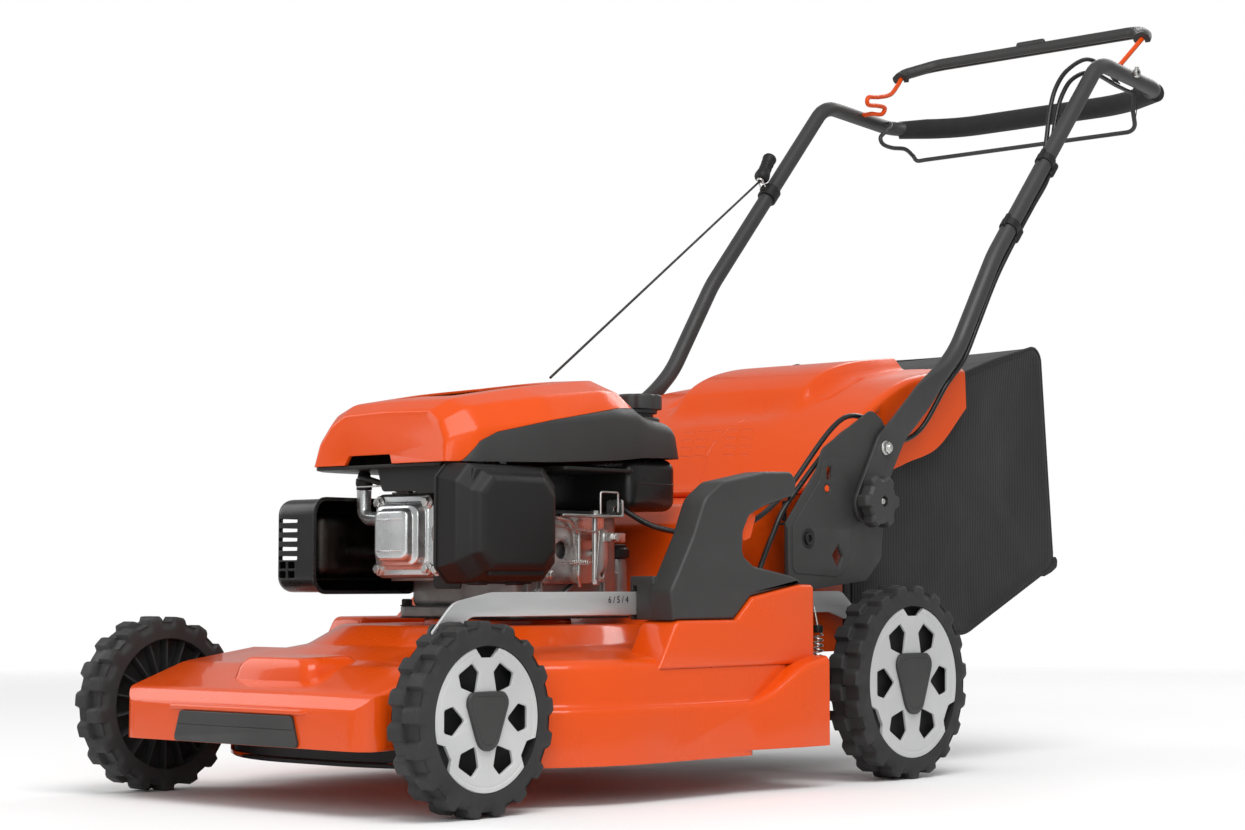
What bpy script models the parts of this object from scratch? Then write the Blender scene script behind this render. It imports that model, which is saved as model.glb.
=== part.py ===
"""A self-propelled petrol lawn mower with a rear grass catcher, one object for each piece.

Metres. The mower drives towards -Y, its left side is +X, +Z is up, and z = 0 is the
ground under its wheels. The rear axle lies on y = 0.
"""
from math import atan2, cos, hypot, pi, radians, sin, sqrt, tan

import bmesh
import bpy
from mathutils import Matrix, Vector

GAP = 0.0003            # clearance between neighbours that touch
RUNNING_GAP = 0.0004    # clearance between a shaft and its bore
SHEET = 0.003           # pressed steel and moulded walls

# Wheels and the cranks that carry them
WHEELBASE = 0.693
FRONT_WHEEL_R = 0.0975
REAR_WHEEL_R = 0.115
FRONT_WHEEL_W = 0.045
REAR_WHEEL_W = 0.046
FRONT_HALF_TRACK = 0.2505
REAR_HALF_TRACK = 0.280
FRONT_LUGS = 15
REAR_LUGS = 15
WHEEL_STEPS = 15
COVER_DISH = 0.004
LUG_DEPTH = 0.006
TYRE_BAND = 0.0245
AXLE_R = 0.006
HUB_R = 0.018
GEAR_MODULE = 0.0025
RING_TEETH = 46
PINION_TEETH = 12
CRANK_ARM = GEAR_MODULE * (RING_TEETH - PINION_TEETH) / 2
ARM_SHEET = 0.004
FRONT_ARM_X = 0.208
REAR_ARM_INSET = 0.0205   # from the rear wheel's inner side to the crank's arm
REAR_ARM_X = REAR_HALF_TRACK - REAR_WHEEL_W / 2 - REAR_ARM_INSET
DRIVE_SHAFT_R = 0.008
CROSS_ROD_REACH = 0.0495
LINK_PIN_R = 0.004
LINK_PIN_DY = 0.030
LINK_PIN_DZ = 0.085
LINK_X = 0.2135
LINK_SHEET = 0.003
LINK_HEIGHT = 0.025
LINK_Z = 0.2105
LINK_GATE_GAP = 0.0015   # between the bar at the top of its swing and the grip's gate
LINK_EYE_R = 0.0105

FRONT_AXLE_Y = -WHEELBASE
FRONT_PIVOT = Vector((0, FRONT_AXLE_Y - CRANK_ARM, FRONT_WHEEL_R))
REAR_PIVOT = Vector((0, -CRANK_ARM, REAR_WHEEL_R))
LINK_OFFSET = Vector((0, LINK_PIN_DY, LINK_PIN_DZ))

# Cutting deck
DECK_HALF_WIDTH = 0.283
DECK_FRONT_Y = -0.682
DECK_REAR_Y = -0.165
DECK_RIM_Z = 0.042
BAND_STEP_Z = 0.100
BAND_STEP = 0.007
SHOULDER_Z = 0.152
DOME_Z = 0.186
DOME_HALF_WIDTH = 0.150
APRON_HALF_WIDTH = 0.199
APRON_FRONT_Y = -0.786
APRON_RIM_Z = 0.066
BUMPER_HALF_WIDTH = 0.099
BUMPER_TOP_Z = 0.0985
TOWER_X = 0.223
TOWER_FRONT_Y = -0.405
TOWER_REAR_Y = -0.160
TOWER_LOW_Z = 0.192
TOWER_HIGH_Z = 0.231
CHUTE_HALF_WIDTH = 0.200
CHUTE_FLOOR_Z = 0.150
CHUTE_TOP_Z = 0.338
CHUTE_REAR_Y = -0.003
FLAP_HINGE = Vector((0, -0.080, 0.345))
FLAP_PIN_R = 0.004
SKIRT_HINGE = Vector((0, DECK_REAR_Y + 0.008, 0.086))
SKIRT_HALF_WIDTH = 0.230
SKIRT_PIN_R = 0.003

# Engine on its vertical crankshaft
ENGINE_Y = -0.400
CRANK_R = 0.0125
BLADE_TIP_GAP = 0.008
BLADE_R = DECK_REAR_Y - SHEET - ENGINE_Y - BLADE_TIP_GAP
BLADE_Z = 0.0605
BLADE_SHEET = 0.0045
BLADE_WIDTH = 0.055
BELT_Z = 0.127
BELT_H = 0.008
BELT_T = 0.006
ENGINE_PULLEY_R = 0.026
GEARBOX_PULLEY_R = 0.022
GEARBOX_INPUT_Y = -0.108
ENGINE_SEAT = 0.006
FLYWHEEL_R = 0.085
FLYWHEEL_VANES = 5
FLYWHEEL_Z = 0.382
HOOD_RIM_Z = 0.363
SHROUD_HALF_WIDTH = 0.134
HEAD_Y = -0.545
VALVE_Z = 0.285
FUEL_NECK = Vector((0.086, -0.252, 0.4395))
FUEL_NECK_R = 0.018
FUEL_CAP_R = 0.028
OIL_NECK = Vector((0.065, -0.268, 0.262))
OIL_NECK_R = 0.013

# Handle
HANDLE_R = 0.011
HANDLE_X = 0.2385
CLIP_BORE_R = (HANDLE_R + GAP) / cos(pi / 10)
BRACKET_X = 0.2315
BRACKET_SHEET = 0.003
FOOT_SHEET = 0.005
FOOT_X = BRACKET_X + BRACKET_SHEET + GAP
PIVOT_BOLT_R = 0.004
STUD_R = 0.004
HANDLE_PIVOT = Vector((0, 0.033, 0.398))
KNOB_CENTRE = Vector((0, -0.003, 0.331))
CROSSBAR_Y = 0.779
CROSSBAR_Z = 0.946
FOAM_R = 0.0155
TOP_BAIL_R = 0.0035
DRIVE_BAIL_R = 0.00325
TOP_BAIL_PIVOT = Vector((0, 0.640, 0.957))
DRIVE_BAIL_PIVOT = Vector((0, 0.695, 0.950))
CABLE_R = 0.0032
ROPE_R = 0.0016

# Grass catcher
BAG_HALF_WIDTH = 0.202
BAG_FRONT_Y = 0.014
BAG_WALL = 0.003

ORIGIN = Vector((0, 0, 0))
ALONG = {"X": Vector((1, 0, 0)), "Y": Vector((0, 1, 0)), "Z": Vector((0, 0, 1))}

for old in list(bpy.data.objects):
    bpy.data.objects.remove(old, do_unlink=True)

PARTS = bpy.data.collections.new("lawn_mower")
WORKSHOP = bpy.data.collections.new("cutters")
for group in (PARTS, WORKSHOP):
    bpy.context.scene.collection.children.link(group)


def finish_material(name, colour, roughness, metallic=0.0):
    material = bpy.data.materials.new(name)
    material.use_nodes = True
    shader = material.node_tree.nodes["Principled BSDF"]
    shader.inputs["Base Color"].default_value = (*colour, 1)
    shader.inputs["Roughness"].default_value = roughness
    shader.inputs["Metallic"].default_value = metallic
    return material


ORANGE = finish_material("orange_enamel", (0.78, 0.10, 0.01), 0.28)
DARK = finish_material("dark_grey_plastic", (0.045, 0.045, 0.044), 0.55)
BLACK = finish_material("black_plastic", (0.016, 0.016, 0.016), 0.5)
RUBBER = finish_material("tyre_rubber", (0.022, 0.022, 0.022), 0.8)
GREY = finish_material("light_grey_plastic", (0.45, 0.46, 0.46), 0.45)
STEEL = finish_material("zinc_steel", (0.62, 0.62, 0.60), 0.35, 1.0)
ALLOY = finish_material("cast_alloy", (0.42, 0.42, 0.40), 0.5, 1.0)
COATED = finish_material("black_coated_steel", (0.05, 0.05, 0.05), 0.45, 0.3)
FABRIC = finish_material("black_fabric", (0.020, 0.020, 0.020), 0.9)


def settled(obj):
    """The object as it evaluates, baked into one plain mesh in world coordinates."""
    bpy.context.view_layer.update()
    graph = bpy.context.evaluated_depsgraph_get()
    mesh = bpy.data.meshes.new_from_object(obj.evaluated_get(graph))
    mesh.transform(obj.matrix_world)
    bpy.data.objects.remove(obj, do_unlink=True)
    form = bmesh.new()
    form.from_mesh(mesh)
    bpy.data.meshes.remove(mesh)
    bmesh.ops.remove_doubles(form, verts=form.verts, dist=1e-6)
    bmesh.ops.recalc_face_normals(form, faces=form.faces)
    return placed(form)


def placed(form):
    mesh = bpy.data.meshes.new("form")
    form.to_mesh(mesh)
    form.free()
    obj = bpy.data.objects.new("form", mesh)
    WORKSHOP.objects.link(obj)
    return obj


def combined(base, others, operation):
    for other in others:
        boolean = base.modifiers.new("boolean", "BOOLEAN")
        boolean.operation = operation
        boolean.solver = "EXACT"
        boolean.object = other
    result = settled(base)
    for other in others:
        bpy.data.objects.remove(other, do_unlink=True)
    return result


def joined(base, *others):
    return combined(base, others, "UNION")


def cut(base, *others):
    return combined(base, others, "DIFFERENCE")


def softened(obj, width, segments=1, angle=40):
    bevel = obj.modifiers.new("bevel", "BEVEL")
    bevel.width = width
    bevel.segments = segments
    bevel.limit_method = "ANGLE"
    bevel.angle_limit = radians(angle)
    bevel.use_clamp_overlap = True
    return settled(obj)


def mirrored(obj):
    """A copy of the object on the mower's other side."""
    form = bmesh.new()
    form.from_mesh(obj.data)
    bmesh.ops.transform(form, matrix=Matrix.Scale(-1, 4, ALONG["X"]), verts=form.verts)
    bmesh.ops.reverse_faces(form, faces=form.faces)
    return placed(form)


def both_sides(obj):
    return obj, mirrored(obj)


def part(obj, name, material, pivot=ORIGIN):
    """Hand over a finished piece, with its origin on its joint's axis."""
    obj.name = name
    obj.data.name = name
    form = bmesh.new()
    form.from_mesh(obj.data)
    bmesh.ops.dissolve_limit(form, angle_limit=radians(0.2), verts=form.verts, edges=form.edges)
    bmesh.ops.triangulate(form, faces=form.faces)
    form.to_mesh(obj.data)
    form.free()
    obj.data.transform(Matrix.Translation(-pivot))
    obj.location = pivot
    obj.data.materials.clear()
    obj.data.materials.append(material)
    obj.data.shade_smooth()
    obj.data.set_sharp_from_angle(angle=radians(32))
    WORKSHOP.objects.unlink(obj)
    PARTS.objects.link(obj)
    return obj


def block(low, high, bevel=0.0, segments=1):
    form = bmesh.new()
    bmesh.ops.create_cube(form, size=1)
    low, high = Vector(low), Vector(high)
    size = high - low
    bmesh.ops.transform(form, matrix=Matrix.Diagonal((*size, 1)), verts=form.verts)
    bmesh.ops.translate(form, vec=(low + high) / 2, verts=form.verts)
    obj = placed(form)
    return softened(obj, bevel, segments) if bevel else obj


def filleted(points, radii, steps=3, closed=True):
    """The polyline with each corner turned into an arc of its radius."""
    points = [Vector(point).to_3d() for point in points]
    if not hasattr(radii, "__len__"):
        radii = [radii] * len(points)
    path = []
    for index, corner in enumerate(points):
        radius = radii[index]
        at_end = not closed and index in (0, len(points) - 1)
        if at_end or radius <= 0:
            path.append(corner)
            continue
        back = (points[index - 1] - corner).normalized()
        ahead = (points[(index + 1) % len(points)] - corner).normalized()
        half = back.angle(ahead) / 2
        shortest = min((points[index - 1] - corner).length,
                       (points[(index + 1) % len(points)] - corner).length)
        radius = min(radius, 0.45 * shortest * tan(half))
        centre = corner + (back + ahead).normalized() * radius / sin(half)
        start = corner + back * radius / tan(half) - centre
        finish = corner + ahead * radius / tan(half) - centre
        axis = start.cross(finish).normalized()
        turn = start.angle(finish)
        for step in range(steps + 1):
            path.append(centre + Matrix.Rotation(turn * step / steps, 3, axis) @ start)
    return path


def slab(outlines, low, high, axis, edge=0.0):
    """Flat outlines, the first solid and the rest holes, extruded from low to high.

    An edge rounds the rims.
    An outline is given in (y, z) along X, in (x, z) along Y and in (x, y) along Z.
    """
    curve = bpy.data.curves.new("slab", "CURVE")
    curve.dimensions = "2D"
    curve.fill_mode = "BOTH"
    curve.extrude = (high - low) / 2 - edge
    curve.bevel_depth = edge
    curve.bevel_resolution = 0
    curve.offset = -edge
    for outline in outlines:
        spline = curve.splines.new("POLY")
        spline.points.add(len(outline) - 1)
        for point, place in zip(spline.points, outline):
            point.co = (place[0], place[1], 0, 1)
        spline.use_cyclic_u = True
    obj = bpy.data.objects.new("slab", curve)
    WORKSHOP.objects.link(obj)
    frames = {"X": ("Y", "Z", "X", 1), "Y": ("X", "Z", "Y", -1), "Z": ("X", "Y", "Z", 1)}
    first, second, third, sense = frames[axis]
    turn = Matrix((ALONG[first], ALONG[second], sense * ALONG[third])).transposed()
    middle = ALONG[axis] * (low + high) / 2
    obj.matrix_world = Matrix.Translation(middle) @ turn.to_4x4()
    return settled(obj)


def turned(profile, axis, centre=ORIGIN, steps=24, closed=False):
    """A lathe turning; the profile is (radius, height along the axis), top to bottom."""
    mesh = bpy.data.meshes.new("profile")
    edges = [(index, index + 1) for index in range(len(profile) - 1)]
    if closed:
        edges.append((len(profile) - 1, 0))
    mesh.from_pydata([(radius, 0, height) for radius, height in profile], edges, [])
    obj = bpy.data.objects.new("turned", mesh)
    WORKSHOP.objects.link(obj)
    screw = obj.modifiers.new("lathe", "SCREW")
    screw.steps = screw.render_steps = steps
    screw.use_merge_vertices = True
    screw.merge_threshold = 1e-5
    turn = ALONG["Z"].rotation_difference(Vector(axis)).to_matrix().to_4x4()
    obj.matrix_world = Matrix.Translation(centre) @ turn
    return settled(obj)


def rod(start, end, radius, steps=10):
    start, end = Vector(start), Vector(end)
    length = (end - start).length
    profile = [(0, length), (radius, length), (radius, 0), (0, 0)]
    return turned(profile, end - start, start, steps)


def pipe(points, radius, sides=2, scales=None):
    """A bar or tube along the points; sides 2 gives 8 flats and 4 gives 12."""
    curve = bpy.data.curves.new("pipe", "CURVE")
    curve.dimensions = "3D"
    curve.bevel_depth = radius
    curve.bevel_resolution = sides
    curve.use_fill_caps = True
    spline = curve.splines.new("POLY")
    spline.points.add(len(points) - 1)
    for index, place in enumerate(points):
        spline.points[index].co = (*place, 1)
        spline.points[index].radius = scales[index] if scales else 1
    obj = bpy.data.objects.new("pipe", curve)
    WORKSHOP.objects.link(obj)
    return settled(obj)


def loft(sections):
    """A closed body through rings of equal length, capped at both ends."""
    form = bmesh.new()
    rings = [[form.verts.new(place) for place in section] for section in sections]
    count = len(rings[0])
    for ring, above in zip(rings, rings[1:]):
        for index in range(count):
            after = (index + 1) % count
            form.faces.new((ring[index], ring[after], above[after], above[index]))
    form.faces.new(rings[0])
    form.faces.new(rings[-1])
    bmesh.ops.recalc_face_normals(form, faces=form.faces)
    bmesh.ops.triangulate(form, faces=form.faces)
    return placed(form)


def strap(circles, steps=10):
    """The taut outline round circles, each given as (u, v, radius)."""
    dots = sorted((u + radius * cos(2 * pi * step / steps), v + radius * sin(2 * pi * step / steps))
                  for u, v, radius in circles for step in range(steps))
    sides = []
    for row in (dots, dots[::-1]):
        side = []
        for dot in row:
            while len(side) > 1:
                (au, av), (bu, bv) = side[-2], side[-1]
                if (bu - au) * (dot[1] - av) - (bv - av) * (dot[0] - au) > 1e-12:
                    break
                side.pop()
            side.append(dot)
        sides.append(side[:-1])
    return sides[0] + sides[1]


def circle(u, v, radius, steps=16):
    return [(u + radius * cos(2 * pi * step / steps), v + radius * sin(2 * pi * step / steps))
            for step in range(steps)]


def smooth_path(points, steps=3):
    """A Catmull-Rom curve through the points."""
    points = [Vector(point) for point in points]
    points = [2 * points[0] - points[1], *points, 2 * points[-1] - points[-2]]
    path = []
    for a, b, c, d in zip(points, points[1:], points[2:], points[3:]):
        for step in range(steps):
            t = step / steps
            path.append(b + t * (c - a) / 2 + t * t * (2 * a - 5 * b + 4 * c - d) / 2
                        + t ** 3 * (3 * b - a - 3 * c + d) / 2)
    path.append(points[-2])
    return path


# Running gear


def lugged_tread(radius, width, lugs, centre):
    """A tyre ring whose two rows of shoulder lugs are half a pitch apart."""
    groove = radius - LUG_DEPTH
    bead = radius - TYRE_BAND
    half = width / 2
    form = bmesh.new()
    rings = []
    for lug in range(lugs):
        for share, outer, inner in ((0.0, groove, radius), (0.08, radius, radius),
                                    (0.5, radius, groove), (0.58, groove, groove)):
            angle = 2 * pi * (lug + share - 0.29) / lugs - pi / 2
            outer_row = radius if share in (0.08, 0.5) else groove
            inner_row = radius if share in (0.58, 0.0) else groove
            section = ((-half, bead), (-half + 0.003, inner_row), (-0.001, inner_row),
                       (0.001, outer_row), (half - 0.003, outer_row), (half, bead))
            direction = Vector((0, cos(angle), sin(angle)))
            rings.append([form.verts.new(centre + direction * r + ALONG["X"] * u)
                          for u, r in section])
    for ring, after in zip(rings, rings[1:] + rings[:1]):
        for index in range(len(ring)):
            other = (index + 1) % len(ring)
            form.faces.new((ring[index], after[index], after[other], ring[other]))
    bmesh.ops.recalc_face_normals(form, faces=form.faces)
    return placed(form)


def wheel(radius, width, lugs, half_track, axle_y, driven):
    """The moulded wheel with its tread, web and hub, on the left side."""
    centre = Vector((half_track, axle_y, radius))
    half = width / 2
    root = radius - TYRE_BAND + 0.004
    web_low = 0.002 if driven else -0.004
    web_high = web_low + 0.004
    bore = AXLE_R + RUNNING_GAP
    profile = [(root, web_high), (root, web_low), (HUB_R, web_low), (HUB_R, -half + 0.002),
               (bore, -half + 0.002), (bore, web_high)]
    core = turned(profile, ALONG["X"], centre, WHEEL_STEPS, True)
    tread = lugged_tread(radius, width, lugs, centre)
    return joined(tread, core)


def polar(centre, radius, degrees):
    """A point of the wheel's face, measured from twelve o'clock."""
    angle = radians(90 - degrees)
    return (centre.y + radius * cos(angle), centre.z + radius * sin(angle))


def rim_cover(radius, width, lugs, half_track, axle_y):
    """The six-spoked cover, notched at twelve, four and eight o'clock."""
    centre = Vector((half_track, axle_y, radius))
    rim = (radius - TYRE_BAND) * cos(pi / (4 * lugs)) - GAP
    outer = width / 2 + half_track
    edge = []
    for step in range(18):
        degrees = step * 20
        if degrees % 120:
            edge.append(polar(centre, rim, degrees))
        else:
            edge += [polar(centre, rim, degrees - 9), polar(centre, rim - 0.010, degrees - 5),
                     polar(centre, rim - 0.010, degrees + 5), polar(centre, rim, degrees + 9)]
    outlines = [edge]
    for spoke in range(6):
        degrees = 30 + 60 * spoke
        outlines.append([polar(centre, rim * 0.42, degrees), polar(centre, rim * 0.70, degrees + 15),
                         polar(centre, rim * 0.81, degrees + 7), polar(centre, rim * 0.81, degrees - 7),
                         polar(centre, rim * 0.70, degrees - 15)])
    cover = slab(outlines, outer - 0.0055, outer - 0.0005, "X")
    for vertex in cover.data.vertices:
        reach = max(hypot(vertex.co.y - centre.y, vertex.co.z - centre.z) / rim, 0.71)
        vertex.co.x -= COVER_DISH * (1 - reach ** 2)
    return cover


def hub_cap(radius, width, half_track, axle_y):
    """A rounded three-sided centre cap."""
    centre = Vector((half_track, axle_y, radius))
    outer = width / 2 + half_track
    seat = outer - 0.0005 - COVER_DISH * (1 - 0.71 ** 2) + GAP
    reach = (radius - TYRE_BAND) * 0.38
    corners = [polar(centre, reach, degrees) for degrees in (-45, 45, 180)]
    outline = filleted([(u, v, 0) for u, v in corners], reach * 0.28, 2)
    return slab([[point[:2] for point in outline]], seat, outer + 0.0020, "X", 0.0015)


for side_name, half_sign in (("left", 1), ("right", -1)):
    for end, radius, width, lugs, track, axle_y in (
            ("front", FRONT_WHEEL_R, FRONT_WHEEL_W, FRONT_LUGS, FRONT_HALF_TRACK, FRONT_AXLE_Y),
            ("rear", REAR_WHEEL_R, REAR_WHEEL_W, REAR_LUGS, REAR_HALF_TRACK, 0.0)):
        pieces = (("wheel", wheel(radius, width, lugs, track, axle_y, end == "rear"), RUBBER),
                  ("rim_cover", rim_cover(radius, width, lugs, track, axle_y), GREY),
                  ("hub_cap", hub_cap(radius, width, track, axle_y), DARK))
        for piece, obj, material in pieces:
            if half_sign < 0:
                flipped = mirrored(obj)
                bpy.data.objects.remove(obj, do_unlink=True)
                obj = flipped
            pivot = Vector((half_sign * track, axle_y, radius))
            part(obj, f"{end}_{side_name}_{piece}", material, pivot)


def arm_plate(circles, low_x):
    outline = strap([(place.y, place.z, radius) for place, radius in circles])
    return slab([outline], low_x, low_x + ARM_SHEET, "X")


def front_crank():
    """The cross rod through the apron, an arm at each end and the stub axles."""
    axle = Vector((0, FRONT_AXLE_Y, FRONT_WHEEL_R))
    pin = FRONT_PIVOT + LINK_OFFSET
    reach = FRONT_HALF_TRACK + FRONT_WHEEL_W / 2 - 0.013
    left = arm_plate([(FRONT_PIVOT, 0.013), (axle, 0.013), (pin, 0.009)], FRONT_ARM_X)
    right = mirrored(arm_plate([(FRONT_PIVOT, 0.013), (axle, 0.013)], FRONT_ARM_X))
    cross = rod(FRONT_PIVOT - ALONG["X"] * (FRONT_ARM_X + 0.002),
                FRONT_PIVOT + ALONG["X"] * (FRONT_ARM_X + 0.002), AXLE_R)
    stub = rod(axle + ALONG["X"] * (FRONT_ARM_X + 0.002), axle + ALONG["X"] * reach, AXLE_R)
    link_pin = rod(pin + ALONG["X"] * (FRONT_ARM_X + 0.002),
                   pin + ALONG["X"] * (LINK_X + LINK_SHEET + 0.003), LINK_PIN_R)
    return joined(left, cross, right, *both_sides(stub), link_pin)


def rear_crank():
    """Arms that turn on the drive shaft, joined by a rod below it, and the stub axles."""
    axle = Vector((0, 0, REAR_WHEEL_R))
    pin = REAR_PIVOT + LINK_OFFSET
    low = REAR_PIVOT + CROSS_ROD_REACH * Vector((0, 0.5, -sqrt(0.75)))
    reach = REAR_HALF_TRACK + REAR_WHEEL_W / 2 - 0.013
    inner = REAR_ARM_X + ARM_SHEET / 2
    left = arm_plate([(REAR_PIVOT, 0.015), (axle, 0.013), (low, 0.010), (pin, 0.009)], REAR_ARM_X)
    right = mirrored(arm_plate([(REAR_PIVOT, 0.015), (axle, 0.013), (low, 0.010)], REAR_ARM_X))
    cross = rod(low - ALONG["X"] * inner, low + ALONG["X"] * inner, AXLE_R)
    stub = rod(axle + ALONG["X"] * inner, axle + ALONG["X"] * reach, AXLE_R)
    pin_end = max(inner, LINK_X + LINK_SHEET + 0.003)
    link_pin = rod(pin + ALONG["X"] * pin_end, pin + ALONG["X"] * (LINK_X - 0.003), LINK_PIN_R)
    arms = joined(left, cross, right, *both_sides(stub), link_pin)
    bore = rod(REAR_PIVOT - ALONG["X"] * 0.3, REAR_PIVOT + ALONG["X"] * 0.3,
               DRIVE_SHAFT_R + RUNNING_GAP, 14)
    return cut(arms, bore)


def link_bar():
    """The silver bar that turns both cranks together; it carries the height scale."""
    front_eye = FRONT_PIVOT + LINK_OFFSET
    rear_eye = REAR_PIVOT + LINK_OFFSET
    low, high = LINK_Z - LINK_HEIGHT / 2, LINK_Z + LINK_HEIGHT / 2
    front, rear = front_eye.y, rear_eye.y
    outline = [(front - LINK_EYE_R, front_eye.z), (front - 0.004, front_eye.z - LINK_EYE_R),
               (front + 0.008, front_eye.z - LINK_EYE_R + 0.001), (front + 0.045, low), (rear - 0.040, low),
               (rear - 0.008, rear_eye.z - LINK_EYE_R), (rear + LINK_EYE_R, rear_eye.z - 0.006),
               (rear + LINK_EYE_R, rear_eye.z + 0.004), (rear - 0.015, high), (front + 0.075, high),
               (front + 0.020, high - 0.010)]
    radii = [0.004, 0.004, 0.008, 0.02, 0.01, 0.006, 0.004, 0.004, 0.02, 0.06, 0.03]
    outline = filleted([(u, v, 0) for u, v in outline], radii, 1)
    holes = [circle(eye.y, eye.z, LINK_PIN_R + RUNNING_GAP, 10) for eye in (front_eye, rear_eye)]
    return slab([[point[:2] for point in outline], *holes], LINK_X, LINK_X + LINK_SHEET, "X")


def drive_shaft():
    """The shaft with a pinion at each end, inside the rear wheels' gear rings."""
    pinion = GEAR_MODULE * PINION_TEETH / 2
    inner = REAR_HALF_TRACK - REAR_WHEEL_W / 2 + 0.001
    outer = inner + 0.010
    half = [(pinion, outer), (pinion, inner), (DRIVE_SHAFT_R, inner)]
    profile = [(0, outer), *half, *[(r, -h) for r, h in reversed(half)], (0, -outer)]
    return turned(profile, ALONG["X"], REAR_PIVOT, 14)


part(front_crank(), "front_axle_crank", COATED, FRONT_PIVOT)
part(rear_crank(), "rear_axle_crank", COATED, REAR_PIVOT)
part(link_bar(), "height_link_bar", STEEL, FRONT_PIVOT + LINK_OFFSET)
part(drive_shaft(), "drive_shaft", STEEL, REAR_PIVOT)


# Cutting deck


def pan_ring(half_width, front, rear, front_r, rear_r, z):
    corners = [(half_width, front, z), (half_width, rear, z), (-half_width, rear, z),
               (-half_width, front, z)]
    return filleted(corners, [front_r, rear_r, rear_r, front_r], 3)


def pan(wall):
    """The cutting chamber: a stepped skirt, a rounded shoulder and the engine's dome."""
    half, front, rear = DECK_HALF_WIDTH - wall, DECK_FRONT_Y + wall, DECK_REAR_Y - wall
    rim = DECK_RIM_Z - (0.02 if wall else 0)
    upper = half - BAND_STEP
    return loft([
        pan_ring(half, front, rear, 0.25, 0.06, rim),
        pan_ring(half, front, rear, 0.25, 0.06, BAND_STEP_Z - wall),
        pan_ring(upper, front + BAND_STEP, rear, 0.24, 0.06, BAND_STEP_Z + 0.004 - wall),
        pan_ring(upper - 0.003, front + 0.012, rear, 0.24, 0.06, SHOULDER_Z - 0.008 - wall),
        pan_ring(upper - 0.012, front + 0.022, rear - 0.008, 0.23, 0.05, SHOULDER_Z - wall),
        pan_ring(DOME_HALF_WIDTH + 0.030, front + 0.075, rear - 0.03, 0.14, 0.05,
                 SHOULDER_Z + 0.012 - wall),
        pan_ring(DOME_HALF_WIDTH, front + 0.11, rear - 0.05, 0.12, 0.05, DOME_Z - wall)])


def apron(wall):
    """The nose in front of the chamber, between the front wheels."""
    rise = [(APRON_FRONT_Y + wall, APRON_RIM_Z), (APRON_FRONT_Y + wall, 0.106 - wall),
            (APRON_FRONT_Y + 0.014, 0.121 - wall), (-0.700, 0.146 - wall),
            (-0.600, SHOULDER_Z + 0.008 - wall), (-0.600, APRON_RIM_Z)]
    if wall:
        rise[0] = (APRON_FRONT_Y + wall, APRON_RIM_Z - 0.02)
        rise[-1] = (-0.600, APRON_RIM_Z - 0.02)
    rise = filleted([(u, v, 0) for u, v in rise], [0, 0.006, 0.02, 0.06, 0, 0], 2)
    half = APRON_HALF_WIDTH - wall
    body = slab([[point[:2] for point in rise]], -half, half, "X")
    plan = filleted([(half, APRON_FRONT_Y + wall, 0), (half, -0.55, 0), (-half, -0.55, 0),
                     (-half, APRON_FRONT_Y + wall, 0)], [0.028, 0, 0, 0.028], 2)
    corner_cut = slab([[point[:2] for point in plan]], 0, 0.3, "Z")
    return combined(body, [corner_cut], "INTERSECT")


def tower(wall):
    """The left rear corner, raised to carry the height grip and the handle bracket."""
    inner, outer = TOWER_X + wall, DECK_HALF_WIDTH - BAND_STEP - wall
    rear = TOWER_REAR_Y - wall
    side = [(TOWER_FRONT_Y - 0.030 + wall, 0.14), (TOWER_FRONT_Y + wall, TOWER_LOW_Z - wall),
            (-0.302, TOWER_LOW_Z - wall), (-0.272, TOWER_HIGH_Z - 0.014 - wall),
            (-0.185, TOWER_HIGH_Z - wall), (rear, TOWER_HIGH_Z - wall), (rear, 0.14)]
    body = slab([side], inner, outer, "X")
    return body


def flare(wall):
    """The skirt swells outwards ahead of the rear wheel."""
    rear = DECK_REAR_Y - wall
    low, high = DECK_RIM_Z + 0.006, 0.150 - wall
    if wall:
        low -= 0.03
    sections = []
    for y, reach, top in ((-0.305, DECK_HALF_WIDTH - 0.001, BAND_STEP_Z - 0.002),
                          (-0.262, DECK_HALF_WIDTH + 0.008, BAND_STEP_Z + 0.008),
                          (-0.205, DECK_HALF_WIDTH + 0.016, 0.142),
                          (rear, DECK_HALF_WIDTH + 0.017, 0.150)):
        top -= wall
        outer = reach - wall
        inner = DECK_HALF_WIDTH - 0.055
        sections.append([Vector((inner, y, low)), Vector((outer, y, low)), Vector((outer, y, top - 0.006)),
                         Vector((outer - 0.006, y, top)), Vector((inner, y, top))])
    return loft(sections)


def chute(wall):
    """The tunnel that throws the cut grass back into the catcher."""
    rear = CHUTE_REAR_Y + (0.05 if wall else 0)
    side = [(-0.290 + wall, 0.130), (-0.236 + wall, 0.215), (-0.218 + wall, 0.300),
            (-0.190 + wall, 0.326 - wall), (-0.100, CHUTE_TOP_Z - wall), (rear, CHUTE_TOP_Z - wall),
            (rear, CHUTE_FLOOR_Z + wall), (DECK_REAR_Y - 0.02, CHUTE_FLOOR_Z + wall),
            (DECK_REAR_Y - 0.02, 0.130)]
    if wall:
        side[-2:] = [(DECK_REAR_Y - wall - GAP, CHUTE_FLOOR_Z + wall),
                     (DECK_REAR_Y - wall - GAP, 0.130)]
    side = filleted([(u, v, 0) for u, v in side], [0, 0.02, 0.02, 0.02, 0.02, 0, 0, 0, 0], 2)
    half = CHUTE_HALF_WIDTH - wall
    return slab([[point[:2] for point in side]], -half, half, "X")


def deck_mass(wall):
    return joined(pan(wall), apron(wall), *both_sides(tower(wall)), *both_sides(flare(wall)),
                  chute(wall))


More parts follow.
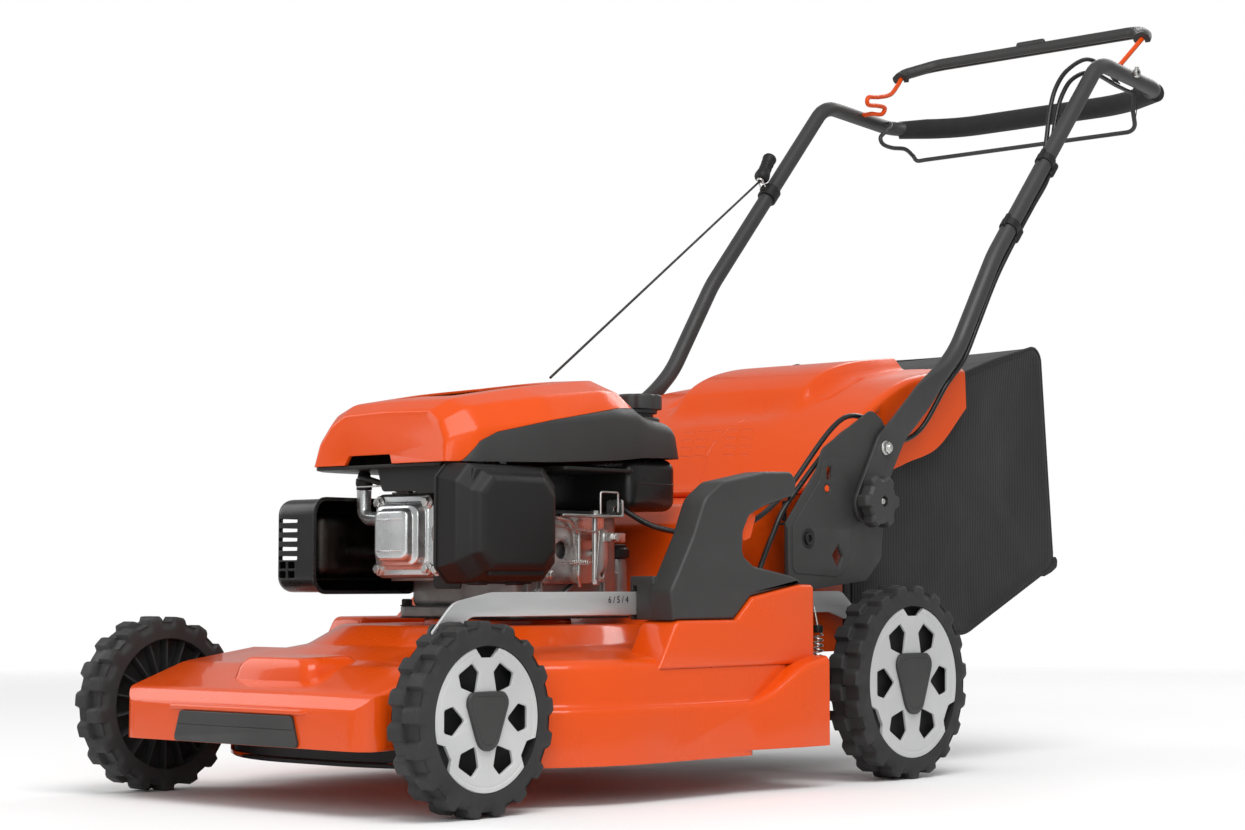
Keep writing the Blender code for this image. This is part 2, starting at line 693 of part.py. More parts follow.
def deck():
    shell = cut(deck_mass(0), deck_mass(SHEET))
    boss = loft([filleted([(x, y, z) for x, y in ((-w, a), (w, a), (w, b), (-w, b))], 0.012, 2)
                 for w, a, b, z in ((0.062, -0.742, -0.660, 0.130), (0.050, -0.733, -0.668, 0.1565))])
    seat = turned([(0, DOME_Z + ENGINE_SEAT), (0.085, DOME_Z + ENGINE_SEAT), (0.085, DOME_Z - 0.001),
                   (0, DOME_Z - 0.001)], ALONG["Z"], Vector((0, ENGINE_Y, 0)), 16)
    ear = slab([strap([(SKIRT_HINGE.y, SKIRT_HINGE.z, 0.007), (DECK_REAR_Y - 0.002, SKIRT_HINGE.z, 0.007)], 8)],
               SKIRT_HALF_WIDTH + GAP, SKIRT_HALF_WIDTH + 0.0055, "X")
    shell = joined(shell, boss, seat, *both_sides(ear))
    crank_hole = rod((0, ENGINE_Y, 0.12), (0, ENGINE_Y, 0.25), 0.042, 14)
    axle_hole = rod(FRONT_PIVOT - ALONG["X"] * 0.22, FRONT_PIVOT + ALONG["X"] * 0.22,
                    AXLE_R + RUNNING_GAP)
    belt_slot = block((-0.045, DECK_REAR_Y - 0.02, 0.114), (0.045, DECK_REAR_Y + 0.02, 0.1395))
    skirt_hole = rod(SKIRT_HINGE - ALONG["X"] * 0.26, SKIRT_HINGE + ALONG["X"] * 0.26,
                     SKIRT_PIN_R + RUNNING_GAP, 10)
    return cut(shell, crank_hole, axle_hole, belt_slot, skirt_hole)


def bumper_insert():
    """The dark trapezium in the middle of the nose."""
    face = APRON_FRONT_Y - GAP
    outline = filleted([(-BUMPER_HALF_WIDTH, APRON_RIM_Z + 0.0005, 0), (BUMPER_HALF_WIDTH, APRON_RIM_Z + 0.0005, 0),
                        (BUMPER_HALF_WIDTH - 0.010, BUMPER_TOP_Z, 0),
                        (-BUMPER_HALF_WIDTH + 0.010, BUMPER_TOP_Z, 0)], 0.003, 2)
    return slab([[point[:2] for point in outline]], face - 0.0035, face, "Y", 0.001)


def trailing_skirt():
    """The rubber sheet that hangs behind the blade chamber."""
    half = SKIRT_HALF_WIDTH
    sheet = block((-half, SKIRT_HINGE.y - 0.002, 0.045), (half, SKIRT_HINGE.y + 0.002, SKIRT_HINGE.z))
    bead = [(0.0045, half), (SKIRT_PIN_R, half), (SKIRT_PIN_R, half + 0.0045)]
    profile = [(0, half + 0.0045), *bead[::-1], *[(r, -x) for r, x in bead], (0, -half - 0.0045)]
    return joined(sheet, turned(profile, ALONG["X"], SKIRT_HINGE, 10))


part(deck(), "deck_shell", ORANGE)
part(bumper_insert(), "front_bumper_insert", DARK)
part(trailing_skirt(), "trailing_skirt", RUBBER, SKIRT_HINGE)


# Blade, belt and gearbox


def crankshaft():
    """The vertical shaft with its belt pulley and the blade's flange and bolt."""
    flange = BLADE_Z + BLADE_SHEET + GAP
    groove = ENGINE_PULLEY_R
    profile = [(0, 0.418), (0.008, 0.418), (0.008, FLYWHEEL_Z - 0.004 - GAP), (CRANK_R, FLYWHEEL_Z - 0.004 - GAP),
               (CRANK_R, BELT_Z + 0.009), (groove + BELT_T, BELT_Z + 0.009),
               (groove - 0.001, BELT_Z + BELT_H / 2 + GAP), (groove - 0.001, BELT_Z - BELT_H / 2 - GAP),
               (groove + BELT_T, BELT_Z - 0.009), (CRANK_R, BELT_Z - 0.009), (CRANK_R, flange + 0.016),
               (0.026, flange + 0.008), (0.026, flange), (0.005, flange), (0.005, BLADE_Z - GAP),
               (0.011, BLADE_Z - GAP), (0.011, BLADE_Z - 0.008), (0, BLADE_Z - 0.008)]
    return turned(profile, ALONG["Z"], Vector((0, ENGINE_Y, 0)), 10)


def blade():
    """A flat bar whose trailing edges turn up into air lifts at both tips."""
    half = BLADE_WIDTH / 2
    sections = []
    for reach, chord, lift in ((-1.0, 0.80, 1), (-0.80, 1.0, 1), (-0.66, 1.0, 0), (0.66, 1.0, 0),
                               (0.80, 1.0, 1), (1.0, 0.80, 1)):
        x = reach * (BLADE_R - 0.001)
        sense = 1 if reach > 0 else -1
        trail = sense * half * chord
        lead = -sense * half * chord
        up = lift * 0.020
        section = [(lead, BLADE_Z + 0.001), (lead * 0.6, BLADE_Z), (trail * 0.35, BLADE_Z),
                   (trail, BLADE_Z + up), (trail, BLADE_Z + BLADE_SHEET + up),
                   (trail * 0.35, BLADE_Z + BLADE_SHEET), (lead * 0.6, BLADE_Z + BLADE_SHEET),
                   (lead, BLADE_Z + 0.002)]
        if reach < 0:
            section = section[3::-1] + section[:3:-1]
        sections.append([Vector((x, ENGINE_Y + y, z)) for y, z in section])
    bar = loft(sections)
    hole = rod((0, ENGINE_Y, BLADE_Z - 0.01), (0, ENGINE_Y, BLADE_Z + 0.02), 0.005 + GAP, 12)
    return cut(bar, hole)


def flywheel():
    """The heavy disc inside the shroud, with its ring of cooling vanes."""
    profile = [(FLYWHEEL_R, 0.012), (FLYWHEEL_R, -0.006), (FLYWHEEL_R - 0.012, -0.004),
               (0.008 + GAP, -0.004), (0.008 + GAP, 0.018), (0.020, 0.018), (0.026, 0.012)]
    centre = Vector((0, ENGINE_Y, FLYWHEEL_Z))
    disc = turned(profile, ALONG["Z"], centre, 10, True)
    vanes = []
    for step in range(FLYWHEEL_VANES):
        vane = block((FLYWHEEL_R - 0.034, -0.0012, 0.010), (FLYWHEEL_R - 0.006, 0.0012, 0.024))
        turn = Matrix.Translation(centre) @ Matrix.Rotation(2 * pi * step / FLYWHEEL_VANES, 4, "Z")
        vane.data.transform(turn @ Matrix.Rotation(radians(25), 4, "Z"))
        vanes.append(vane)
    return joined(disc, *vanes)


def belt_path(engine_r, gearbox_r):
    return strap([(0, ENGINE_Y, engine_r), (0, GEARBOX_INPUT_Y, gearbox_r)], 16)


def drive_belt():
    inner = belt_path(ENGINE_PULLEY_R + GAP, GEARBOX_PULLEY_R + GAP)
    outer = belt_path(ENGINE_PULLEY_R + BELT_T, GEARBOX_PULLEY_R + BELT_T)
    return slab([outer, inner], BELT_Z - BELT_H / 2, BELT_Z + BELT_H / 2, "Z")


def input_pulley():
    centre = Vector((0, GEARBOX_INPUT_Y, BELT_Z))
    groove = GEARBOX_PULLEY_R
    lip = groove + 0.005
    profile = [(0, 0.007), (lip, 0.007), (groove - 0.001, BELT_H / 2 + GAP),
               (groove - 0.001, -BELT_H / 2 - GAP), (lip, -0.006), (0.006, -0.006), (0.006, -0.024),
               (0, -0.024)]
    return turned(profile, ALONG["Z"], centre, 10)


def gearbox():
    """A cast housing round the drive shaft with a lobe for the upright input."""
    barrel = turned([(0, 0.034), (0.020, 0.034), (0.026, 0.026), (0.026, -0.026), (0.020, -0.034),
                     (0, -0.034)], ALONG["X"], REAR_PIVOT, 10)
    collar = turned([(0, 0.052), (0.013, 0.052), (0.013, -0.052), (0, -0.052)], ALONG["X"],
                    REAR_PIVOT, 10)
    lobe = block((-0.030, GEARBOX_INPUT_Y - 0.018, 0.080), (0.030, REAR_PIVOT.y - 0.005, 0.1165))
    body = joined(barrel, collar, lobe)
    bore = rod(REAR_PIVOT - ALONG["X"] * 0.1, REAR_PIVOT + ALONG["X"] * 0.1,
               DRIVE_SHAFT_R + RUNNING_GAP, 14)
    well = rod((0, GEARBOX_INPUT_Y, 0.100), (0, GEARBOX_INPUT_Y, 0.15), 0.006 + RUNNING_GAP, 12)
    return cut(body, bore, well)


ENGINE_AXIS = Vector((0, ENGINE_Y, 0))
part(crankshaft(), "crankshaft", STEEL, ENGINE_AXIS)
part(blade(), "blade", COATED, ENGINE_AXIS)
part(flywheel(), "flywheel", ALLOY, ENGINE_AXIS)
part(drive_belt(), "drive_belt", RUBBER)
part(input_pulley(), "gearbox_pulley", STEEL, Vector((0, GEARBOX_INPUT_Y, BELT_Z)))
part(gearbox(), "gearbox", ALLOY)


# Engine

ENGINE_BASE_Z = DOME_Z + ENGINE_SEAT + GAP
PLATE_TOP_Z = HOOD_RIM_Z - GAP
PLATE_REAR_Y = -0.3128
TANK_LOW_Z = 0.316
TANK_TOP_Z = 0.3775
CYLINDER_HALF = 0.036
FIN_HALF = 0.050
HEAD_HALF = 0.048
CRANKCASE_SIDE_X = 0.085


def engine_block():
    """Crankcase, finned cylinder and head in one casting, with the plate under the shroud."""
    base = ENGINE_BASE_Z
    flange = block((-0.095, -0.475, base), (0.100, -0.270, base + 0.014), 0.004)
    case = block((-0.080, -0.465, base + 0.010), (CRANKCASE_SIDE_X, -0.285, TANK_LOW_Z - GAP), 0.012)
    bearing = turned([(0, PLATE_TOP_Z), (0.040, PLATE_TOP_Z), (0.048, 0.314), (0, 0.314)],
                     ALONG["Z"], ENGINE_AXIS, 16)
    corners = [(-0.1335, -0.530), (-0.127, -0.558), (-0.104, -0.588), (0.094, -0.588), (0.094, -0.430),
               (0.1335, -0.430), (0.1335, PLATE_REAR_Y), (-0.1335, PLATE_REAR_Y)]
    plate = slab([corners], PLATE_TOP_Z - 0.004, PLATE_TOP_Z, "Z")
    cylinder = block((-CYLINDER_HALF, HEAD_Y + 0.010, VALVE_Z - 0.036),
                     (CYLINDER_HALF, -0.440, VALVE_Z + 0.036))
    head = block((-HEAD_HALF, HEAD_Y, VALVE_Z - 0.047), (HEAD_HALF, HEAD_Y + 0.018, VALVE_Z + 0.047), 0.006)
    fins = [block((-FIN_HALF, y, VALVE_Z - 0.050), (FIN_HALF, y + 0.003, VALVE_Z + 0.050))
            for y in (HEAD_Y + 0.027, HEAD_Y + 0.037, HEAD_Y + 0.047, HEAD_Y + 0.057)]
    filler = rod((OIL_NECK.x, OIL_NECK.y, base + 0.012), OIL_NECK, OIL_NECK_R, 12)
    rib = block((OIL_NECK.x - 0.010, -0.295, base + 0.012), (OIL_NECK.x + 0.010, OIL_NECK.y, 0.245))
    block_mass = joined(case, flange, bearing, plate, cylinder, head, *fins, filler, rib)
    bore = rod((0, ENGINE_Y, base - 0.01), (0, ENGINE_Y, HOOD_RIM_Z + 0.01), CRANK_R + RUNNING_GAP, 16)
    dip_hole = rod(OIL_NECK - ALONG["Z"] * 0.040, OIL_NECK + ALONG["Z"] * 0.01, 0.005, 10)
    return cut(block_mass, bore, dip_hole)


def rounded_plate(half_u, half_v, radius, centre, low, high, axis, steps=2):
    corners = [(-half_u, -half_v, 0), (half_u, -half_v, 0), (half_u, half_v, 0), (-half_u, half_v, 0)]
    outline = [(point.x + centre[0], point.y + centre[1]) for point in filleted(corners, radius, steps)]
    return slab([outline], low, high, axis)


def valve_cover():
    """The pressed rocker cover: a flange with four bolts round a raised pillow."""
    seat = HEAD_Y - GAP
    flange = rounded_plate(0.046, 0.044, 0.008, (0, VALVE_Z), seat - 0.004, seat, "Y")
    rings = []
    for half_u, half_v, radius, depth in ((0.036, 0.035, 0.012, 0.003), (0.034, 0.033, 0.012, 0.016),
                                          (0.027, 0.029, 0.010, 0.0175), (0.026, 0.028, 0.010, 0.024),
                                          (0.023, 0.025, 0.009, 0.026)):
        corners = [(-half_u, seat - depth, VALVE_Z - half_v), (half_u, seat - depth, VALVE_Z - half_v),
                   (half_u, seat - depth, VALVE_Z + half_v), (-half_u, seat - depth, VALVE_Z + half_v)]
        rings.append(filleted(corners, radius, 1))
    bolts = [turned([(0, 0.006), (0.004, 0.006), (0.0055, 0.0), (0, 0.0)], -ALONG["Y"],
                    Vector((u * 0.038, seat - 0.0035, VALVE_Z + v * 0.037)), 6)
             for u in (-1, 1) for v in (-1, 1)]
    return joined(flange, loft(rings), *bolts)


MUFFLER_X = (-0.140, -0.100)
GUARD_X = (-0.155, -0.085)
GUARD_Y = (-0.605, -0.445)
GUARD_Z = (0.222, 0.327)
GUARD_WALL = 0.002


def muffler():
    box = block((MUFFLER_X[0], -0.585, 0.238), (MUFFLER_X[1], -0.470, 0.312), 0.012)
    outlet_y = HEAD_Y + 0.009
    pipe_run = rod((MUFFLER_X[1] - 0.004, outlet_y, VALVE_Z - 0.018),
                   (-HEAD_HALF - GAP, outlet_y, VALVE_Z - 0.018), 0.008, 12)
    studs = [rod((MUFFLER_X[0] + 0.002, y, 0.275), (GUARD_X[0] + GUARD_WALL + GAP, y, 0.275), 0.005, 6)
             for y in (-0.560, -0.495)]
    return joined(box, pipe_run, *studs)


def muffler_guard():
    """A pressed cover, open towards the engine, slotted round its front outer edge."""
    (x0, x1), (y0, y1), (z0, z1) = GUARD_X, GUARD_Y, GUARD_Z
    outer = block((x0, y0, z0), (x1 + 0.03, y1, z1), 0.014, 2)
    inner = block((x0 + GUARD_WALL, y0 + GUARD_WALL, z0 + GUARD_WALL),
                  (x1 + 0.04, y1 - GUARD_WALL, z1 - GUARD_WALL), 0.012)
    trim = block((x1, y0 - 0.01, z0 - 0.01), (x1 + 0.05, y1 + 0.01, z1 + 0.01))
    slots = []
    for row in range(5):
        z = z1 - 0.022 - 0.0105 * row
        slots.append(block((x0 - 0.01, y0 - 0.01, z - 0.0045), (x0 + 0.022, y0 + 0.020, z)))
    for z in (z0 + 0.016, z0 + 0.0265):
        for low, high in ((-0.01, 0.010), (0.0125, 0.022)):
            slots.append(block((x0 + low, y0 - 0.01, z), (x0 + high, y0 + 0.020, z + 0.008)))
    shell = cut(outer, inner, trim)
    return cut(shell, *slots)


def air_filter_cover():
    """An eight-sided moulded box with a raised panel on its outer face."""
    rings = []
    mid_y, mid_z = -0.5185, 0.2975
    for half_y, half_z, chamfer, x in ((0.0800, 0.0625, 0.014, 0.0978), (0.0815, 0.0645, 0.016, 0.104),
                                       (0.0780, 0.0630, 0.020, 0.128), (0.0640, 0.0540, 0.020, 0.138),
                                       (0.0590, 0.0500, 0.018, 0.1465), (0.0520, 0.0440, 0.015, 0.150)):
        ring = []
        for u, v in ((-1, -1), (1, -1), (1, 1), (-1, 1)):
            flat = Vector((x, mid_y + u * (half_y - chamfer), mid_z + v * half_z))
            upright = Vector((x, mid_y + u * half_y, mid_z + v * (half_z - chamfer)))
            ring += [upright, flat] if u == v else [flat, upright]
        rings.append(ring)
    return loft(rings)


def carburettor():
    """The barrel between head and air filter, with its float bowl."""
    y, z = HEAD_Y + 0.008, VALVE_Z + 0.002
    start, end = HEAD_HALF + GAP, 0.0978 - GAP
    profile = [(0, end), (0.018, end), (0.018, end - 0.005), (0.013, end - 0.005),
               (0.013, start + 0.005), (0.017, start + 0.005), (0.017, start), (0, start)]
    barrel = turned(profile, ALONG["X"], Vector((0, y, z)), 8)
    bowl = turned([(0, 0.003), (0.014, 0.003), (0.014, -0.026), (0.009, -0.030), (0, -0.030)],
                  ALONG["Z"], Vector((0.073, y, z - 0.010)), 8)
    return joined(barrel, bowl)


def spark_plug_boot():
    """The elbow on the plug and its lead up to the shroud's plate."""
    y, z = HEAD_Y + 0.004, VALVE_Z + 0.020
    turns = [(-HEAD_HALF - GAP, y, z), (-0.0745, y, z), (-0.0745, y, PLATE_TOP_Z - 0.004 - GAP)]
    return pipe(filleted(turns, 0.012, 3, closed=False), 0.008, 2)


def control_bracket():
    """The bent plate on the crankcase that holds the cable's end, with its levers."""
    face = CRANKCASE_SIDE_X + GAP
    plate = slab([[(-0.425, 0.232), (-0.345, 0.232), (-0.322, 0.262), (-0.322, 0.310), (-0.425, 0.310)],
                  circle(-0.395, 0.270, 0.010, 8)], face, face + 0.003, "X")
    shelf = slab([[(-0.425, 0.307), (-0.322, 0.307), (-0.322, 0.310), (-0.425, 0.310)]],
                 face, face + 0.040, "X")
    tab = block((face + 0.020, -0.325, 0.308), (face + 0.040, -0.322, 0.328))
    spindle = rod((face + 0.022, -0.352, 0.236), (face + 0.022, -0.352, 0.3085), 0.0035, 8)
    lever = block((face + 0.0185, -0.360, 0.275), (face + 0.0215, -0.322, 0.292))
    crank = block((face + 0.002, -0.356, 0.236), (face + 0.024, -0.348, 0.242))
    return joined(plate, shelf, tab, spindle, lever, crank)


def hood_ring(y, lean, rim, side, shoulder, crown, wall):
    """One section of the engine hood; lean carries the upper points towards the middle."""
    half = [(rim[0], rim[1]), (side[0], side[1]), (shoulder[0], shoulder[1]), (crown[0], crown[1])]
    ring = []
    for index, (x, z) in enumerate(half):
        drop = 0.05 if index == 0 and wall else 0
        ring.append(Vector((x - wall, y + lean * index / 3, z - (wall if index > 1 else 0) - drop)))
    peak = Vector((0, y + lean, crown[1] + 0.002 - wall))
    return ring + [peak] + [Vector((-point.x, point.y, point.z)) for point in reversed(ring)]


def hood(wall):
    """The engine's whole top moulding, before it is parted into cover and shroud."""
    return loft([
        hood_ring(-0.590 + wall, 0.013, (0.1055, HOOD_RIM_Z), (0.101, 0.388), (0.088, 0.408),
                  (0.070, 0.420), wall),
        hood_ring(-0.560 + wall / 2, 0.006, (0.127, HOOD_RIM_Z), (0.122, 0.398), (0.102, 0.424),
                  (0.078, 0.434), wall),
        hood_ring(-0.450, 0, (0.135, HOOD_RIM_Z + 0.003), (0.134, 0.412), (0.116, 0.440),
                  (0.082, 0.4515), wall),
        hood_ring(-0.340, 0, (0.135, 0.372), (0.134, 0.424), (0.112, 0.4525), (0.072, 0.466), wall),
        hood_ring(-0.303 - wall / 2, 0, (0.135, 0.376), (0.133, 0.424), (0.100, 0.453), (0.060, 0.470),
                  wall),
        hood_ring(-0.286 - wall, 0, (0.1345, 0.377), (0.132, 0.4235), (0.100, 0.4285), (0.058, 0.4300),
                  wall),
        hood_ring(-0.236 - wall / 2, 0, (0.133, 0.378), (0.128, 0.417), (0.100, 0.4215), (0.070, 0.4230),
                  wall),
        hood_ring(-0.222 - wall, -0.002, (0.124, 0.378), (0.119, 0.402), (0.098, 0.4095),
                  (0.070, 0.4110), wall)])


def parting(lift):
    """The space above the line where the orange cover meets the dark shroud."""
    line = [(-0.70, 0.361), (-0.575, 0.3625), (-0.555, 0.385), (-0.53, 0.396), (-0.45, 0.4125),
            (-0.334, 0.432), (-0.29, 0.4345), (-0.20, 0.4345)]
    return slab([[(y, z + lift) for y, z in line] + [(-0.20, 0.60), (-0.70, 0.60)]], -0.2, 0.2, "X")


GRILLE_HALF = 0.058
GRILLE_Y = (-0.522, -0.372)


def engine_cover():
    cover = combined(hood(0), [parting(GAP)], "INTERSECT")
    window = block((-GRILLE_HALF, GRILLE_Y[0], 0.40), (GRILLE_HALF, GRILLE_Y[1], 0.50))
    notch = block((-0.052, -0.62, 0.355), (0.020, -0.57, 0.3735))
    rope_hole = block((-0.029, -0.312, 0.468), (-0.011, -0.270, 0.490))
    return cut(cover, hood(SHEET), window, notch, rope_hole)


def shroud():
    neck = rod(FUEL_NECK - ALONG["Z"] * 0.06, FUEL_NECK + ALONG["Z"] * 0.02, FUEL_NECK_R + GAP, 16)
    return cut(hood(0), parting(0), hood(SHEET), neck)


def cover_grille():
    """The dark louvred panel let into the top of the cover."""
    clearance = 0.0008
    slope = atan2(0.4620 - 0.4410, GRILLE_Y[1] - GRILLE_Y[0])
    half_length = (GRILLE_Y[1] - GRILLE_Y[0]) / 2 / cos(slope) - clearance
    half = GRILLE_HALF - clearance
    outline = [(-half, -half_length), (half, -half_length), (half, half_length), (-half, half_length)]
    slots = []
    for row in range(5):
        v = -half_length + 0.020 + row * 0.026
        for side in (-1, 1):
            slot = [(side * 0.006, v), (side * 0.048, v - 0.006), (side * 0.048, v + 0.004), (side * 0.006, v + 0.010)]
            slots.append(slot)
    panel = slab([outline, *slots], -SHEET, 0, "Z")
    middle = Vector((0, (GRILLE_Y[0] + GRILLE_Y[1]) / 2, 0.4495))
    panel.data.transform(Matrix.Translation(middle) @ Matrix.Rotation(slope, 4, "X"))
    return panel


def fuel_tank():
    """The tank behind the crankcase; its neck comes up through the shroud."""
    body = block((-0.120, PLATE_REAR_Y + GAP, TANK_LOW_Z), (0.126, -0.226, TANK_TOP_Z), 0.010)
    neck = rod((FUEL_NECK.x, FUEL_NECK.y, TANK_TOP_Z - 0.005), FUEL_NECK, FUEL_NECK_R, 16)
    mouth = rod(FUEL_NECK - ALONG["Z"] * 0.030, FUEL_NECK + ALONG["Z"] * 0.01, 0.014, 12)
    return cut(joined(body, neck), mouth)


def fuel_cap():
    """A cap with six finger grips that closes over the neck."""
    z = FUEL_NECK.z + GAP
    grip = []
    for step in range(18):
        angle = 2 * pi * step / 18
        radius = FUEL_CAP_R - 0.0012 * (1 + cos(6 * angle))
        grip.append((FUEL_NECK.x + radius * cos(angle), FUEL_NECK.y + radius * sin(angle)))
    drum = slab([grip], z - 0.0035, z + 0.0145, "Z", 0.002)
    collar = turned([(0, 0), (0.0225, 0), (0.0225, -0.0080), (0, -0.0080)], ALONG["Z"],
                    Vector((FUEL_NECK.x, FUEL_NECK.y, z)), 16)
    recess = rod((FUEL_NECK.x, FUEL_NECK.y, z - 0.02), (FUEL_NECK.x, FUEL_NECK.y, z),
                 (FUEL_NECK_R + GAP) / cos(pi / 16), 16)
    return cut(joined(drum, collar), recess)


def oil_cap():
    """The filler cap with its dipstick in the neck."""
    tail = [(0, 0.016), (0.012, 0.016), (0.016, 0.010), (0.016, GAP), (0.004, GAP), (0.004, -0.036),
            (0, -0.036)]
    return turned(tail, ALONG["Z"], OIL_NECK, 10)


part(engine_block(), "engine_block", ALLOY)
part(valve_cover(), "valve_cover", STEEL)
part(muffler(), "muffler", STEEL)
part(muffler_guard(), "muffler_guard", BLACK)
part(air_filter_cover(), "air_filter_cover", BLACK)
part(carburettor(), "carburettor", ALLOY)
part(spark_plug_boot(), "spark_plug_boot", BLACK)
part(control_bracket(), "control_bracket", STEEL)
part(engine_cover(), "engine_cover", ORANGE)
part(cover_grille(), "cover_grille", BLACK)
part(shroud(), "shroud", DARK)
part(fuel_tank(), "fuel_tank", BLACK)
part(fuel_cap(), "fuel_cap", DARK, FUEL_NECK)
part(oil_cap(), "oil_cap", BLACK, OIL_NECK)


# Rear brackets and height grip


def around(centre, radius, degrees):
    """A point of the mower's side view, measured from straight back towards up."""
    angle = radians(degrees)
    return (centre.y + radius * cos(angle), centre.z + radius * sin(angle))


def handle_bracket():
    """The left plate that carries the handle, the flap's pin and the drive shaft."""
    low, high = BRACKET_X, BRACKET_X + BRACKET_SHEET
    front = TOWER_REAR_Y + GAP
    outline = [(front, 0.098), (front, 0.302), (-0.098, 0.368), (-0.088, 0.392), (0.012, 0.444),
               (0.037, 0.432), (0.045, 0.380), (0.030, 0.262), (0.0, 0.236), (-0.112, 0.2245),
               (-0.112, 0.138), (-0.078, 0.131), (-0.032, 0.134), (-0.022, 0.108), (-0.042, 0.096)]
    radii = [0, 0, 0.012, 0.02, 0.014, 0.014, 0.010, 0.010, 0, 0, 0, 0, 0, 0.010, 0.008]
    outline = filleted([(u, v, 0) for u, v in outline], radii, 1)
    reach = (KNOB_CENTRE - HANDLE_PIVOT).length
    start = 180 + atan2(HANDLE_PIVOT.z - KNOB_CENTRE.z, HANDLE_PIVOT.y - KNOB_CENTRE.y) * 180 / pi
    slot_r = STUD_R + 0.0006
    arc = [start, 256, 278, 300]
    slot = [around(HANDLE_PIVOT, reach + slot_r, angle) for angle in arc]
    slot += [around(HANDLE_PIVOT, reach - slot_r, angle) for angle in reversed(arc)]
    plate = slab([[point[:2] for point in outline],
                  [(-0.079, 0.357), (-0.071, 0.357), (-0.071, 0.371), (-0.079, 0.371)],
                  circle(REAR_PIVOT.y, REAR_PIVOT.z, DRIVE_SHAFT_R + RUNNING_GAP, 12),
                  circle(FLAP_HINGE.y, FLAP_HINGE.z, FLAP_PIN_R + RUNNING_GAP, 10)], low, high, "X")
    flange = block((low, front, 0.110), (low + 0.030, front + 0.003, 0.222))
    washer = rod((high - 0.001, -0.118, 0.285), (high + 0.004, -0.118, 0.285), 0.009)
    bolt = rod(HANDLE_PIVOT + ALONG["X"] * (high - 0.001), HANDLE_PIVOT + ALONG["X"] * (high + 0.014),
               PIVOT_BOLT_R, 10)
    outer = FOOT_X + FOOT_SHEET + GAP
    nut = rod(HANDLE_PIVOT + ALONG["X"] * outer, HANDLE_PIVOT + ALONG["X"] * (outer + 0.006), 0.0085, 6)
    rods = joined(plate, flange, washer, bolt, nut)
    end = rod((low - 0.01, KNOB_CENTRE.y, KNOB_CENTRE.z), (high + 0.01, KNOB_CENTRE.y, KNOB_CENTRE.z),
              slot_r, 10)
    return cut(rods, slab([slot], low - 0.01, high + 0.002, "X"), end)


GRIP_X = (0.238, 0.272)


def height_grip():
    """The hooked grip for lifting the deck, on a foot shaped to the left tower."""
    tower_top = [(-0.186, TOWER_HIGH_Z + GAP), (-0.2725, TOWER_HIGH_Z - 0.014 + GAP),
                 (-0.303, TOWER_LOW_Z + GAP)]
    outline = [(-0.406, TOWER_LOW_Z + GAP), (-0.411, 0.224), (-0.398, 0.243), (-0.372, 0.284),
               (-0.352, 0.326), (-0.322, 0.345), (-0.245, 0.3585), (-0.196, 0.360), (-0.187, 0.349),
               (-0.190, 0.333), (-0.248, 0.3185), (-0.274, 0.308), (-0.285, 0.290), (-0.287, 0.264),
               (-0.266, 0.2515), (-0.200, 0.2415), (-0.181, 0.236), (-0.180, TOWER_HIGH_Z + GAP)]
    radii = [0, 0.008, 0.012, 0.04, 0.03, 0.03, 0.03, 0.010, 0.010, 0.010, 0.02, 0.012, 0.012, 0.012, 0.012,
             0.02, 0.004, 0]
    outline = filleted([(u, v, 0) for u, v in outline], radii, 1)
    body = slab([[point[:2] for point in outline] + tower_top], GRIP_X[0], GRIP_X[1], "X", 0.0045)
    gate = block((LINK_X - 0.006, -0.406, TOWER_LOW_Z + GAP), (GRIP_X[0] + 0.004, -0.386, 0.240), 0.002)
    grip = joined(body, gate)
    bar_top = LINK_Z + LINK_HEIGHT / 2 + LINK_OFFSET.length - LINK_PIN_DZ
    window = block((LINK_X - LINK_GATE_GAP, -0.45, 0.15),
                   (LINK_X + LINK_SHEET + LINK_GATE_GAP, -0.35, bar_top + LINK_GATE_GAP))
    middle = (GRIP_X[0] + GRIP_X[1]) / 2
    pocket = slab([[(-0.300, 0.330), (-0.262, 0.336), (-0.246, 0.300), (-0.300, 0.270)]],
                  middle - 0.0085, middle + 0.0085, "X")
    return cut(grip, window, pocket)


LEVER_PIVOT = Vector((0, -0.2885, 0.3145))


def height_release_lever():
    """The trigger inside the grip's corner."""
    middle = (GRIP_X[0] + GRIP_X[1]) / 2
    outline = filleted([(-0.2975, 0.326, 0), (-0.270, 0.328, 0), (-0.2525, 0.307, 0),
                        (-0.262, 0.283, 0), (-0.276, 0.279, 0), (-0.282, 0.300, 0), (-0.297, 0.306, 0)],
                       [0.004, 0.004, 0.004, 0.004, 0.004, 0.006, 0.004], 1)
    return slab([[point[:2] for point in outline]], middle - 0.0082, middle + 0.0082, "X", 0.001)


SPRING_X = 0.2235
SPRING_WIRE_R = 0.00105
SPRING_BOLT = Vector((SPRING_X, -0.0725, 0.1015))
SPRING_BOLT_R = 0.003


def spring_bolt():
    return rod(SPRING_BOLT - ALONG["X"] * 0.003, (BRACKET_X + 0.001, SPRING_BOLT.y, SPRING_BOLT.z),
               SPRING_BOLT_R, 10)


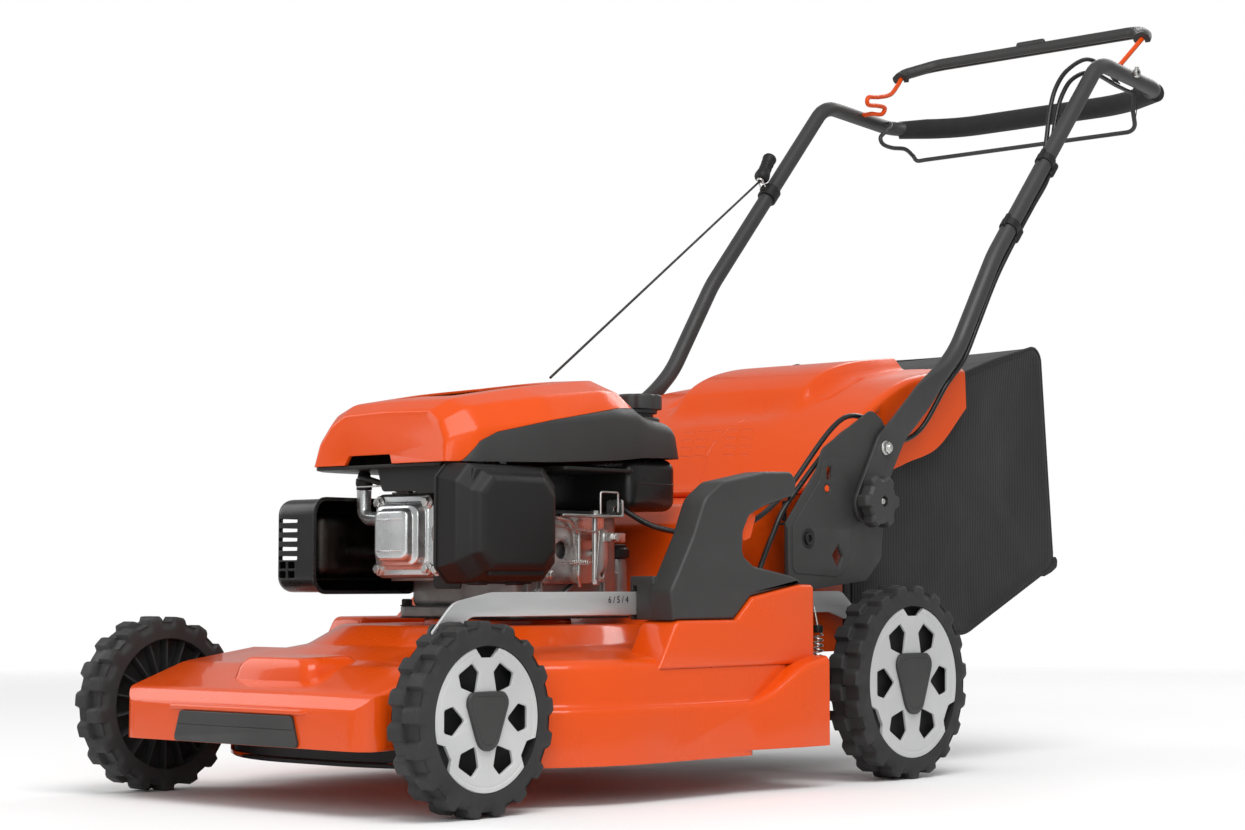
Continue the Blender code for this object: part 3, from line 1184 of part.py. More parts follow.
def counter_spring():
    """The coil that balances the deck, from the link bar down to a bolt on the left bracket."""
    x, y, wire_r = SPRING_X, -0.0845, SPRING_WIRE_R
    low, high, coil_r, curls = 0.134, 0.176, 0.0055, 5
    points = [Vector((LINK_X + LINK_SHEET + GAP + wire_r, y, 0.2045)), Vector((x, y, high + 0.006))]
    steps = curls * 8
    for step in range(steps + 1):
        angle = 2 * pi * step / 8
        points.append(Vector((x + coil_r * cos(angle), y + coil_r * sin(angle),
                              high + (low - high) * step / steps)))
    points += [Vector((x, y + 0.002, low - 0.006)),
               SPRING_BOLT + ALONG["Z"] * (SPRING_BOLT_R + GAP + wire_r)]
    pitch = (high - low) / curls
    print("counter spring: least gap between curls", round((pitch - 2 * wire_r) * 1000, 2), "mm")
    return pipe(points, wire_r, 1)


left_bracket, right_bracket = both_sides(handle_bracket())
part(joined(left_bracket, spring_bolt()), "handle_bracket_left", DARK)
part(right_bracket, "handle_bracket_right", DARK)
part(height_grip(), "height_grip", DARK)
part(height_release_lever(), "height_release_lever", ORANGE, LEVER_PIVOT)
part(counter_spring(), "counter_spring", STEEL)


# Handle


def handle_path():
    half = [(HANDLE_X, 0.098, 0.447), (HANDLE_X, 0.194, 0.530), (HANDLE_X, 0.283, 0.660),
            (HANDLE_X, 0.556, 0.960), (0.2345, 0.728, 0.9475), (0.150, CROSSBAR_Y, CROSSBAR_Z)]
    points = half + [(-x, y, z) for x, y, z in reversed(half)]
    radii = [0, 0, 0, 0.055, 0.045, 0.16, 0.16, 0.045, 0.055, 0, 0, 0]
    return filleted(points, radii, 2, closed=False)


def tube_at(y):
    """The left tube's centre at this y, and the way it runs there."""
    path = handle_path()
    for start, end in zip(path, path[1:]):
        if start.y <= y <= end.y:
            return start + (end - start) * (y - start.y) / (end.y - start.y), (end - start).normalized()


def handle_foot():
    """The flattened end of the left tube, from the clamp knob to the pivot and the tube."""
    outline = strap([(KNOB_CENTRE.y - 0.004, KNOB_CENTRE.z - 0.004, 0.022),
                     (HANDLE_PIVOT.y + 0.002, HANDLE_PIVOT.z, 0.020), (0.112, 0.4585, 0.012)], 14)
    holes = [circle(HANDLE_PIVOT.y, HANDLE_PIVOT.z, PIVOT_BOLT_R + RUNNING_GAP, 10),
             circle(KNOB_CENTRE.y, KNOB_CENTRE.z, STUD_R + RUNNING_GAP, 10)]
    return slab([outline, *holes], FOOT_X, FOOT_X + FOOT_SHEET, "X")


def handle_tube():
    tube = pipe(handle_path(), HANDLE_R, 3)
    tube = joined(tube, *both_sides(handle_foot()))
    holes = []
    for pivot, radius in ((TOP_BAIL_PIVOT, TOP_BAIL_R), (DRIVE_BAIL_PIVOT, DRIVE_BAIL_R)):
        hole = rod(pivot + ALONG["X"] * 0.215, pivot + ALONG["X"] * 0.236, radius + RUNNING_GAP, 8)
        holes += both_sides(hole)
    return cut(tube, *holes)


def foam_grip():
    """The sleeve over the crossbar and its two corners."""
    path = [point for point in handle_path() if point.y > 0.742]
    start = Vector((0.2275, 0.7375, 0.9468))
    path = [start] + path + [Vector((-start.x, start.y, start.z))]
    outer = pipe(path, FOAM_R, 2)
    bore_path = handle_path()
    return cut(outer, pipe(bore_path, HANDLE_R + 0.0006, 3))


def top_bail_path():
    p = TOP_BAIL_PIVOT
    points = [(0.2325, p.y, p.z), (0.2185, p.y, p.z), (0.2085, 0.650, 0.966), (0.2140, 0.728, 1.030),
              (0.180, 0.772, 1.048), (-0.180, 0.772, 1.048), (-0.2140, 0.728, 1.030),
              (-0.204, 0.690, 0.996), (-0.200, 0.622, 0.985), (-0.200, 0.606, 0.968), (-0.200, 0.648, 0.974),
              (-0.204, 0.664, 0.966), (-0.207, p.y, p.z), (-0.2325, p.y, p.z)]
    radii = [0, 0.008, 0.02, 0.012, 0.02, 0.02, 0.012, 0.02, 0.010, 0.006, 0.008, 0.006, 0.006, 0]
    return filleted(points, radii, 1, closed=False)


def top_bail():
    """The orange bail: straight on the left and cranked on the right, as on its spring side."""
    return pipe(top_bail_path(), TOP_BAIL_R, 1)


def drive_bail():
    """The black bail under the crossbar, cranked on the right."""
    p = DRIVE_BAIL_PIVOT
    points = [(0.2325, p.y, p.z), (0.216, p.y, p.z), (0.210, p.y + 0.004, 0.918), (0.200, 0.725, 0.8915),
              (-0.186, 0.725, 0.8915), (-0.195, 0.748, 0.905), (-0.200, 0.722, 0.916),
              (-0.205, 0.690, 0.912), (-0.207, 0.682, 0.926), (-0.208, p.y, 0.946), (-0.214, p.y, p.z),
              (-0.2325, p.y, p.z)]
    radii = [0, 0.008, 0.015, 0.012, 0.012, 0.008, 0.008, 0.006, 0.008, 0.005, 0.003, 0]
    return pipe(filleted(points, radii, 1, closed=False), DRIVE_BAIL_R, 1)


def swept(path, section):
    """A closed body with one section all along a path; the section is (aside, up)."""
    rings = []
    for index, place in enumerate(path):
        before, after = path[max(index - 1, 0)], path[min(index + 1, len(path) - 1)]
        run = (after - before).normalized()
        aside = ALONG["Z"].cross(run).normalized()
        rise = run.cross(aside)
        rings.append([place + aside * u + rise * v for u, v in section])
    return loft(rings)


def bail_grip():
    """The half-round moulding on the top bail, with a thumb pad near its middle."""
    path = [point for point in top_bail_path() if point.z > 1.031]
    bed = TOP_BAIL_R + 0.0006
    section = [(-0.0105, -0.0035), (-0.0120, 0.002), (-0.0075, 0.0085), (0.0, 0.0105), (0.0075, 0.0085),
               (0.0120, 0.002), (0.0105, -0.0035), (bed, -0.0035), (bed, bed), (-bed, bed),
               (-bed, -0.0035)]
    pad = block((-0.030, 0.764, 1.053), (0.024, 0.777, 1.0625), 0.002)
    return joined(swept(path, section), pad)


ROPE_EXIT = Vector((-0.020, -0.2905, 0.4785))
ROPE_GUIDE = Vector((-0.240, 0.398, 0.826))
GRIP_AXIS = Vector((0, 0.5355, 0.8445)).normalized()


def rope_guide():
    """The clamp on the right tube with the wire eye that the starter rope runs through."""
    seat, along = tube_at(0.417)
    seat = Vector((-seat.x, seat.y, seat.z))
    collar = rod(seat - along * 0.010, seat + along * 0.010, HANDLE_R + 0.0035)
    bore = rod(seat - along * 0.02, seat + along * 0.02, CLIP_BORE_R)
    across = ALONG["X"].cross(GRIP_AXIS)
    stem = rod(seat + across * 0.0130, ROPE_GUIDE - across * 0.0047, 0.0016, 6)
    eye = turned([(0.0062, 0.0018), (0.0062, -0.0018), (0.0032, -0.0018), (0.0032, 0.0018)],
                 GRIP_AXIS, ROPE_GUIDE, 10, True)
    return joined(cut(collar, bore), stem, eye)


def starter_grip():
    """A tapered handle that rests against the guide's eye."""
    seat = ROPE_GUIDE + GRIP_AXIS * (0.0018 + GAP)
    profile = [(0, 0.045), (0.007, 0.045), (0.0105, 0.040), (0.0085, 0.024), (0.0115, 0.006), (0.0095, 0),
               (0.0042, 0), (0.0042, 0.012), (0, 0.012)]
    return turned(profile, GRIP_AXIS, seat, 10)


def starter_rope():
    route = [ROPE_EXIT, ROPE_EXIT.lerp(ROPE_GUIDE, 0.5), ROPE_GUIDE, ROPE_GUIDE + GRIP_AXIS * 0.010]
    return pipe(filleted(route, 0.006, 3, closed=False), ROPE_R, 2)


KNOB_LOBES = 6


def clamp_knob():
    """The lobed knob and its stud through the foot and the bracket's slot."""
    low = FOOT_X + FOOT_SHEET + GAP
    rim = []
    for step in range(3 * KNOB_LOBES):
        angle = 2 * pi * step / (3 * KNOB_LOBES)
        rim.append(around(KNOB_CENTRE, 0.0262 + 0.0033 * cos(KNOB_LOBES * angle), angle * 180 / pi))
    head = slab([rim], low + 0.006, low + 0.024, "X", 0.003)
    hub = rod((low, KNOB_CENTRE.y, KNOB_CENTRE.z), (low + 0.008, KNOB_CENTRE.y, KNOB_CENTRE.z), 0.014)
    stud = rod((BRACKET_X - 0.006, KNOB_CENTRE.y, KNOB_CENTRE.z), (low + 0.004, KNOB_CENTRE.y, KNOB_CENTRE.z),
               STUD_R, 10)
    return joined(head, hub, stud)


CLIP_Y = (0.412, 0.322)
CABLE_GAP = 0.0042
CABLE_MEET_Y = 0.160


def behind_tube(y, aside, clear=0.0008):
    """A place for a cable on the rear of the left tube."""
    place, run = tube_at(y)
    out = run.cross(ALONG["X"]).normalized()
    return place + out * (HANDLE_R + CABLE_R + clear) + ALONG["X"] * aside


def upper_cables():
    """The brake and drive cables on the handle, held to the left tube by two clips."""
    tops = (((0.2140, 0.655, 0.940), (0.2200, 0.585, 0.925)), ((0.2245, 0.690, 0.922), (0.2320, 0.610, 0.905)))
    places = (0.505, 0.412, 0.322, 0.270)
    pieces = []
    for aside, top in zip((-CABLE_GAP, CABLE_GAP), tops):
        route = [*top, *[behind_tube(y, aside) for y in places],
                 behind_tube(0.1930, aside, 0.0028), behind_tube(CABLE_MEET_Y, aside)]
        pieces.append(pipe(route, CABLE_R, 2))
    for y in CLIP_Y:
        clip, along = tube_at(y)
        out = along.cross(ALONG["X"]).normalized() * 0.0165
        collar = rod(clip - along * 0.014, clip + along * 0.014, HANDLE_R + 0.0035)
        bore = rod(clip - along * 0.020, clip + along * 0.020, CLIP_BORE_R)
        saddle = rod(clip - along * 0.011 + out, clip + along * 0.011 + out, 0.0100, 8)
        relief = rod(clip - along * 0.020, clip + along * 0.020, CLIP_BORE_R + 0.0013)
        pieces.append(joined(cut(collar, bore), cut(saddle, relief)))
    return joined(*pieces)


def lower_cable(start, route, end):
    return pipe([start, *smooth_path(route, 2), end], CABLE_R, 2)


def brake_cable():
    """From the handle's foot over the bracket and past the grip to the engine's lever."""
    tab_y = -0.322 + GAP
    start = behind_tube(CABLE_MEET_Y - 0.0006, -CABLE_GAP)
    run = behind_tube(CABLE_MEET_Y - 0.0070, -CABLE_GAP)
    return lower_cable(start, [run, (0.2270, 0.122, 0.440), (0.2225, 0.068, 0.424),
                               (0.2225, -0.030, 0.432), (0.2225, -0.142, 0.342), (0.2160, -0.205, 0.302),
                               (0.2040, -0.268, 0.288), (0.1560, -0.300, 0.296),
                               (0.1155, tab_y + 0.008, 0.317)], (0.1155, tab_y, 0.317))


def drive_cable():
    """From the handle's foot down in front of the bracket to the slot in the deck."""
    start = behind_tube(CABLE_MEET_Y - 0.0006, CABLE_GAP)
    run = behind_tube(CABLE_MEET_Y - 0.0070, CABLE_GAP)
    return lower_cable(start, [run, (0.2290, 0.122, 0.424), (0.2225, 0.070, 0.4085),
                               (0.2225, -0.020, 0.418), (0.2225, -0.134, 0.333), (0.2225, -0.172, 0.286),
                               (0.2280, -0.208, 0.238)], (0.2290, -0.2140, 0.2295))


part(handle_tube(), "handle_tube", COATED, HANDLE_PIVOT)
part(foam_grip(), "foam_grip", RUBBER, HANDLE_PIVOT)
part(top_bail(), "brake_bail", ORANGE, TOP_BAIL_PIVOT)
part(bail_grip(), "brake_bail_grip", DARK, TOP_BAIL_PIVOT)
part(drive_bail(), "drive_bail", COATED, DRIVE_BAIL_PIVOT)
part(rope_guide(), "rope_guide", BLACK, HANDLE_PIVOT)
part(starter_grip(), "starter_grip", BLACK, ROPE_GUIDE)
part(starter_rope(), "starter_rope", BLACK)
for side, obj in zip(("left", "right"), both_sides(clamp_knob())):
    part(obj, f"clamp_knob_{side}", DARK, Vector((obj.data.vertices[0].co.x, KNOB_CENTRE.y, KNOB_CENTRE.z)))
part(upper_cables(), "handle_cables", BLACK, HANDLE_PIVOT)
part(brake_cable(), "brake_cable", BLACK)
part(drive_cable(), "drive_cable", BLACK)


# Rear flap and grass catcher

FLAP_SIDE_X = 0.2135


def flap_profile(share):
    """How the flap's top runs from its hinge to its tail at one place across."""
    side = [(-0.0745, 0.3490), (-0.058, 0.3620), (-0.028, 0.3960), (0.006, 0.4250), (0.060, 0.4620),
            (0.120, 0.4880), (0.180, 0.5010), (0.250, 0.5120)]
    crown = [(-0.0745, 0.3490), (-0.058, 0.3640), (-0.028, 0.4020), (0.006, 0.4380), (0.050, 0.4760),
             (0.096, 0.5030), (0.160, 0.5200), (0.250, 0.5310)]
    return [(a[0] + (b[0] - a[0]) * share, a[1] + (b[1] - a[1]) * share) for a, b in zip(side, crown)]


def rear_flap():
    """The sprung lid over the catcher's mouth: a crowned sheet between two cheeks."""
    cheek = [(-0.070, 0.3430), (-0.050, 0.3440), (-0.022, 0.3460), (0.010, 0.3520), (0.066, 0.3680),
             (0.118, 0.3840), (0.186, 0.4060), (0.252, 0.4600)]
    columns = [(FLAP_SIDE_X, cheek), (FLAP_SIDE_X, [(y, z - 0.008) for y, z in flap_profile(0)]),
               (FLAP_SIDE_X - 0.010, flap_profile(0)), (0.125, flap_profile(0.15)), (0.098, flap_profile(1))]
    columns += [(-x, line) for x, line in reversed(columns)]
    form = bmesh.new()
    grid = [[form.verts.new((x, y, z)) for y, z in line] for x, line in columns]
    for line, beside in zip(grid, grid[1:]):
        for index in range(len(line) - 1):
            form.faces.new((line[index], line[index + 1], beside[index + 1], beside[index]))
    bmesh.ops.recalc_face_normals(form, faces=form.faces)
    if sum(face.normal.z for face in form.faces) < 0:
        bmesh.ops.reverse_faces(form, faces=form.faces)
    sheet = placed(form)
    thick = sheet.modifiers.new("wall", "SOLIDIFY")
    thick.thickness = SHEET
    thick.offset = -1
    lid = settled(sheet)
    bracket_out = BRACKET_X + BRACKET_SHEET + 0.001
    barrel = [(FLAP_PIN_R, bracket_out), (FLAP_PIN_R, FLAP_SIDE_X), (0.0058, FLAP_SIDE_X)]
    profile = [(0, bracket_out), *barrel, *[(r, -x) for r, x in reversed(barrel)], (0, -bracket_out)]
    return joined(lid, turned(profile, ALONG["X"], FLAP_HINGE, 10))


def bag_profile(inset):
    front = BAG_FRONT_Y - (0.02 if inset else 0)
    return [(front, 0.172 + inset), (0.264, 0.166 + inset), (0.482 - inset, 0.256 + inset / 2),
            (0.4535 - inset, 0.558 - inset), (0.340, 0.5300 - inset), (0.223, 0.4950 - inset),
            (0.150, 0.4660 - inset), (front, 0.3860 - inset)]


def catcher_bag():
    """The fabric box, open at the front, with crowned sides and a tab at its low corner."""
    bodies = []
    for inset in (0, BAG_WALL):
        half = BAG_HALF_WIDTH - inset
        rings = []
        for x, shrink in ((-half, 0.016), (-half + 0.012, 0.0), (0.0, -0.004 if inset == 0 else -0.003),
                          (half - 0.012, 0.0), (half, 0.016)):
            ring = []
            for y, z in bag_profile(inset):
                inward = 1 if y > 0.1 else 0
                lift = shrink if z > 0.35 else -shrink
                ring.append(Vector((x, y - shrink * inward * 0.6, z - lift * 0.8)))
            rings.append(ring)
        bodies.append(loft(rings))
    return cut(bodies[0], bodies[1])


def catcher_frame():
    """The stiff frame round the catcher's mouth."""
    front, rear = CHUTE_REAR_Y + GAP, BAG_FRONT_Y - GAP
    half, low, high = 0.201, 0.173, 0.385
    outer = [(-half, low), (half, low), (half, high), (-half, high)]
    inner = [(-half + 0.012, low + 0.012), (half - 0.012, low + 0.012), (half - 0.012, high - 0.050),
             (-half + 0.012, high - 0.050)]
    return slab([outer, inner], front, rear, "Y")


part(rear_flap(), "rear_flap", ORANGE, FLAP_HINGE)
part(catcher_bag(), "catcher_bag", FABRIC)
part(catcher_frame(), "catcher_frame", BLACK)

bpy.data.collections.remove(WORKSHOP)
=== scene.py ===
"""The looks of the lawn mower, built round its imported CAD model."""

from math import atan2, copysign, cos, hypot, pi, radians, sin, sqrt, tan

import bmesh
import bpy
from mathutils import Matrix, Vector, noise


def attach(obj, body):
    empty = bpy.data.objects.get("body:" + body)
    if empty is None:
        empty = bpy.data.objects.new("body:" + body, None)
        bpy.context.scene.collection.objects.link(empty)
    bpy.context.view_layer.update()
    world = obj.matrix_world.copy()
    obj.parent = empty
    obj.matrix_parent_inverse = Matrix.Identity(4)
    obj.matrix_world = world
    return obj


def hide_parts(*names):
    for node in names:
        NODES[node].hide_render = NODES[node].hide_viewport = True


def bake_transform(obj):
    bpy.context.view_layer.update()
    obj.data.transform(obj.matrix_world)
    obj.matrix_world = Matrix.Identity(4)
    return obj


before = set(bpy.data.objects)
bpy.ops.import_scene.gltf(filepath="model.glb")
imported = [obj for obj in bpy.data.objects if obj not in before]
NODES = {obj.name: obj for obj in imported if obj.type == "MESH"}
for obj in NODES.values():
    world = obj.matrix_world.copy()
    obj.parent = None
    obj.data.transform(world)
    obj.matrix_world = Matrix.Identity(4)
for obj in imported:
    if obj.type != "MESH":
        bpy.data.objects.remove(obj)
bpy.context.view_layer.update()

ORIGIN = Vector((0, 0, 0))
X, Y, Z = Vector((1, 0, 0)), Vector((0, 1, 0)), Vector((0, 0, 1))
ALONG = {"X": X, "Y": Y, "Z": Z}
GAP = 0.0003
ROOM = bpy.context.scene.collection


# Camera, light and floor

# Solved from the photograph, with the rear wheel taken as 230 mm across.
LENS_MM, SENSOR_MM = 71.29, 36
CAMERA_PLACE, CAMERA_DEGREES = (1.994, -2.445, 0.231), (93.93, 0, 41.389)
# The backdrop is white paper; what reaches the object from it is dimmer than the lamps.
LIGHT_ON_OBJECT, LIGHT_TO_CAMERA = 0.42, 1.0

camera = bpy.data.objects.new("camera", bpy.data.cameras.new("camera"))
camera.data.lens = LENS_MM
camera.data.sensor_width = SENSOR_MM
camera.location = CAMERA_PLACE
camera.rotation_euler = [radians(angle) for angle in CAMERA_DEGREES]
ROOM.objects.link(camera)
bpy.context.scene.camera = camera
bpy.context.scene.view_settings.view_transform = "Standard"

# Each lamp: its name, its place, the point that it faces, its size and its power in watts.
for name, place, target, size, power in (
        ("key", (1.6, -1.2, 3.2), (0, -0.2, 0.3), (2.4, 1.8), 76),
        ("front", (2.6, -3.4, 1.5), (0, -0.3, 0.3), (2.2, 1.6), 36),
        ("side", (-3.0, -1.6, 1.9), (0, -0.2, 0.4), (2.2, 2.2), 33),
        ("rear", (-0.6, 3.2, 2.4), (0, 0.2, 0.5), (2.6, 1.4), 42)):
    light = bpy.data.lights.new(name, "AREA")
    light.shape = "RECTANGLE"
    light.size, light.size_y = size
    light.energy = power
    lamp = bpy.data.objects.new(name, light)
    lamp.location = place
    lamp.rotation_euler = (Vector(target) - Vector(place)).to_track_quat("-Z", "Y").to_euler()
    ROOM.objects.link(lamp)

world = bpy.data.worlds.new("studio")
world.use_nodes = True
sky = world.node_tree.nodes["Background"]
sky.inputs["Color"].default_value = (1, 1, 1, 1)
seen = world.node_tree.nodes.new("ShaderNodeLightPath")
level = world.node_tree.nodes.new("ShaderNodeMapRange")
level.inputs["To Min"].default_value = LIGHT_ON_OBJECT
level.inputs["To Max"].default_value = LIGHT_TO_CAMERA
world.node_tree.links.new(seen.outputs["Is Camera Ray"], level.inputs["Value"])
world.node_tree.links.new(level.outputs["Result"], sky.inputs["Strength"])
bpy.context.scene.world = world


# Materials

FLOOR_SIZE, FADE_START, FADE_END = 9, 1.7, 4.0
WORN_WIDTH = 0.0012


class Finish:
    """A Principled material whose colour, roughness and bump come from procedural textures."""

    def __init__(self, name, colour, roughness, metallic=0.0, edge=0.0008):
        self.material = bpy.data.materials.new(name)
        self.material.use_nodes = True
        self.material.diffuse_color = (*colour, 1)
        self.tree = self.material.node_tree
        self.shader = self.tree.nodes["Principled BSDF"]
        self.set("Base Color", (*colour, 1))
        self.set("Roughness", roughness)
        self.set("Metallic", metallic)
        self.colour, self.roughness = colour, roughness
        self.place = self.add("ShaderNodeTexCoord").outputs["Object"]
        self.normal = None
        if edge:
            self.normal = self.rounded(edge)
            self.join(self.normal, self.shader.inputs["Normal"])

    def add(self, kind):
        return self.tree.nodes.new(kind)

    def join(self, source, target):
        self.tree.links.new(source, target)

    def set(self, name, value):
        self.shader.inputs[name].default_value = value
        return self

    def rounded(self, radius):
        bevel = self.add("ShaderNodeBevel")
        bevel.samples = 4
        bevel.inputs["Radius"].default_value = radius
        return bevel.outputs["Normal"]

    def tinted(self, factor):
        """A colour mix by this factor that leads to the base colour."""
        mix = self.add("ShaderNodeMix")
        mix.data_type = "RGBA"
        self.join(factor, mix.inputs["Factor"])
        self.join(mix.outputs["Result"], self.shader.inputs["Base Color"])
        return mix

    def noise(self, scale, detail=3.0, stretch=(1, 1, 1)):
        mapping = self.add("ShaderNodeMapping")
        mapping.inputs["Scale"].default_value = stretch
        self.join(self.place, mapping.inputs["Vector"])
        texture = self.add("ShaderNodeTexNoise")
        texture.inputs["Scale"].default_value = scale
        texture.inputs["Detail"].default_value = detail
        self.join(mapping.outputs["Vector"], texture.inputs["Vector"])
        return texture.outputs["Fac"]

    def cells(self, scale):
        texture = self.add("ShaderNodeTexVoronoi")
        texture.inputs["Scale"].default_value = scale
        self.join(self.place, texture.inputs["Vector"])
        return texture.outputs["Distance"]

    def spread(self, value, low, high, start=0.3, stop=0.7):
        ramp = self.add("ShaderNodeMapRange")
        for name, number in (("From Min", start), ("From Max", stop), ("To Min", low), ("To Max", high)):
            ramp.inputs[name].default_value = number
        self.join(value, ramp.inputs["Value"])
        return ramp.outputs["Result"]

    def mottled(self, scale, share, detail=4.0, stretch=(1, 1, 1)):
        """The colour wanders a little, lighter and darker, over patches of this scale."""
        mix = self.tinted(self.spread(self.noise(scale, detail, stretch), 0, 1))
        mix.inputs["A"].default_value = (*[c * (1 - share) for c in self.colour], 1)
        mix.inputs["B"].default_value = (*[min(c * (1 + share), 1) for c in self.colour], 1)
        self.tint = mix.outputs["Result"]
        return self

    def smudged(self, scale, share, stretch=(1, 1, 1)):
        """The roughness wanders by this share."""
        low, high = self.roughness * (1 - share), min(self.roughness * (1 + share), 1)
        self.join(self.spread(self.noise(scale, 3.0, stretch), low, high), self.shader.inputs["Roughness"])
        return self

    def bumped(self, height, depth, strength=1.0):
        bump = self.add("ShaderNodeBump")
        bump.inputs["Distance"].default_value = depth
        bump.inputs["Strength"].default_value = strength
        self.join(height, bump.inputs["Height"])
        if self.normal:
            self.join(self.normal, bump.inputs["Normal"])
        self.normal = bump.outputs["Normal"]
        self.join(self.normal, self.shader.inputs["Normal"])
        return self

    def worn(self, colour, share):
        """Edges are a little lighter, where hands and handling polish them."""
        compare = self.add("ShaderNodeVectorMath")
        compare.operation = "DOT_PRODUCT"
        self.join(self.rounded(WORN_WIDTH), compare.inputs[0])
        self.join(self.add("ShaderNodeNewGeometry").outputs["Normal"], compare.inputs[1])
        mix = self.tinted(self.spread(compare.outputs["Value"], share, 0.0, 0.8, 0.985))
        mix.inputs["B"].default_value = (*colour, 1)
        self.join(self.tint, mix.inputs["A"])
        return self

    def ribbed(self, scale, depth):
        """Upright ribs on every wall: bands along Y on the sides and along X on the rear."""
        split = self.add("ShaderNodeSeparateXYZ")
        self.join(self.add("ShaderNodeNewGeometry").outputs["True Normal"], split.inputs[0])
        sideways = self.add("ShaderNodeMath")
        sideways.operation = "ABSOLUTE"
        self.join(split.outputs["X"], sideways.inputs[0])
        mix = self.add("ShaderNodeMix")
        self.join(self.spread(sideways.outputs["Value"], 0, 1, 0.6, 0.65), mix.inputs["Factor"])
        for direction, socket in (("X", "A"), ("Y", "B")):
            wave = self.add("ShaderNodeTexWave")
            wave.bands_direction = direction
            wave.inputs["Scale"].default_value = scale
            wave.inputs["Distortion"].default_value = 0.3
            self.join(self.place, wave.inputs["Vector"])
            self.join(wave.outputs["Fac"], mix.inputs[socket])
        return self.bumped(mix.outputs["Result"], depth)


def orange(name, roughness, coat):
    finish = Finish(name, (0.74, 0.076, 0.0035), roughness, edge=0.0014)
    finish.mottled(3.5, 0.035).smudged(14, 0.18)
    finish.worn((0.88, 0.15, 0.03), 0.3)
    finish.bumped(finish.noise(420, 1.0), 0.00004)
    finish.set("Coat Weight", coat).set("Coat Roughness", 0.07).set("Coat IOR", 1.5)
    return finish.set("Specular IOR Level", 0.2).material


def moulding(name, colour, roughness, grain=0.0001, scale=1500, edge=0.0008, gloss=0.4):
    finish = Finish(name, colour, roughness, edge=edge)
    finish.mottled(9, 0.1).smudged(22, 0.16)
    if edge:
        finish.worn(tuple(min(c * 1.9 + 0.01, 1) for c in colour), 0.45)
    finish.bumped(finish.cells(scale), grain)
    return finish.set("Specular IOR Level", gloss).material


def tyre():
    finish = Finish("tyre", (0.026, 0.026, 0.0265), 0.62, edge=0.0012)
    finish.mottled(16, 0.22).smudged(30, 0.2)
    finish.worn((0.06, 0.06, 0.06), 0.5)
    finish.bumped(finish.noise(900, 4.0), 0.00012)
    return finish.set("Specular IOR Level", 0.35).material


def foam():
    finish = Finish("foam", (0.011, 0.011, 0.0115), 0.86, edge=0)
    finish.mottled(60, 0.2)
    finish.bumped(finish.cells(700), 0.00035)
    return finish.set("Sheen Weight", 0.06).material


def metal(name, colour, roughness, scale, stretch, share=0.12, bump=0.00003, metallic=1.0):
    finish = Finish(name, colour, roughness, metallic, edge=0.0006)
    finish.mottled(scale, share, 6.0, stretch).smudged(scale, 0.3, stretch)
    finish.worn(tuple(min(c * 1.3, 1) for c in colour), 0.5)
    finish.bumped(finish.noise(scale * 6, 3.0, stretch), bump)
    return finish.material


def casting():
    finish = Finish("casting", (0.33, 0.33, 0.32), 0.48, 0.9, edge=0.0012)
    finish.mottled(30, 0.22).smudged(45, 0.28)
    finish.worn((0.62, 0.62, 0.6), 0.5)
    finish.bumped(finish.noise(620, 5.0), 0.0003)
    return finish.material


def cloth():
    finish = Finish("bag_cloth", (0.021, 0.021, 0.0215), 0.82, edge=0)
    finish.mottled(7, 0.16).smudged(18, 0.08)
    finish.ribbed(52, 0.0003)
    finish.bumped(finish.noise(26, 4.0), 0.001, 0.3)
    finish.set("Sheen Weight", 0.06).set("Sheen Roughness", 0.5)
    return finish.set("Specular IOR Level", 0.3).material


def floor_finish():
    """Pale paper that fades into the backdrop far from the object."""
    finish = Finish("floor", (0.98, 0.98, 0.98), 0.65, edge=0)
    finish.set("Specular IOR Level", 0.2)
    distance = finish.add("ShaderNodeVectorMath")
    distance.operation = "LENGTH"
    finish.join(finish.place, distance.inputs[0])
    clear = finish.add("ShaderNodeBsdfTransparent")
    mix = finish.add("ShaderNodeMixShader")
    finish.join(finish.spread(distance.outputs["Value"], 0, 1, FADE_START, FADE_END), mix.inputs["Fac"])
    finish.join(finish.shader.outputs["BSDF"], mix.inputs[1])
    finish.join(clear.outputs["BSDF"], mix.inputs[2])
    finish.join(mix.outputs["Shader"], finish.tree.nodes["Material Output"].inputs["Surface"])
    return finish.material


ENAMEL = orange("orange_enamel", 0.3, 0.5)
GLOSS = orange("orange_moulding", 0.33, 0.22)
DARK = moulding("dark_moulding", (0.036, 0.036, 0.0355), 0.5)
BLACK = moulding("black_moulding", (0.013, 0.013, 0.013), 0.46, gloss=0.3)
SATIN = moulding("black_satin", (0.012, 0.012, 0.012), 0.3, 0.00003)
GREY = moulding("light_grey_moulding", (0.52, 0.525, 0.525), 0.42, 0.00004, edge=0.001)
COAT = moulding("black_coat", (0.03, 0.03, 0.031), 0.42, 0.00008, 2200)
TUBE = moulding("tube_coat", (0.04, 0.04, 0.04), 0.44, 0.00002, 1400, 0)
ROPE = moulding("rope", (0.014, 0.014, 0.014), 0.6, 0.00001, 900, 0)
TYRE = tyre()
FOAM = foam()
RUBBER = moulding("rubber_sheet", (0.02, 0.02, 0.02), 0.74, 0.0002, 600)
ZINC = metal("zinc", (0.66, 0.66, 0.64), 0.33, 60, (1, 1, 1), 0.1)
BAR = metal("bar_steel", (0.62, 0.63, 0.63), 0.46, 26, (1, 0.25, 1.6), 0.06, 0.00002, 0.75)
PRESSED = metal("pressed_zinc", (0.7, 0.73, 0.73), 0.3, 34, (1, 1, 1), 0.08, 0.00003, 0.85)
HOT = metal("heated_steel", (0.05, 0.046, 0.042), 0.42, 40, (1, 1, 1), 0.25, 0.0001)
CAST = casting()
CLOTH = cloth()

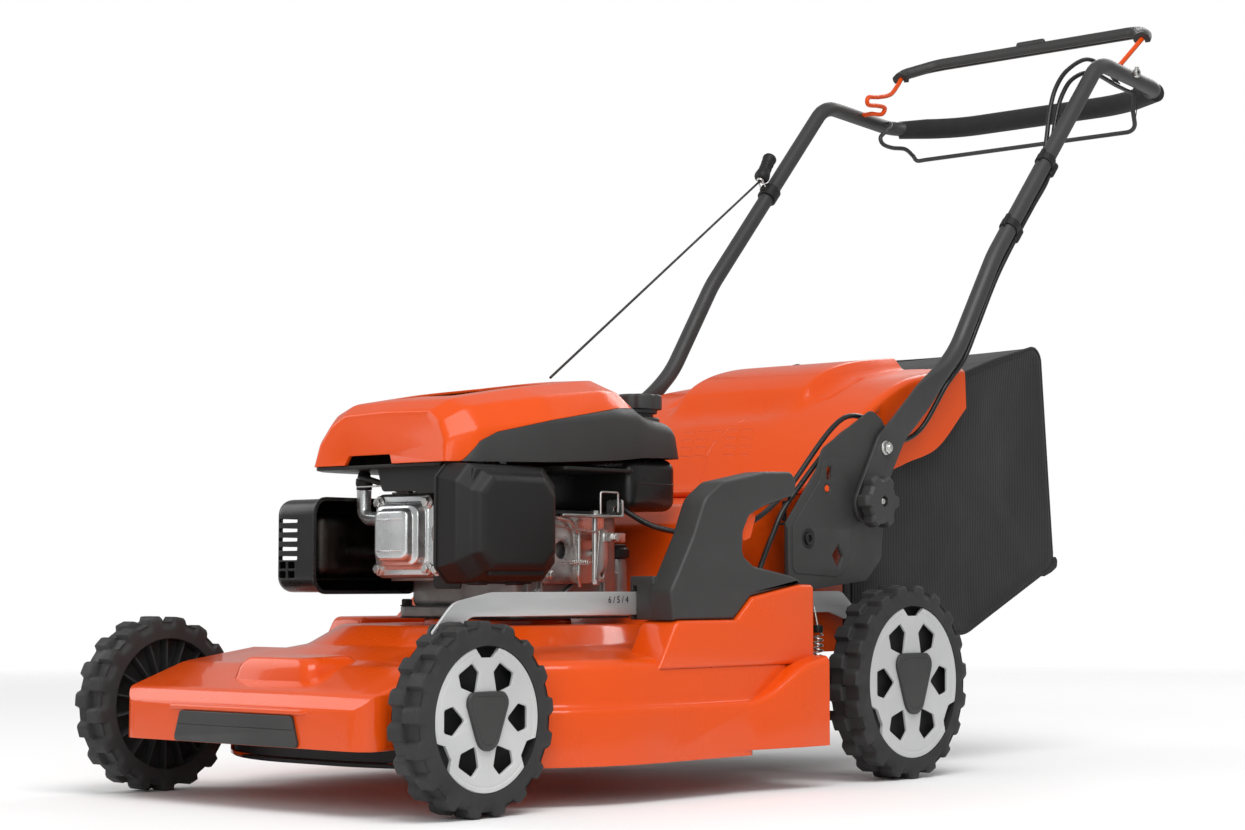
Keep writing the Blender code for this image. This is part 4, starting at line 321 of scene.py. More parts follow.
# The solids that stay in sight as they are.
for look, names in ((CAST, ("flywheel", "gearbox")),
                    (ZINC, ("crankshaft", "gearbox_pulley", "drive_shaft")),
                    (COAT, ("blade", "front_axle_crank", "rear_axle_crank")),
                    (RUBBER, ("drive_belt", "trailing_skirt"))):
    for name in names:
        NODES[name].data.materials.clear()
        NODES[name].data.materials.append(look)

bpy.ops.mesh.primitive_plane_add(size=FLOOR_SIZE)
floor = bpy.context.active_object
floor.name = "floor"
floor.data.materials.append(floor_finish())


# Mesh tools


def placed(form):
    mesh = bpy.data.meshes.new("form")
    form.to_mesh(mesh)
    form.free()
    obj = bpy.data.objects.new("form", mesh)
    ROOM.objects.link(obj)
    return obj


def settled(obj):
    """The object as it evaluates, baked into one plain mesh in world coordinates."""
    bpy.context.view_layer.update()
    graph = bpy.context.evaluated_depsgraph_get()
    mesh = bpy.data.meshes.new_from_object(obj.evaluated_get(graph))
    mesh.transform(obj.matrix_world)
    bpy.data.objects.remove(obj, do_unlink=True)
    form = bmesh.new()
    form.from_mesh(mesh)
    bpy.data.meshes.remove(mesh)
    bmesh.ops.remove_doubles(form, verts=form.verts, dist=1e-6)
    bmesh.ops.recalc_face_normals(form, faces=form.faces)
    return placed(form)


def combined(base, others, operation):
    for other in others:
        boolean = base.modifiers.new("boolean", "BOOLEAN")
        boolean.operation = operation
        boolean.solver = "EXACT"
        boolean.object = other
    result = settled(base)
    for other in others:
        bpy.data.objects.remove(other, do_unlink=True)
    return result


def joined(base, *others):
    return combined(base, others, "UNION")


def cut(base, *others):
    return combined(base, others, "DIFFERENCE")


def grouped(*objs):
    """The meshes as one object, without a Boolean."""
    form = bmesh.new()
    for obj in objs:
        form.from_mesh(obj.data)
        bpy.data.objects.remove(obj, do_unlink=True)
    return placed(form)


def softened(obj, width, segments=3, angle=30):
    bevel = obj.modifiers.new("bevel", "BEVEL")
    bevel.width = width
    bevel.segments = segments
    bevel.limit_method = "ANGLE"
    bevel.angle_limit = radians(angle)
    return settled(obj)


def mirrored(obj):
    form = bmesh.new()
    form.from_mesh(obj.data)
    bmesh.ops.transform(form, matrix=Matrix.Scale(-1, 4, X), verts=form.verts)
    bmesh.ops.reverse_faces(form, faces=form.faces)
    return placed(form)


def both_sides(obj):
    return obj, mirrored(obj)


def facing(*directions):
    """The turn that carries X, Y and Z to these directions."""
    return Matrix(directions).transposed().to_4x4()


def moved(obj, place, turn=Matrix.Identity(4)):
    obj.data.transform(Matrix.Translation(place) @ turn)
    return obj


def opposite(place):
    return Vector((-place.x, place.y, place.z))


def piece(obj, name, body, look, stands_for=(), smooth=30, slot=""):
    """Name a finished piece, give it its material and let it ride on its body."""
    obj.name = obj.data.name = name
    obj.data.materials.clear()
    obj.data.materials.append(look)
    obj.data.shade_smooth()
    obj.data.set_sharp_from_angle(angle=radians(smooth))
    if body:
        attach(obj, body)
    if stands_for:
        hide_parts(stands_for)
    return obj


def block(low, high, bevel=0.0, segments=3):
    form = bmesh.new()
    bmesh.ops.create_cube(form, size=1)
    low, high = Vector(low), Vector(high)
    bmesh.ops.transform(form, matrix=Matrix.Diagonal((*(high - low), 1)), verts=form.verts)
    bmesh.ops.translate(form, vec=(low + high) / 2, verts=form.verts)
    obj = placed(form)
    return softened(obj, bevel, segments) if bevel else obj


def filleted(points, radii, steps=6, closed=True):
    """The polyline with each corner turned into an arc of its radius."""
    points = [Vector(point).to_3d() for point in points]
    if not hasattr(radii, "__len__"):
        radii = [radii] * len(points)
    path = []
    for index, corner in enumerate(points):
        radius = radii[index]
        at_end = not closed and index in (0, len(points) - 1)
        if at_end or radius <= 0:
            path.append(corner)
            continue
        back = (points[index - 1] - corner).normalized()
        ahead = (points[(index + 1) % len(points)] - corner).normalized()
        half = back.angle(ahead) / 2
        shortest = min((points[index - 1] - corner).length,
                       (points[(index + 1) % len(points)] - corner).length)
        radius = min(radius, 0.45 * shortest * tan(half))
        centre = corner + (back + ahead).normalized() * radius / sin(half)
        start = corner + back * radius / tan(half) - centre
        finish = corner + ahead * radius / tan(half) - centre
        axis = start.cross(finish).normalized()
        turn = start.angle(finish)
        for step in range(steps + 1):
            path.append(centre + Matrix.Rotation(turn * step / steps, 3, axis) @ start)
    return path


def outline(points, radii, steps=5):
    """A filleted flat outline from pairs."""
    return [point[:2] for point in filleted([(u, v, 0) for u, v in points], radii, steps)]


def rectangle(low_u, low_v, high_u, high_v):
    return [(low_u, low_v), (high_u, low_v), (high_u, high_v), (low_u, high_v)]


def slab(outlines, low, high, axis, edge=0.0, rounds=2):
    """Flat outlines, the first solid and the rest holes, extruded from low to high along the axis."""
    curve = bpy.data.curves.new("slab", "CURVE")
    curve.dimensions = "2D"
    curve.fill_mode = "BOTH"
    curve.extrude = (high - low) / 2 - edge
    curve.bevel_depth = edge
    curve.bevel_resolution = rounds
    curve.offset = -edge
    for line in outlines:
        spline = curve.splines.new("POLY")
        spline.points.add(len(line) - 1)
        for point, place in zip(spline.points, line):
            point.co = (place[0], place[1], 0, 1)
        spline.use_cyclic_u = True
    obj = bpy.data.objects.new("slab", curve)
    ROOM.objects.link(obj)
    turn = {"X": facing(Y, Z, X), "Y": facing(X, Z, -Y), "Z": facing(X, Y, Z)}[axis]
    obj.matrix_world = Matrix.Translation(ALONG[axis] * (low + high) / 2) @ turn
    return settled(obj)


def turned(profile, axis, centre=ORIGIN, steps=32, closed=False):
    """A lathe turning; the profile is (radius, height along the axis), top to bottom."""
    mesh = bpy.data.meshes.new("profile")
    edges = [(index, index + 1) for index in range(len(profile) - 1)]
    if closed:
        edges.append((len(profile) - 1, 0))
    mesh.from_pydata([(radius, 0, height) for radius, height in profile], edges, [])
    obj = bpy.data.objects.new("turned", mesh)
    ROOM.objects.link(obj)
    screw = obj.modifiers.new("lathe", "SCREW")
    screw.steps = screw.render_steps = steps
    screw.use_merge_vertices = True
    screw.merge_threshold = 1e-5
    turn = Z.rotation_difference(Vector(axis)).to_matrix().to_4x4()
    obj.matrix_world = Matrix.Translation(centre) @ turn
    return settled(obj)


def rod(start, end, radius, steps=24, edge=0.0):
    start, end = Vector(start), Vector(end)
    length = (end - start).length
    profile = [(0, length), (radius - edge, length), (radius, length - edge), (radius, edge),
               (radius - edge, 0), (0, 0)] if edge else [(0, length), (radius, length), (radius, 0), (0, 0)]
    return turned(profile, end - start, start, steps)


def cross_rod(place, low, high, radius, steps=24, edge=0.0):
    """A rod along X through this place."""
    return rod((low, place.y, place.z), (high, place.y, place.z), radius, steps, edge)


def pipe(points, radius, sides=5, scales=None):
    curve = bpy.data.curves.new("pipe", "CURVE")
    curve.dimensions = "3D"
    curve.bevel_depth = radius
    curve.bevel_resolution = sides
    curve.use_fill_caps = True
    spline = curve.splines.new("POLY")
    spline.points.add(len(points) - 1)
    for index, place in enumerate(points):
        spline.points[index].co = (*place, 1)
        spline.points[index].radius = scales[index] if scales else 1
    obj = bpy.data.objects.new("pipe", curve)
    ROOM.objects.link(obj)
    return settled(obj)


def loft(sections):
    """A body through rings of equal length."""
    form = bmesh.new()
    rings = [[form.verts.new(place) for place in section] for section in sections]
    count = len(rings[0])
    for ring, above in zip(rings, rings[1:]):
        for index in range(count):
            after = (index + 1) % count
            form.faces.new((ring[index], ring[after], above[after], above[index]))
    form.faces.new(rings[0])
    form.faces.new(rings[-1])
    bmesh.ops.recalc_face_normals(form, faces=form.faces)
    return placed(form)


def thickened(form, thickness):
    """The sheet with a wall behind its outer face."""
    sheet = placed(form)
    wall = sheet.modifiers.new("wall", "SOLIDIFY")
    wall.thickness, wall.offset = thickness, -1
    return settled(sheet)


def swept(path, sections):
    """A closed body through sections of (aside, up) pairs along a path."""
    rings = []
    for index, (place, section) in enumerate(zip(path, sections)):
        before, after = path[max(index - 1, 0)], path[min(index + 1, len(path) - 1)]
        run = (after - before).normalized()
        aside = Z.cross(run).normalized()
        rise = run.cross(aside)
        rings.append([place + aside * u + rise * v for u, v in section])
    return loft(rings)


def eased(rows, reach, steps=4):
    """Rows of numbers whose inner corners are rounded over this reach."""
    rows = [list(row) for row in rows]
    path = [rows[0]]
    for before, at, after in zip(rows, rows[1:], rows[2:]):
        ends = []
        for other in (before, after):
            length = sqrt(sum((a - b) ** 2 for a, b in zip(at, other)))
            share = min(reach / length, 0.45)
            ends.append([a + (b - a) * share for a, b in zip(at, other)])
        for step in range(steps + 1):
            t = step / steps
            path.append([(1 - t) ** 2 * a + 2 * t * (1 - t) * b + t * t * c
                         for a, b, c in zip(ends[0], at, ends[1])])
    return path + [rows[-1]]


def strap(circles, steps=24):
    """The taut outline round circles, each given as (u, v, radius)."""
    dots = sorted(dot for row in circles for dot in circle(*row, steps))
    sides = []
    for row in (dots, dots[::-1]):
        side = []
        for dot in row:
            while len(side) > 1:
                (au, av), (bu, bv) = side[-2], side[-1]
                if (bu - au) * (dot[1] - av) - (bv - av) * (dot[0] - au) > 1e-12:
                    break
                side.pop()
            side.append(dot)
        sides.append(side[:-1])
    return sides[0] + sides[1]


def circle(u, v, radius, steps=24):
    return lobed(u, v, lambda angle: radius, steps)


def lobed(u, v, radius_at, steps):
    """The points round (u, v) whose distance is a function of the angle."""
    angles = [2 * pi * step / steps for step in range(steps)]
    return [(u + radius_at(angle) * cos(angle), v + radius_at(angle) * sin(angle)) for angle in angles]


def smooth_path(points, steps=6):
    """A Catmull-Rom curve through the points."""
    points = [Vector(point) for point in points]
    points = [2 * points[0] - points[1], *points, 2 * points[-1] - points[-2]]
    path = []
    for a, b, c, d in zip(points, points[1:], points[2:], points[3:]):
        for step in range(steps):
            t = step / steps
            path.append(b + t * (c - a) / 2 + t * t * (2 * a - 5 * b + 4 * c - d) / 2
                        + t ** 3 * (3 * b - a - 3 * c + d) / 2)
    path.append(points[-2])
    return path


def ramp(value, low, high):
    t = max(0.0, min(1.0, (value - low) / (high - low)))
    return t * t * (3 - 2 * t)


def around(centre, radius, degrees):
    """A point at this angle and distance from the centre, in the plane across X."""
    angle = radians(degrees)
    return (centre.y + radius * cos(angle), centre.z + radius * sin(angle))


def outline3(x, corners, radius, steps=4):
    """A filleted outline in the plane across X."""
    return filleted([(x, y, z) for y, z in corners], radius, steps)


def hex_bolt(place, axis, across, height, washer=0.0):
    """A hexagon head with a chamfered top, on a washer if it has one."""
    axis = Vector(axis).normalized()
    place = Vector(place)
    parts = []
    if washer:
        parts.append(rod(place, place + axis * 0.0012, washer, 24, 0.0003))
        place = place + axis * 0.0012
    radius = across / 2 / cos(pi / 6)
    head = turned([(0, height), (radius * 0.8, height), (radius, height * 0.8), (radius, 0), (0, 0)], axis,
                  place, 6)
    return grouped(head, *parts)


# Wheels

# Each pair: its name, radius, width, number of lugs, and the x and y of its axle.
WHEELS = (("front", 0.0975, 0.045, 17, 0.2505, -0.693), ("rear", 0.115, 0.046, 19, 0.28, 0.0))
LUG_DEPTH = 0.006
TYRE_BAND = 0.0245
HUB_R = 0.018
COVER_DISH, COVER_FLAT, COVER_INSET = 0.004, 0.71, 0.0005
COVER_DROP = COVER_DISH * (1 - COVER_FLAT ** 2)


def lug_height(phase):
    """The tread's height over one lug and the gap after it, from 0 to 1."""
    phase %= 1.0
    rise = min(max((phase - 0.02) / 0.1, 0), 1)
    fall = min(max((0.6 - phase) / 0.1, 0), 1)
    share = min(rise, fall)
    return share * share * (3 - 2 * share)


def tyre_ring(radius, width, lugs, centre):
    """The tread: two staggered rows of soft blocks that reach over the shoulders."""
    groove, bead, half = radius - LUG_DEPTH, radius - TYRE_BAND, width / 2
    # From the bead to the middle of the tread: the share of the half width, the radius between the lugs, the
    # share of a lug's height that it rises by, and how far it is drawn in between the lugs.
    row = [(1.0, bead, 0, 0), (1.0, bead + 0.0085, 0, 0), (1.0, groove - 0.0065, 0, 0.0006),
           (0.995, groove - 0.0045, 0.1, 0.0026), (0.975, groove - 0.0012, 0.45, 0.003),
           (0.93, groove, 0.82, 0.0022), (0.87, groove, 1, 0), (0.6, groove, 1, 0), (0.3, groove, 1, 0),
           (0.07, groove, 1, 0), (0.03, groove, 0.86, 0)]
    section = [(-u, r, w, i) for u, r, w, i in row] + [(u, r, w, i) for u, r, w, i in reversed(row)]
    rings = []
    steps = lugs * 12
    for step in range(steps):
        angle = 2 * pi * step / steps
        direction = Vector((0, cos(angle), sin(angle)))
        ring = []
        for share, base, weight, inset in section:
            phase = lugs * angle / (2 * pi) + (0.5 if share < 0 else 0.0)
            height = lug_height(phase)
            aside = half * share - copysign(inset * (1 - height), share)
            ring.append(centre + direction * (base + LUG_DEPTH * weight * height) + X * aside)
        rings.append(ring)
    form = bmesh.new()
    grid = [[form.verts.new(place) for place in ring] for ring in rings]
    for ring, after in zip(grid, grid[1:] + grid[:1]):
        for index in range(len(ring)):
            other = (index + 1) % len(ring)
            form.faces.new((ring[index], after[index], after[other], ring[other]))
    bmesh.ops.recalc_face_normals(form, faces=form.faces)
    return placed(form)


def wheel_core(radius, width, centre, driven):
    half = width / 2
    root = radius - TYRE_BAND + 0.0005
    web_low = 0.002 if driven else -0.004
    web_high = web_low + 0.004
    bore = 0.0064
    core = turned([(root, web_high), (root, web_low), (HUB_R + 0.003, web_low), (HUB_R, web_low - 0.003),
                   (HUB_R, -half + 0.003), (HUB_R - 0.001, -half + 0.002), (bore, -half + 0.002),
                   (bore, web_high)], X, centre, 72, True)
    if driven:
        return core
    ribs = []
    for step in range(18):
        rib = block((-half + 0.0045, -0.0009, HUB_R - 0.001), (web_low + 0.0005, 0.0009, root + 0.0004),
                    0.0003, 1)
        ribs.append(moved(rib, centre, Matrix.Rotation(2 * pi * step / 18, 4, "X")))
    return grouped(core, *ribs)


def polar(centre, radius, degrees):
    """A point of the wheel's face, measured from twelve o'clock."""
    return around(centre, radius, 90 - degrees)


def window_cutter(centre, rim, degrees, low, high):
    """A kite-shaped window whose sides slope inwards."""
    rings = []
    for x, grow in ((low, -0.0002), (high - 0.0022, -0.0002), (high + 0.0006, 0.0052)):
        middle = Vector((*polar(centre, rim * 0.665, degrees), 0))
        corners = [polar(centre, rim * 0.4, degrees), polar(centre, rim * 0.66, degrees + 18),
                   polar(centre, rim * 0.82, degrees + 11), polar(centre, rim * 0.82, degrees - 11),
                   polar(centre, rim * 0.66, degrees - 18)]
        grown = []
        for u, v in corners:
            away = Vector((u, v, 0)) - middle
            grown.append(middle + away * (1 + grow / away.length))
        rings.append([Vector((x, point.x, point.y)) for point in filleted(grown, 0.003, 4)])
    return loft(rings)


def rim_cover(radius, width, track, axle_y):
    centre = Vector((track, axle_y, radius))
    rim = radius - TYRE_BAND - 0.0004
    face = width / 2 - COVER_INSET
    profile = [(0, face - COVER_DROP)]
    for step in range(8):
        share = COVER_FLAT + 0.2 * step / 7
        profile.append((rim * share, face - COVER_DISH * (1 - share ** 2)))
    profile += [(rim * 0.925, face - 0.001), (rim * 0.935, face - 0.0004), (rim - 0.0008, face - 0.0002),
                (rim, face - 0.001), (rim, face - 0.005), (0, face - 0.005)]
    cover = turned(profile, X, centre, 108)
    cutters = [window_cutter(centre, rim, 30 + 60 * spoke, track + face - 0.01, track + face)
               for spoke in range(6)]
    for degrees in (0, 120, 240):
        corners = [polar(centre, rim + 0.004, degrees - 15.5), polar(centre, rim - 0.011, degrees - 7.5),
                   polar(centre, rim - 0.011, degrees + 7.5), polar(centre, rim + 0.004, degrees + 15.5)]
        cutters.append(slab([outline(corners, 0.0012, 3)], track + face - 0.02, track + face + 0.01, "X"))
    return cut(cover, *cutters)


def hub_cap(radius, width, track, axle_y):
    """A plain rounded three-sided cap with a sunk border."""
    outer = width / 2 + track
    seat = outer - COVER_INSET - COVER_DROP + GAP
    reach = radius - TYRE_BAND
    rings = []
    for share, x in ((1.0, seat), (1.0, outer + 0.0004), (0.975, outer + 0.0016), (0.93, outer + 0.002),
                     (0.86, outer + 0.002), (0.84, outer + 0.0013), (0.81, outer + 0.0013),
                     (0.79, outer + 0.0019), (0.4, outer + 0.002)):
        corners = [(x, axle_y + u * reach * share, radius + v * reach * share)
                   for u, v in ((-0.46, 0.38), (0.46, 0.38), (0.0, -0.82))]
        rings.append(filleted(corners, [reach * share * r for r in (0.15, 0.15, 0.22)], 10))
    return loft(rings)


for end, radius, width, lugs, track, axle_y in WHEELS:
    centre = Vector((track, axle_y, radius))
    for kind, obj, look, smooth in (
            ("wheel", grouped(tyre_ring(radius, width, lugs, centre),
                              wheel_core(radius, width, centre, end == "rear")), TYRE, 38),
            ("rim_cover", rim_cover(radius, width, track, axle_y), GREY, 30),
            ("hub_cap", hub_cap(radius, width, track, axle_y), DARK, 30)):
        for side, made in zip(("left", "right"), both_sides(obj)):
            name = f"{end}_{side}_{kind}"
            piece(made, f"{name}_look", f"{end}_{side}_roller", look, name, smooth)


# Cutting deck

SHEET = 0.003
DECK_HALF_WIDTH, DECK_FRONT_Y, DECK_REAR_Y = 0.283, -0.682, -0.165
DECK_RIM_Z, BAND_STEP_Z, BAND_STEP = 0.042, 0.1, 0.007
SHOULDER_Z, DOME_Z, DOME_HALF_WIDTH = 0.152, 0.186, 0.15
APRON_HALF_WIDTH, APRON_FRONT_Y, APRON_RIM_Z = 0.199, -0.786, 0.066
CHUTE_HALF_WIDTH, CHUTE_FLOOR_Z, CHUTE_TOP_Z, CHUTE_REAR_Y = 0.2, 0.15, 0.338, -0.003
FRONT_PIVOT = Vector((0, -0.7355, 0.0975))
REAR_PIVOT = Vector((0, -0.0425, 0.115))
SKIRT_HINGE = Vector((0, -0.157, 0.086))
ENGINE_Y = -0.4


def pan_ring(half_width, front, rear, front_r, rear_r, z, steps):
    corners = [(half_width, front, z), (half_width, rear, z), (-half_width, rear, z), (-half_width, front, z)]
    return filleted(corners, [front_r, rear_r, rear_r, front_r], steps)


def pan(wall):
    """The cutting chamber: a stepped skirt, a rounded shoulder and the engine's dome."""
    half, front, rear = DECK_HALF_WIDTH - wall, DECK_FRONT_Y + wall, DECK_REAR_Y - wall
    rim = DECK_RIM_Z - (0.02 if wall else 0)
    upper = half - BAND_STEP
    rows = [(half, front, rear, 0.25, 0.06, rim),
            (half, front, rear, 0.25, 0.06, BAND_STEP_Z - wall),
            (upper, front + BAND_STEP, rear, 0.24, 0.06, BAND_STEP_Z + 0.004 - wall),
            (upper - 0.003, front + 0.012, rear, 0.24, 0.06, SHOULDER_Z - 0.008 - wall),
            (upper - 0.012, front + 0.022, rear - 0.008, 0.23, 0.05, SHOULDER_Z - wall),
            (DOME_HALF_WIDTH + 0.03, front + 0.075, rear - 0.03, 0.14, 0.05, SHOULDER_Z + 0.012 - wall),
            (DOME_HALF_WIDTH, front + 0.11, rear - 0.05, 0.12, 0.05, DOME_Z - wall)]
    if wall:
        return loft([pan_ring(*row, 6) for row in rows])
    inner = (DOME_HALF_WIDTH - 0.012, front + 0.122, rear - 0.06, 0.11, 0.045, DOME_Z)
    return loft([pan_ring(*row, 24) for row in eased([*rows, inner], 0.007, 3)])


def apron(wall):
    """The nose in front of the chamber, between the front wheels."""
    rise = [(APRON_FRONT_Y + wall, APRON_RIM_Z), (APRON_FRONT_Y + wall, 0.106 - wall),
            (APRON_FRONT_Y + 0.014, 0.121 - wall), (-0.7, 0.146 - wall),
            (-0.6, SHOULDER_Z + 0.008 - wall), (-0.6, APRON_RIM_Z)]
    if wall:
        rise[0] = (APRON_FRONT_Y + wall, APRON_RIM_Z - 0.02)
        rise[-1] = (-0.6, APRON_RIM_Z - 0.02)
    line = outline(rise, [0, 0.01, 0.022, 0.06, 0, 0], 2 if wall else 7)
    half = APRON_HALF_WIDTH - wall
    body = slab([line], -half, half, "X", 0 if wall else 0.0055, 3)
    front = APRON_FRONT_Y + wall
    plan = outline([(half, front), (half, -0.55), (-half, -0.55), (-half, front)], [0.03, 0, 0, 0.03],
                   2 if wall else 8)
    return combined(body, [slab([plan], 0, 0.3, "Z")], "INTERSECT")


def tower(wall):
    """The left rear corner, raised to carry the height grip and the handle bracket."""
    inner, outer = 0.223 + wall, DECK_HALF_WIDTH - BAND_STEP - wall
    rear = -0.16 - wall
    side = [(-0.435 + wall, 0.14), (-0.405 + wall, 0.192 - wall), (-0.302, 0.192 - wall),
            (-0.272, 0.217 - wall), (-0.185, 0.231 - wall), (rear, 0.231 - wall), (rear, 0.14)]
    if wall:
        return slab([side], inner, outer, "X")
    line = outline(side, [0, 0.014, 0.008, 0.008, 0.01, 0.006, 0], 5)
    return slab([line], inner, outer, "X", 0.005, 3)


def flare(wall):
    """The skirt swells outwards ahead of the rear wheel."""
    rear = DECK_REAR_Y - wall
    low, high = DECK_RIM_Z + 0.006, 0.15 - wall
    if wall:
        low -= 0.03
    rows = [(-0.305, DECK_HALF_WIDTH - 0.001, BAND_STEP_Z - 0.002), (-0.262, DECK_HALF_WIDTH + 0.008, 0.108),
            (-0.205, DECK_HALF_WIDTH + 0.016, 0.142), (rear, DECK_HALF_WIDTH + 0.017, 0.15)]
    if not wall:
        rows = eased(rows, 0.02, 5)
    sections = []
    for y, reach, top in rows:
        top -= wall
        outer = reach - wall
        inner = DECK_HALF_WIDTH - 0.055
        ring = [(x, y, z) for x, z in rectangle(inner, low, outer, top)]
        sections.append(filleted(ring, [0, 0, 0.008, 0], 1 if wall else 5))
    return loft(sections)


def chute(wall):
    """The tunnel that throws the cut grass back into the catcher."""
    rear = CHUTE_REAR_Y + (0.05 if wall else 0)
    side = [(-0.29 + wall, 0.13), (-0.236 + wall, 0.215), (-0.218 + wall, 0.3),
            (-0.19 + wall, 0.326 - wall), (-0.1, CHUTE_TOP_Z - wall), (rear, CHUTE_TOP_Z - wall),
            (rear, CHUTE_FLOOR_Z + wall), (DECK_REAR_Y - 0.02, CHUTE_FLOOR_Z + wall),
            (DECK_REAR_Y - 0.02, 0.13)]
    if wall:
        side[-2:] = [(DECK_REAR_Y - wall - GAP, CHUTE_FLOOR_Z + wall), (DECK_REAR_Y - wall - GAP, 0.13)]
    line = outline(side, [0, 0.02, 0.02, 0.02, 0.02, 0, 0, 0, 0], 2 if wall else 6)
    half = CHUTE_HALF_WIDTH - wall
    return slab([line], -half, half, "X")


def deck_mass(wall):
    return joined(pan(wall), apron(wall), *both_sides(tower(wall)), *both_sides(flare(wall)), chute(wall))


def boss():
    """The rounded raised pad on the nose."""
    rows = [(0.064, -0.745, -0.658, 0.13), (0.0595, -0.7405, -0.662, 0.148),
            (0.052, -0.7345, -0.6675, 0.1565), (0.02, -0.712, -0.69, 0.1572)]
    rings = []
    for w, a, b, z in eased(rows, 0.006, 4):
        corners = [(-w, a, z - 0.002), (w, a, z - 0.002), (w, b, z), (-w, b, z)]
        rings.append(filleted(corners, min(0.016, w * 0.5), 8))
    return loft(rings)


def deck():
    shell = cut(deck_mass(0), deck_mass(SHEET))
    seat = turned([(0, DOME_Z + 0.006), (0.083, DOME_Z + 0.006), (0.085, DOME_Z + 0.004),
                   (0.085, DOME_Z - 0.001), (0, DOME_Z - 0.001)], Z, Vector((0, ENGINE_Y, 0)), 64)
    ear = slab([strap([(SKIRT_HINGE.y, SKIRT_HINGE.z, 0.007),
                       (DECK_REAR_Y - 0.002, SKIRT_HINGE.z, 0.007)], 16)],
               0.2303, 0.2355, "X")
    ledge = pipe(filleted([(-0.112, -0.78, 0.104), (-0.104, -0.7868, 0.1022), (0.104, -0.7868, 0.1022),
                           (0.112, -0.78, 0.104)], 0.006, 5, closed=False), 0.003, 4)
    shell = joined(shell, boss(), seat, *both_sides(ear), ledge)
    crank_hole = rod((0, ENGINE_Y, 0.12), (0, ENGINE_Y, 0.25), 0.042, 48)
    axle_hole = cross_rod(FRONT_PIVOT, -0.22, 0.22, 0.0064)
    belt_slot = block((-0.045, DECK_REAR_Y - 0.02, 0.114), (0.045, DECK_REAR_Y + 0.02, 0.1395))
    skirt_hole = cross_rod(SKIRT_HINGE, -0.26, 0.26, 0.0034)
    return cut(shell, crank_hole, axle_hole, belt_slot, skirt_hole)


def bumper_insert():
    """The dark trapezium in the middle of the nose, with a creased face."""
    face = APRON_FRONT_Y - GAP
    rings = []
    for depth, inset in ((0, 0), (0.0028, 0), (0.0035, 0.0008)):
        foot, head = 0.099 - inset, 0.089 - inset
        low, high = APRON_RIM_Z + 0.0005 + inset, 0.0985 - inset
        corners = [(-foot, low), (foot, low), (head, high), (-head, high)]
        rings.append(filleted([(u, face - depth, v) for u, v in corners], 0.004, 5))
    pad = loft(rings)
    groove = slab([rectangle(-0.11, 0.084, 0.11, 0.0848)], face - 0.01, face - 0.0027, "Y")
    return cut(pad, groove)


def nose_shade_strip():
    """The strip that closes the chamber's front under the nose, black as painted shade for the deck's front
    wall in shadow there.
    """
    half, depth, corner = DECK_HALF_WIDTH, 0.0022, 0.25
    rings = []
    for step in range(49):
        x = 0.196 * (step / 24 - 1)
        reach = max(0.0, abs(x) - (half - corner))
        y = DECK_FRONT_Y - 0.0015 + corner - sqrt(corner ** 2 - reach ** 2)
        low, high = DECK_RIM_Z - 0.0015, 0.09
        rings.append([Vector((x, y - 0.004, low)), Vector((x, y + depth - 0.0022, low)),
                      Vector((x, y, high)), Vector((x, y - depth, high)), Vector((x, y - depth, low + 0.006)),
                      Vector((x, y - 0.004, low + 0.004))])
    return loft(rings)


# Engine

HOOD_RIM_Z = 0.363
PLATE_TOP_Z = HOOD_RIM_Z - GAP
PLATE_REAR_Y = -0.3128
HEAD_Y, VALVE_Z, HEAD_HALF = -0.545, 0.285, 0.048
ENGINE_BASE_Z = DOME_Z + 0.006 + GAP
TANK_LOW_Z, TANK_TOP_Z = 0.316, 0.3775
FUEL_NECK = Vector((0.086, -0.252, 0.4395))
FUEL_NECK_R, FUEL_CAP_R = 0.018, 0.028
OIL_NECK = Vector((0.065, -0.268, 0.262))
OIL_NECK_R = 0.013
CASE_SIDE_X = 0.085

# Each row of the hood: y, lean, then x and z of its rim, side, shoulder and crown.
HOOD = ((-0.59, 0.013, 0.1055, HOOD_RIM_Z, 0.101, 0.388, 0.088, 0.408, 0.07, 0.42),
        (-0.56, 0.006, 0.127, HOOD_RIM_Z, 0.122, 0.398, 0.102, 0.424, 0.078, 0.434),
        (-0.45, 0, 0.135, HOOD_RIM_Z + 0.003, 0.134, 0.412, 0.116, 0.44, 0.082, 0.4515),
        (-0.34, 0, 0.135, 0.372, 0.134, 0.424, 0.112, 0.4525, 0.072, 0.466),
        (-0.303, 0, 0.135, 0.376, 0.133, 0.424, 0.1, 0.453, 0.06, 0.47),
        (-0.286, 0, 0.1345, 0.377, 0.132, 0.4235, 0.1, 0.4285, 0.058, 0.43),
        (-0.236, 0, 0.133, 0.378, 0.128, 0.417, 0.1, 0.4215, 0.07, 0.423),
        (-0.222, -0.002, 0.124, 0.378, 0.119, 0.402, 0.098, 0.4095, 0.07, 0.411))


def hood_ring(row, wall, steps):
    y, lean, *places = row
    half = list(zip(places[::2], places[1::2]))
    ring = []
    for index, (x, z) in enumerate(half):
        drop = 0.05 if index == 0 and wall else 0
        ring.append(Vector((x - wall, y + lean * index / 3, z - (wall if index > 1 else 0) - drop)))
    ring.append(Vector((0, y + lean, half[-1][1] + 0.002 - wall)))
    ring += [opposite(point) for point in reversed(ring[:-1])]
    radii = [0, 0.012, 0.012, 0.012, 0.2, 0.012, 0.012, 0.012, 0] if wall else [
        0, 0.018, 0.015, 0.014, 0.2, 0.014, 0.015, 0.018, 0]
    return filleted(ring, radii, steps)


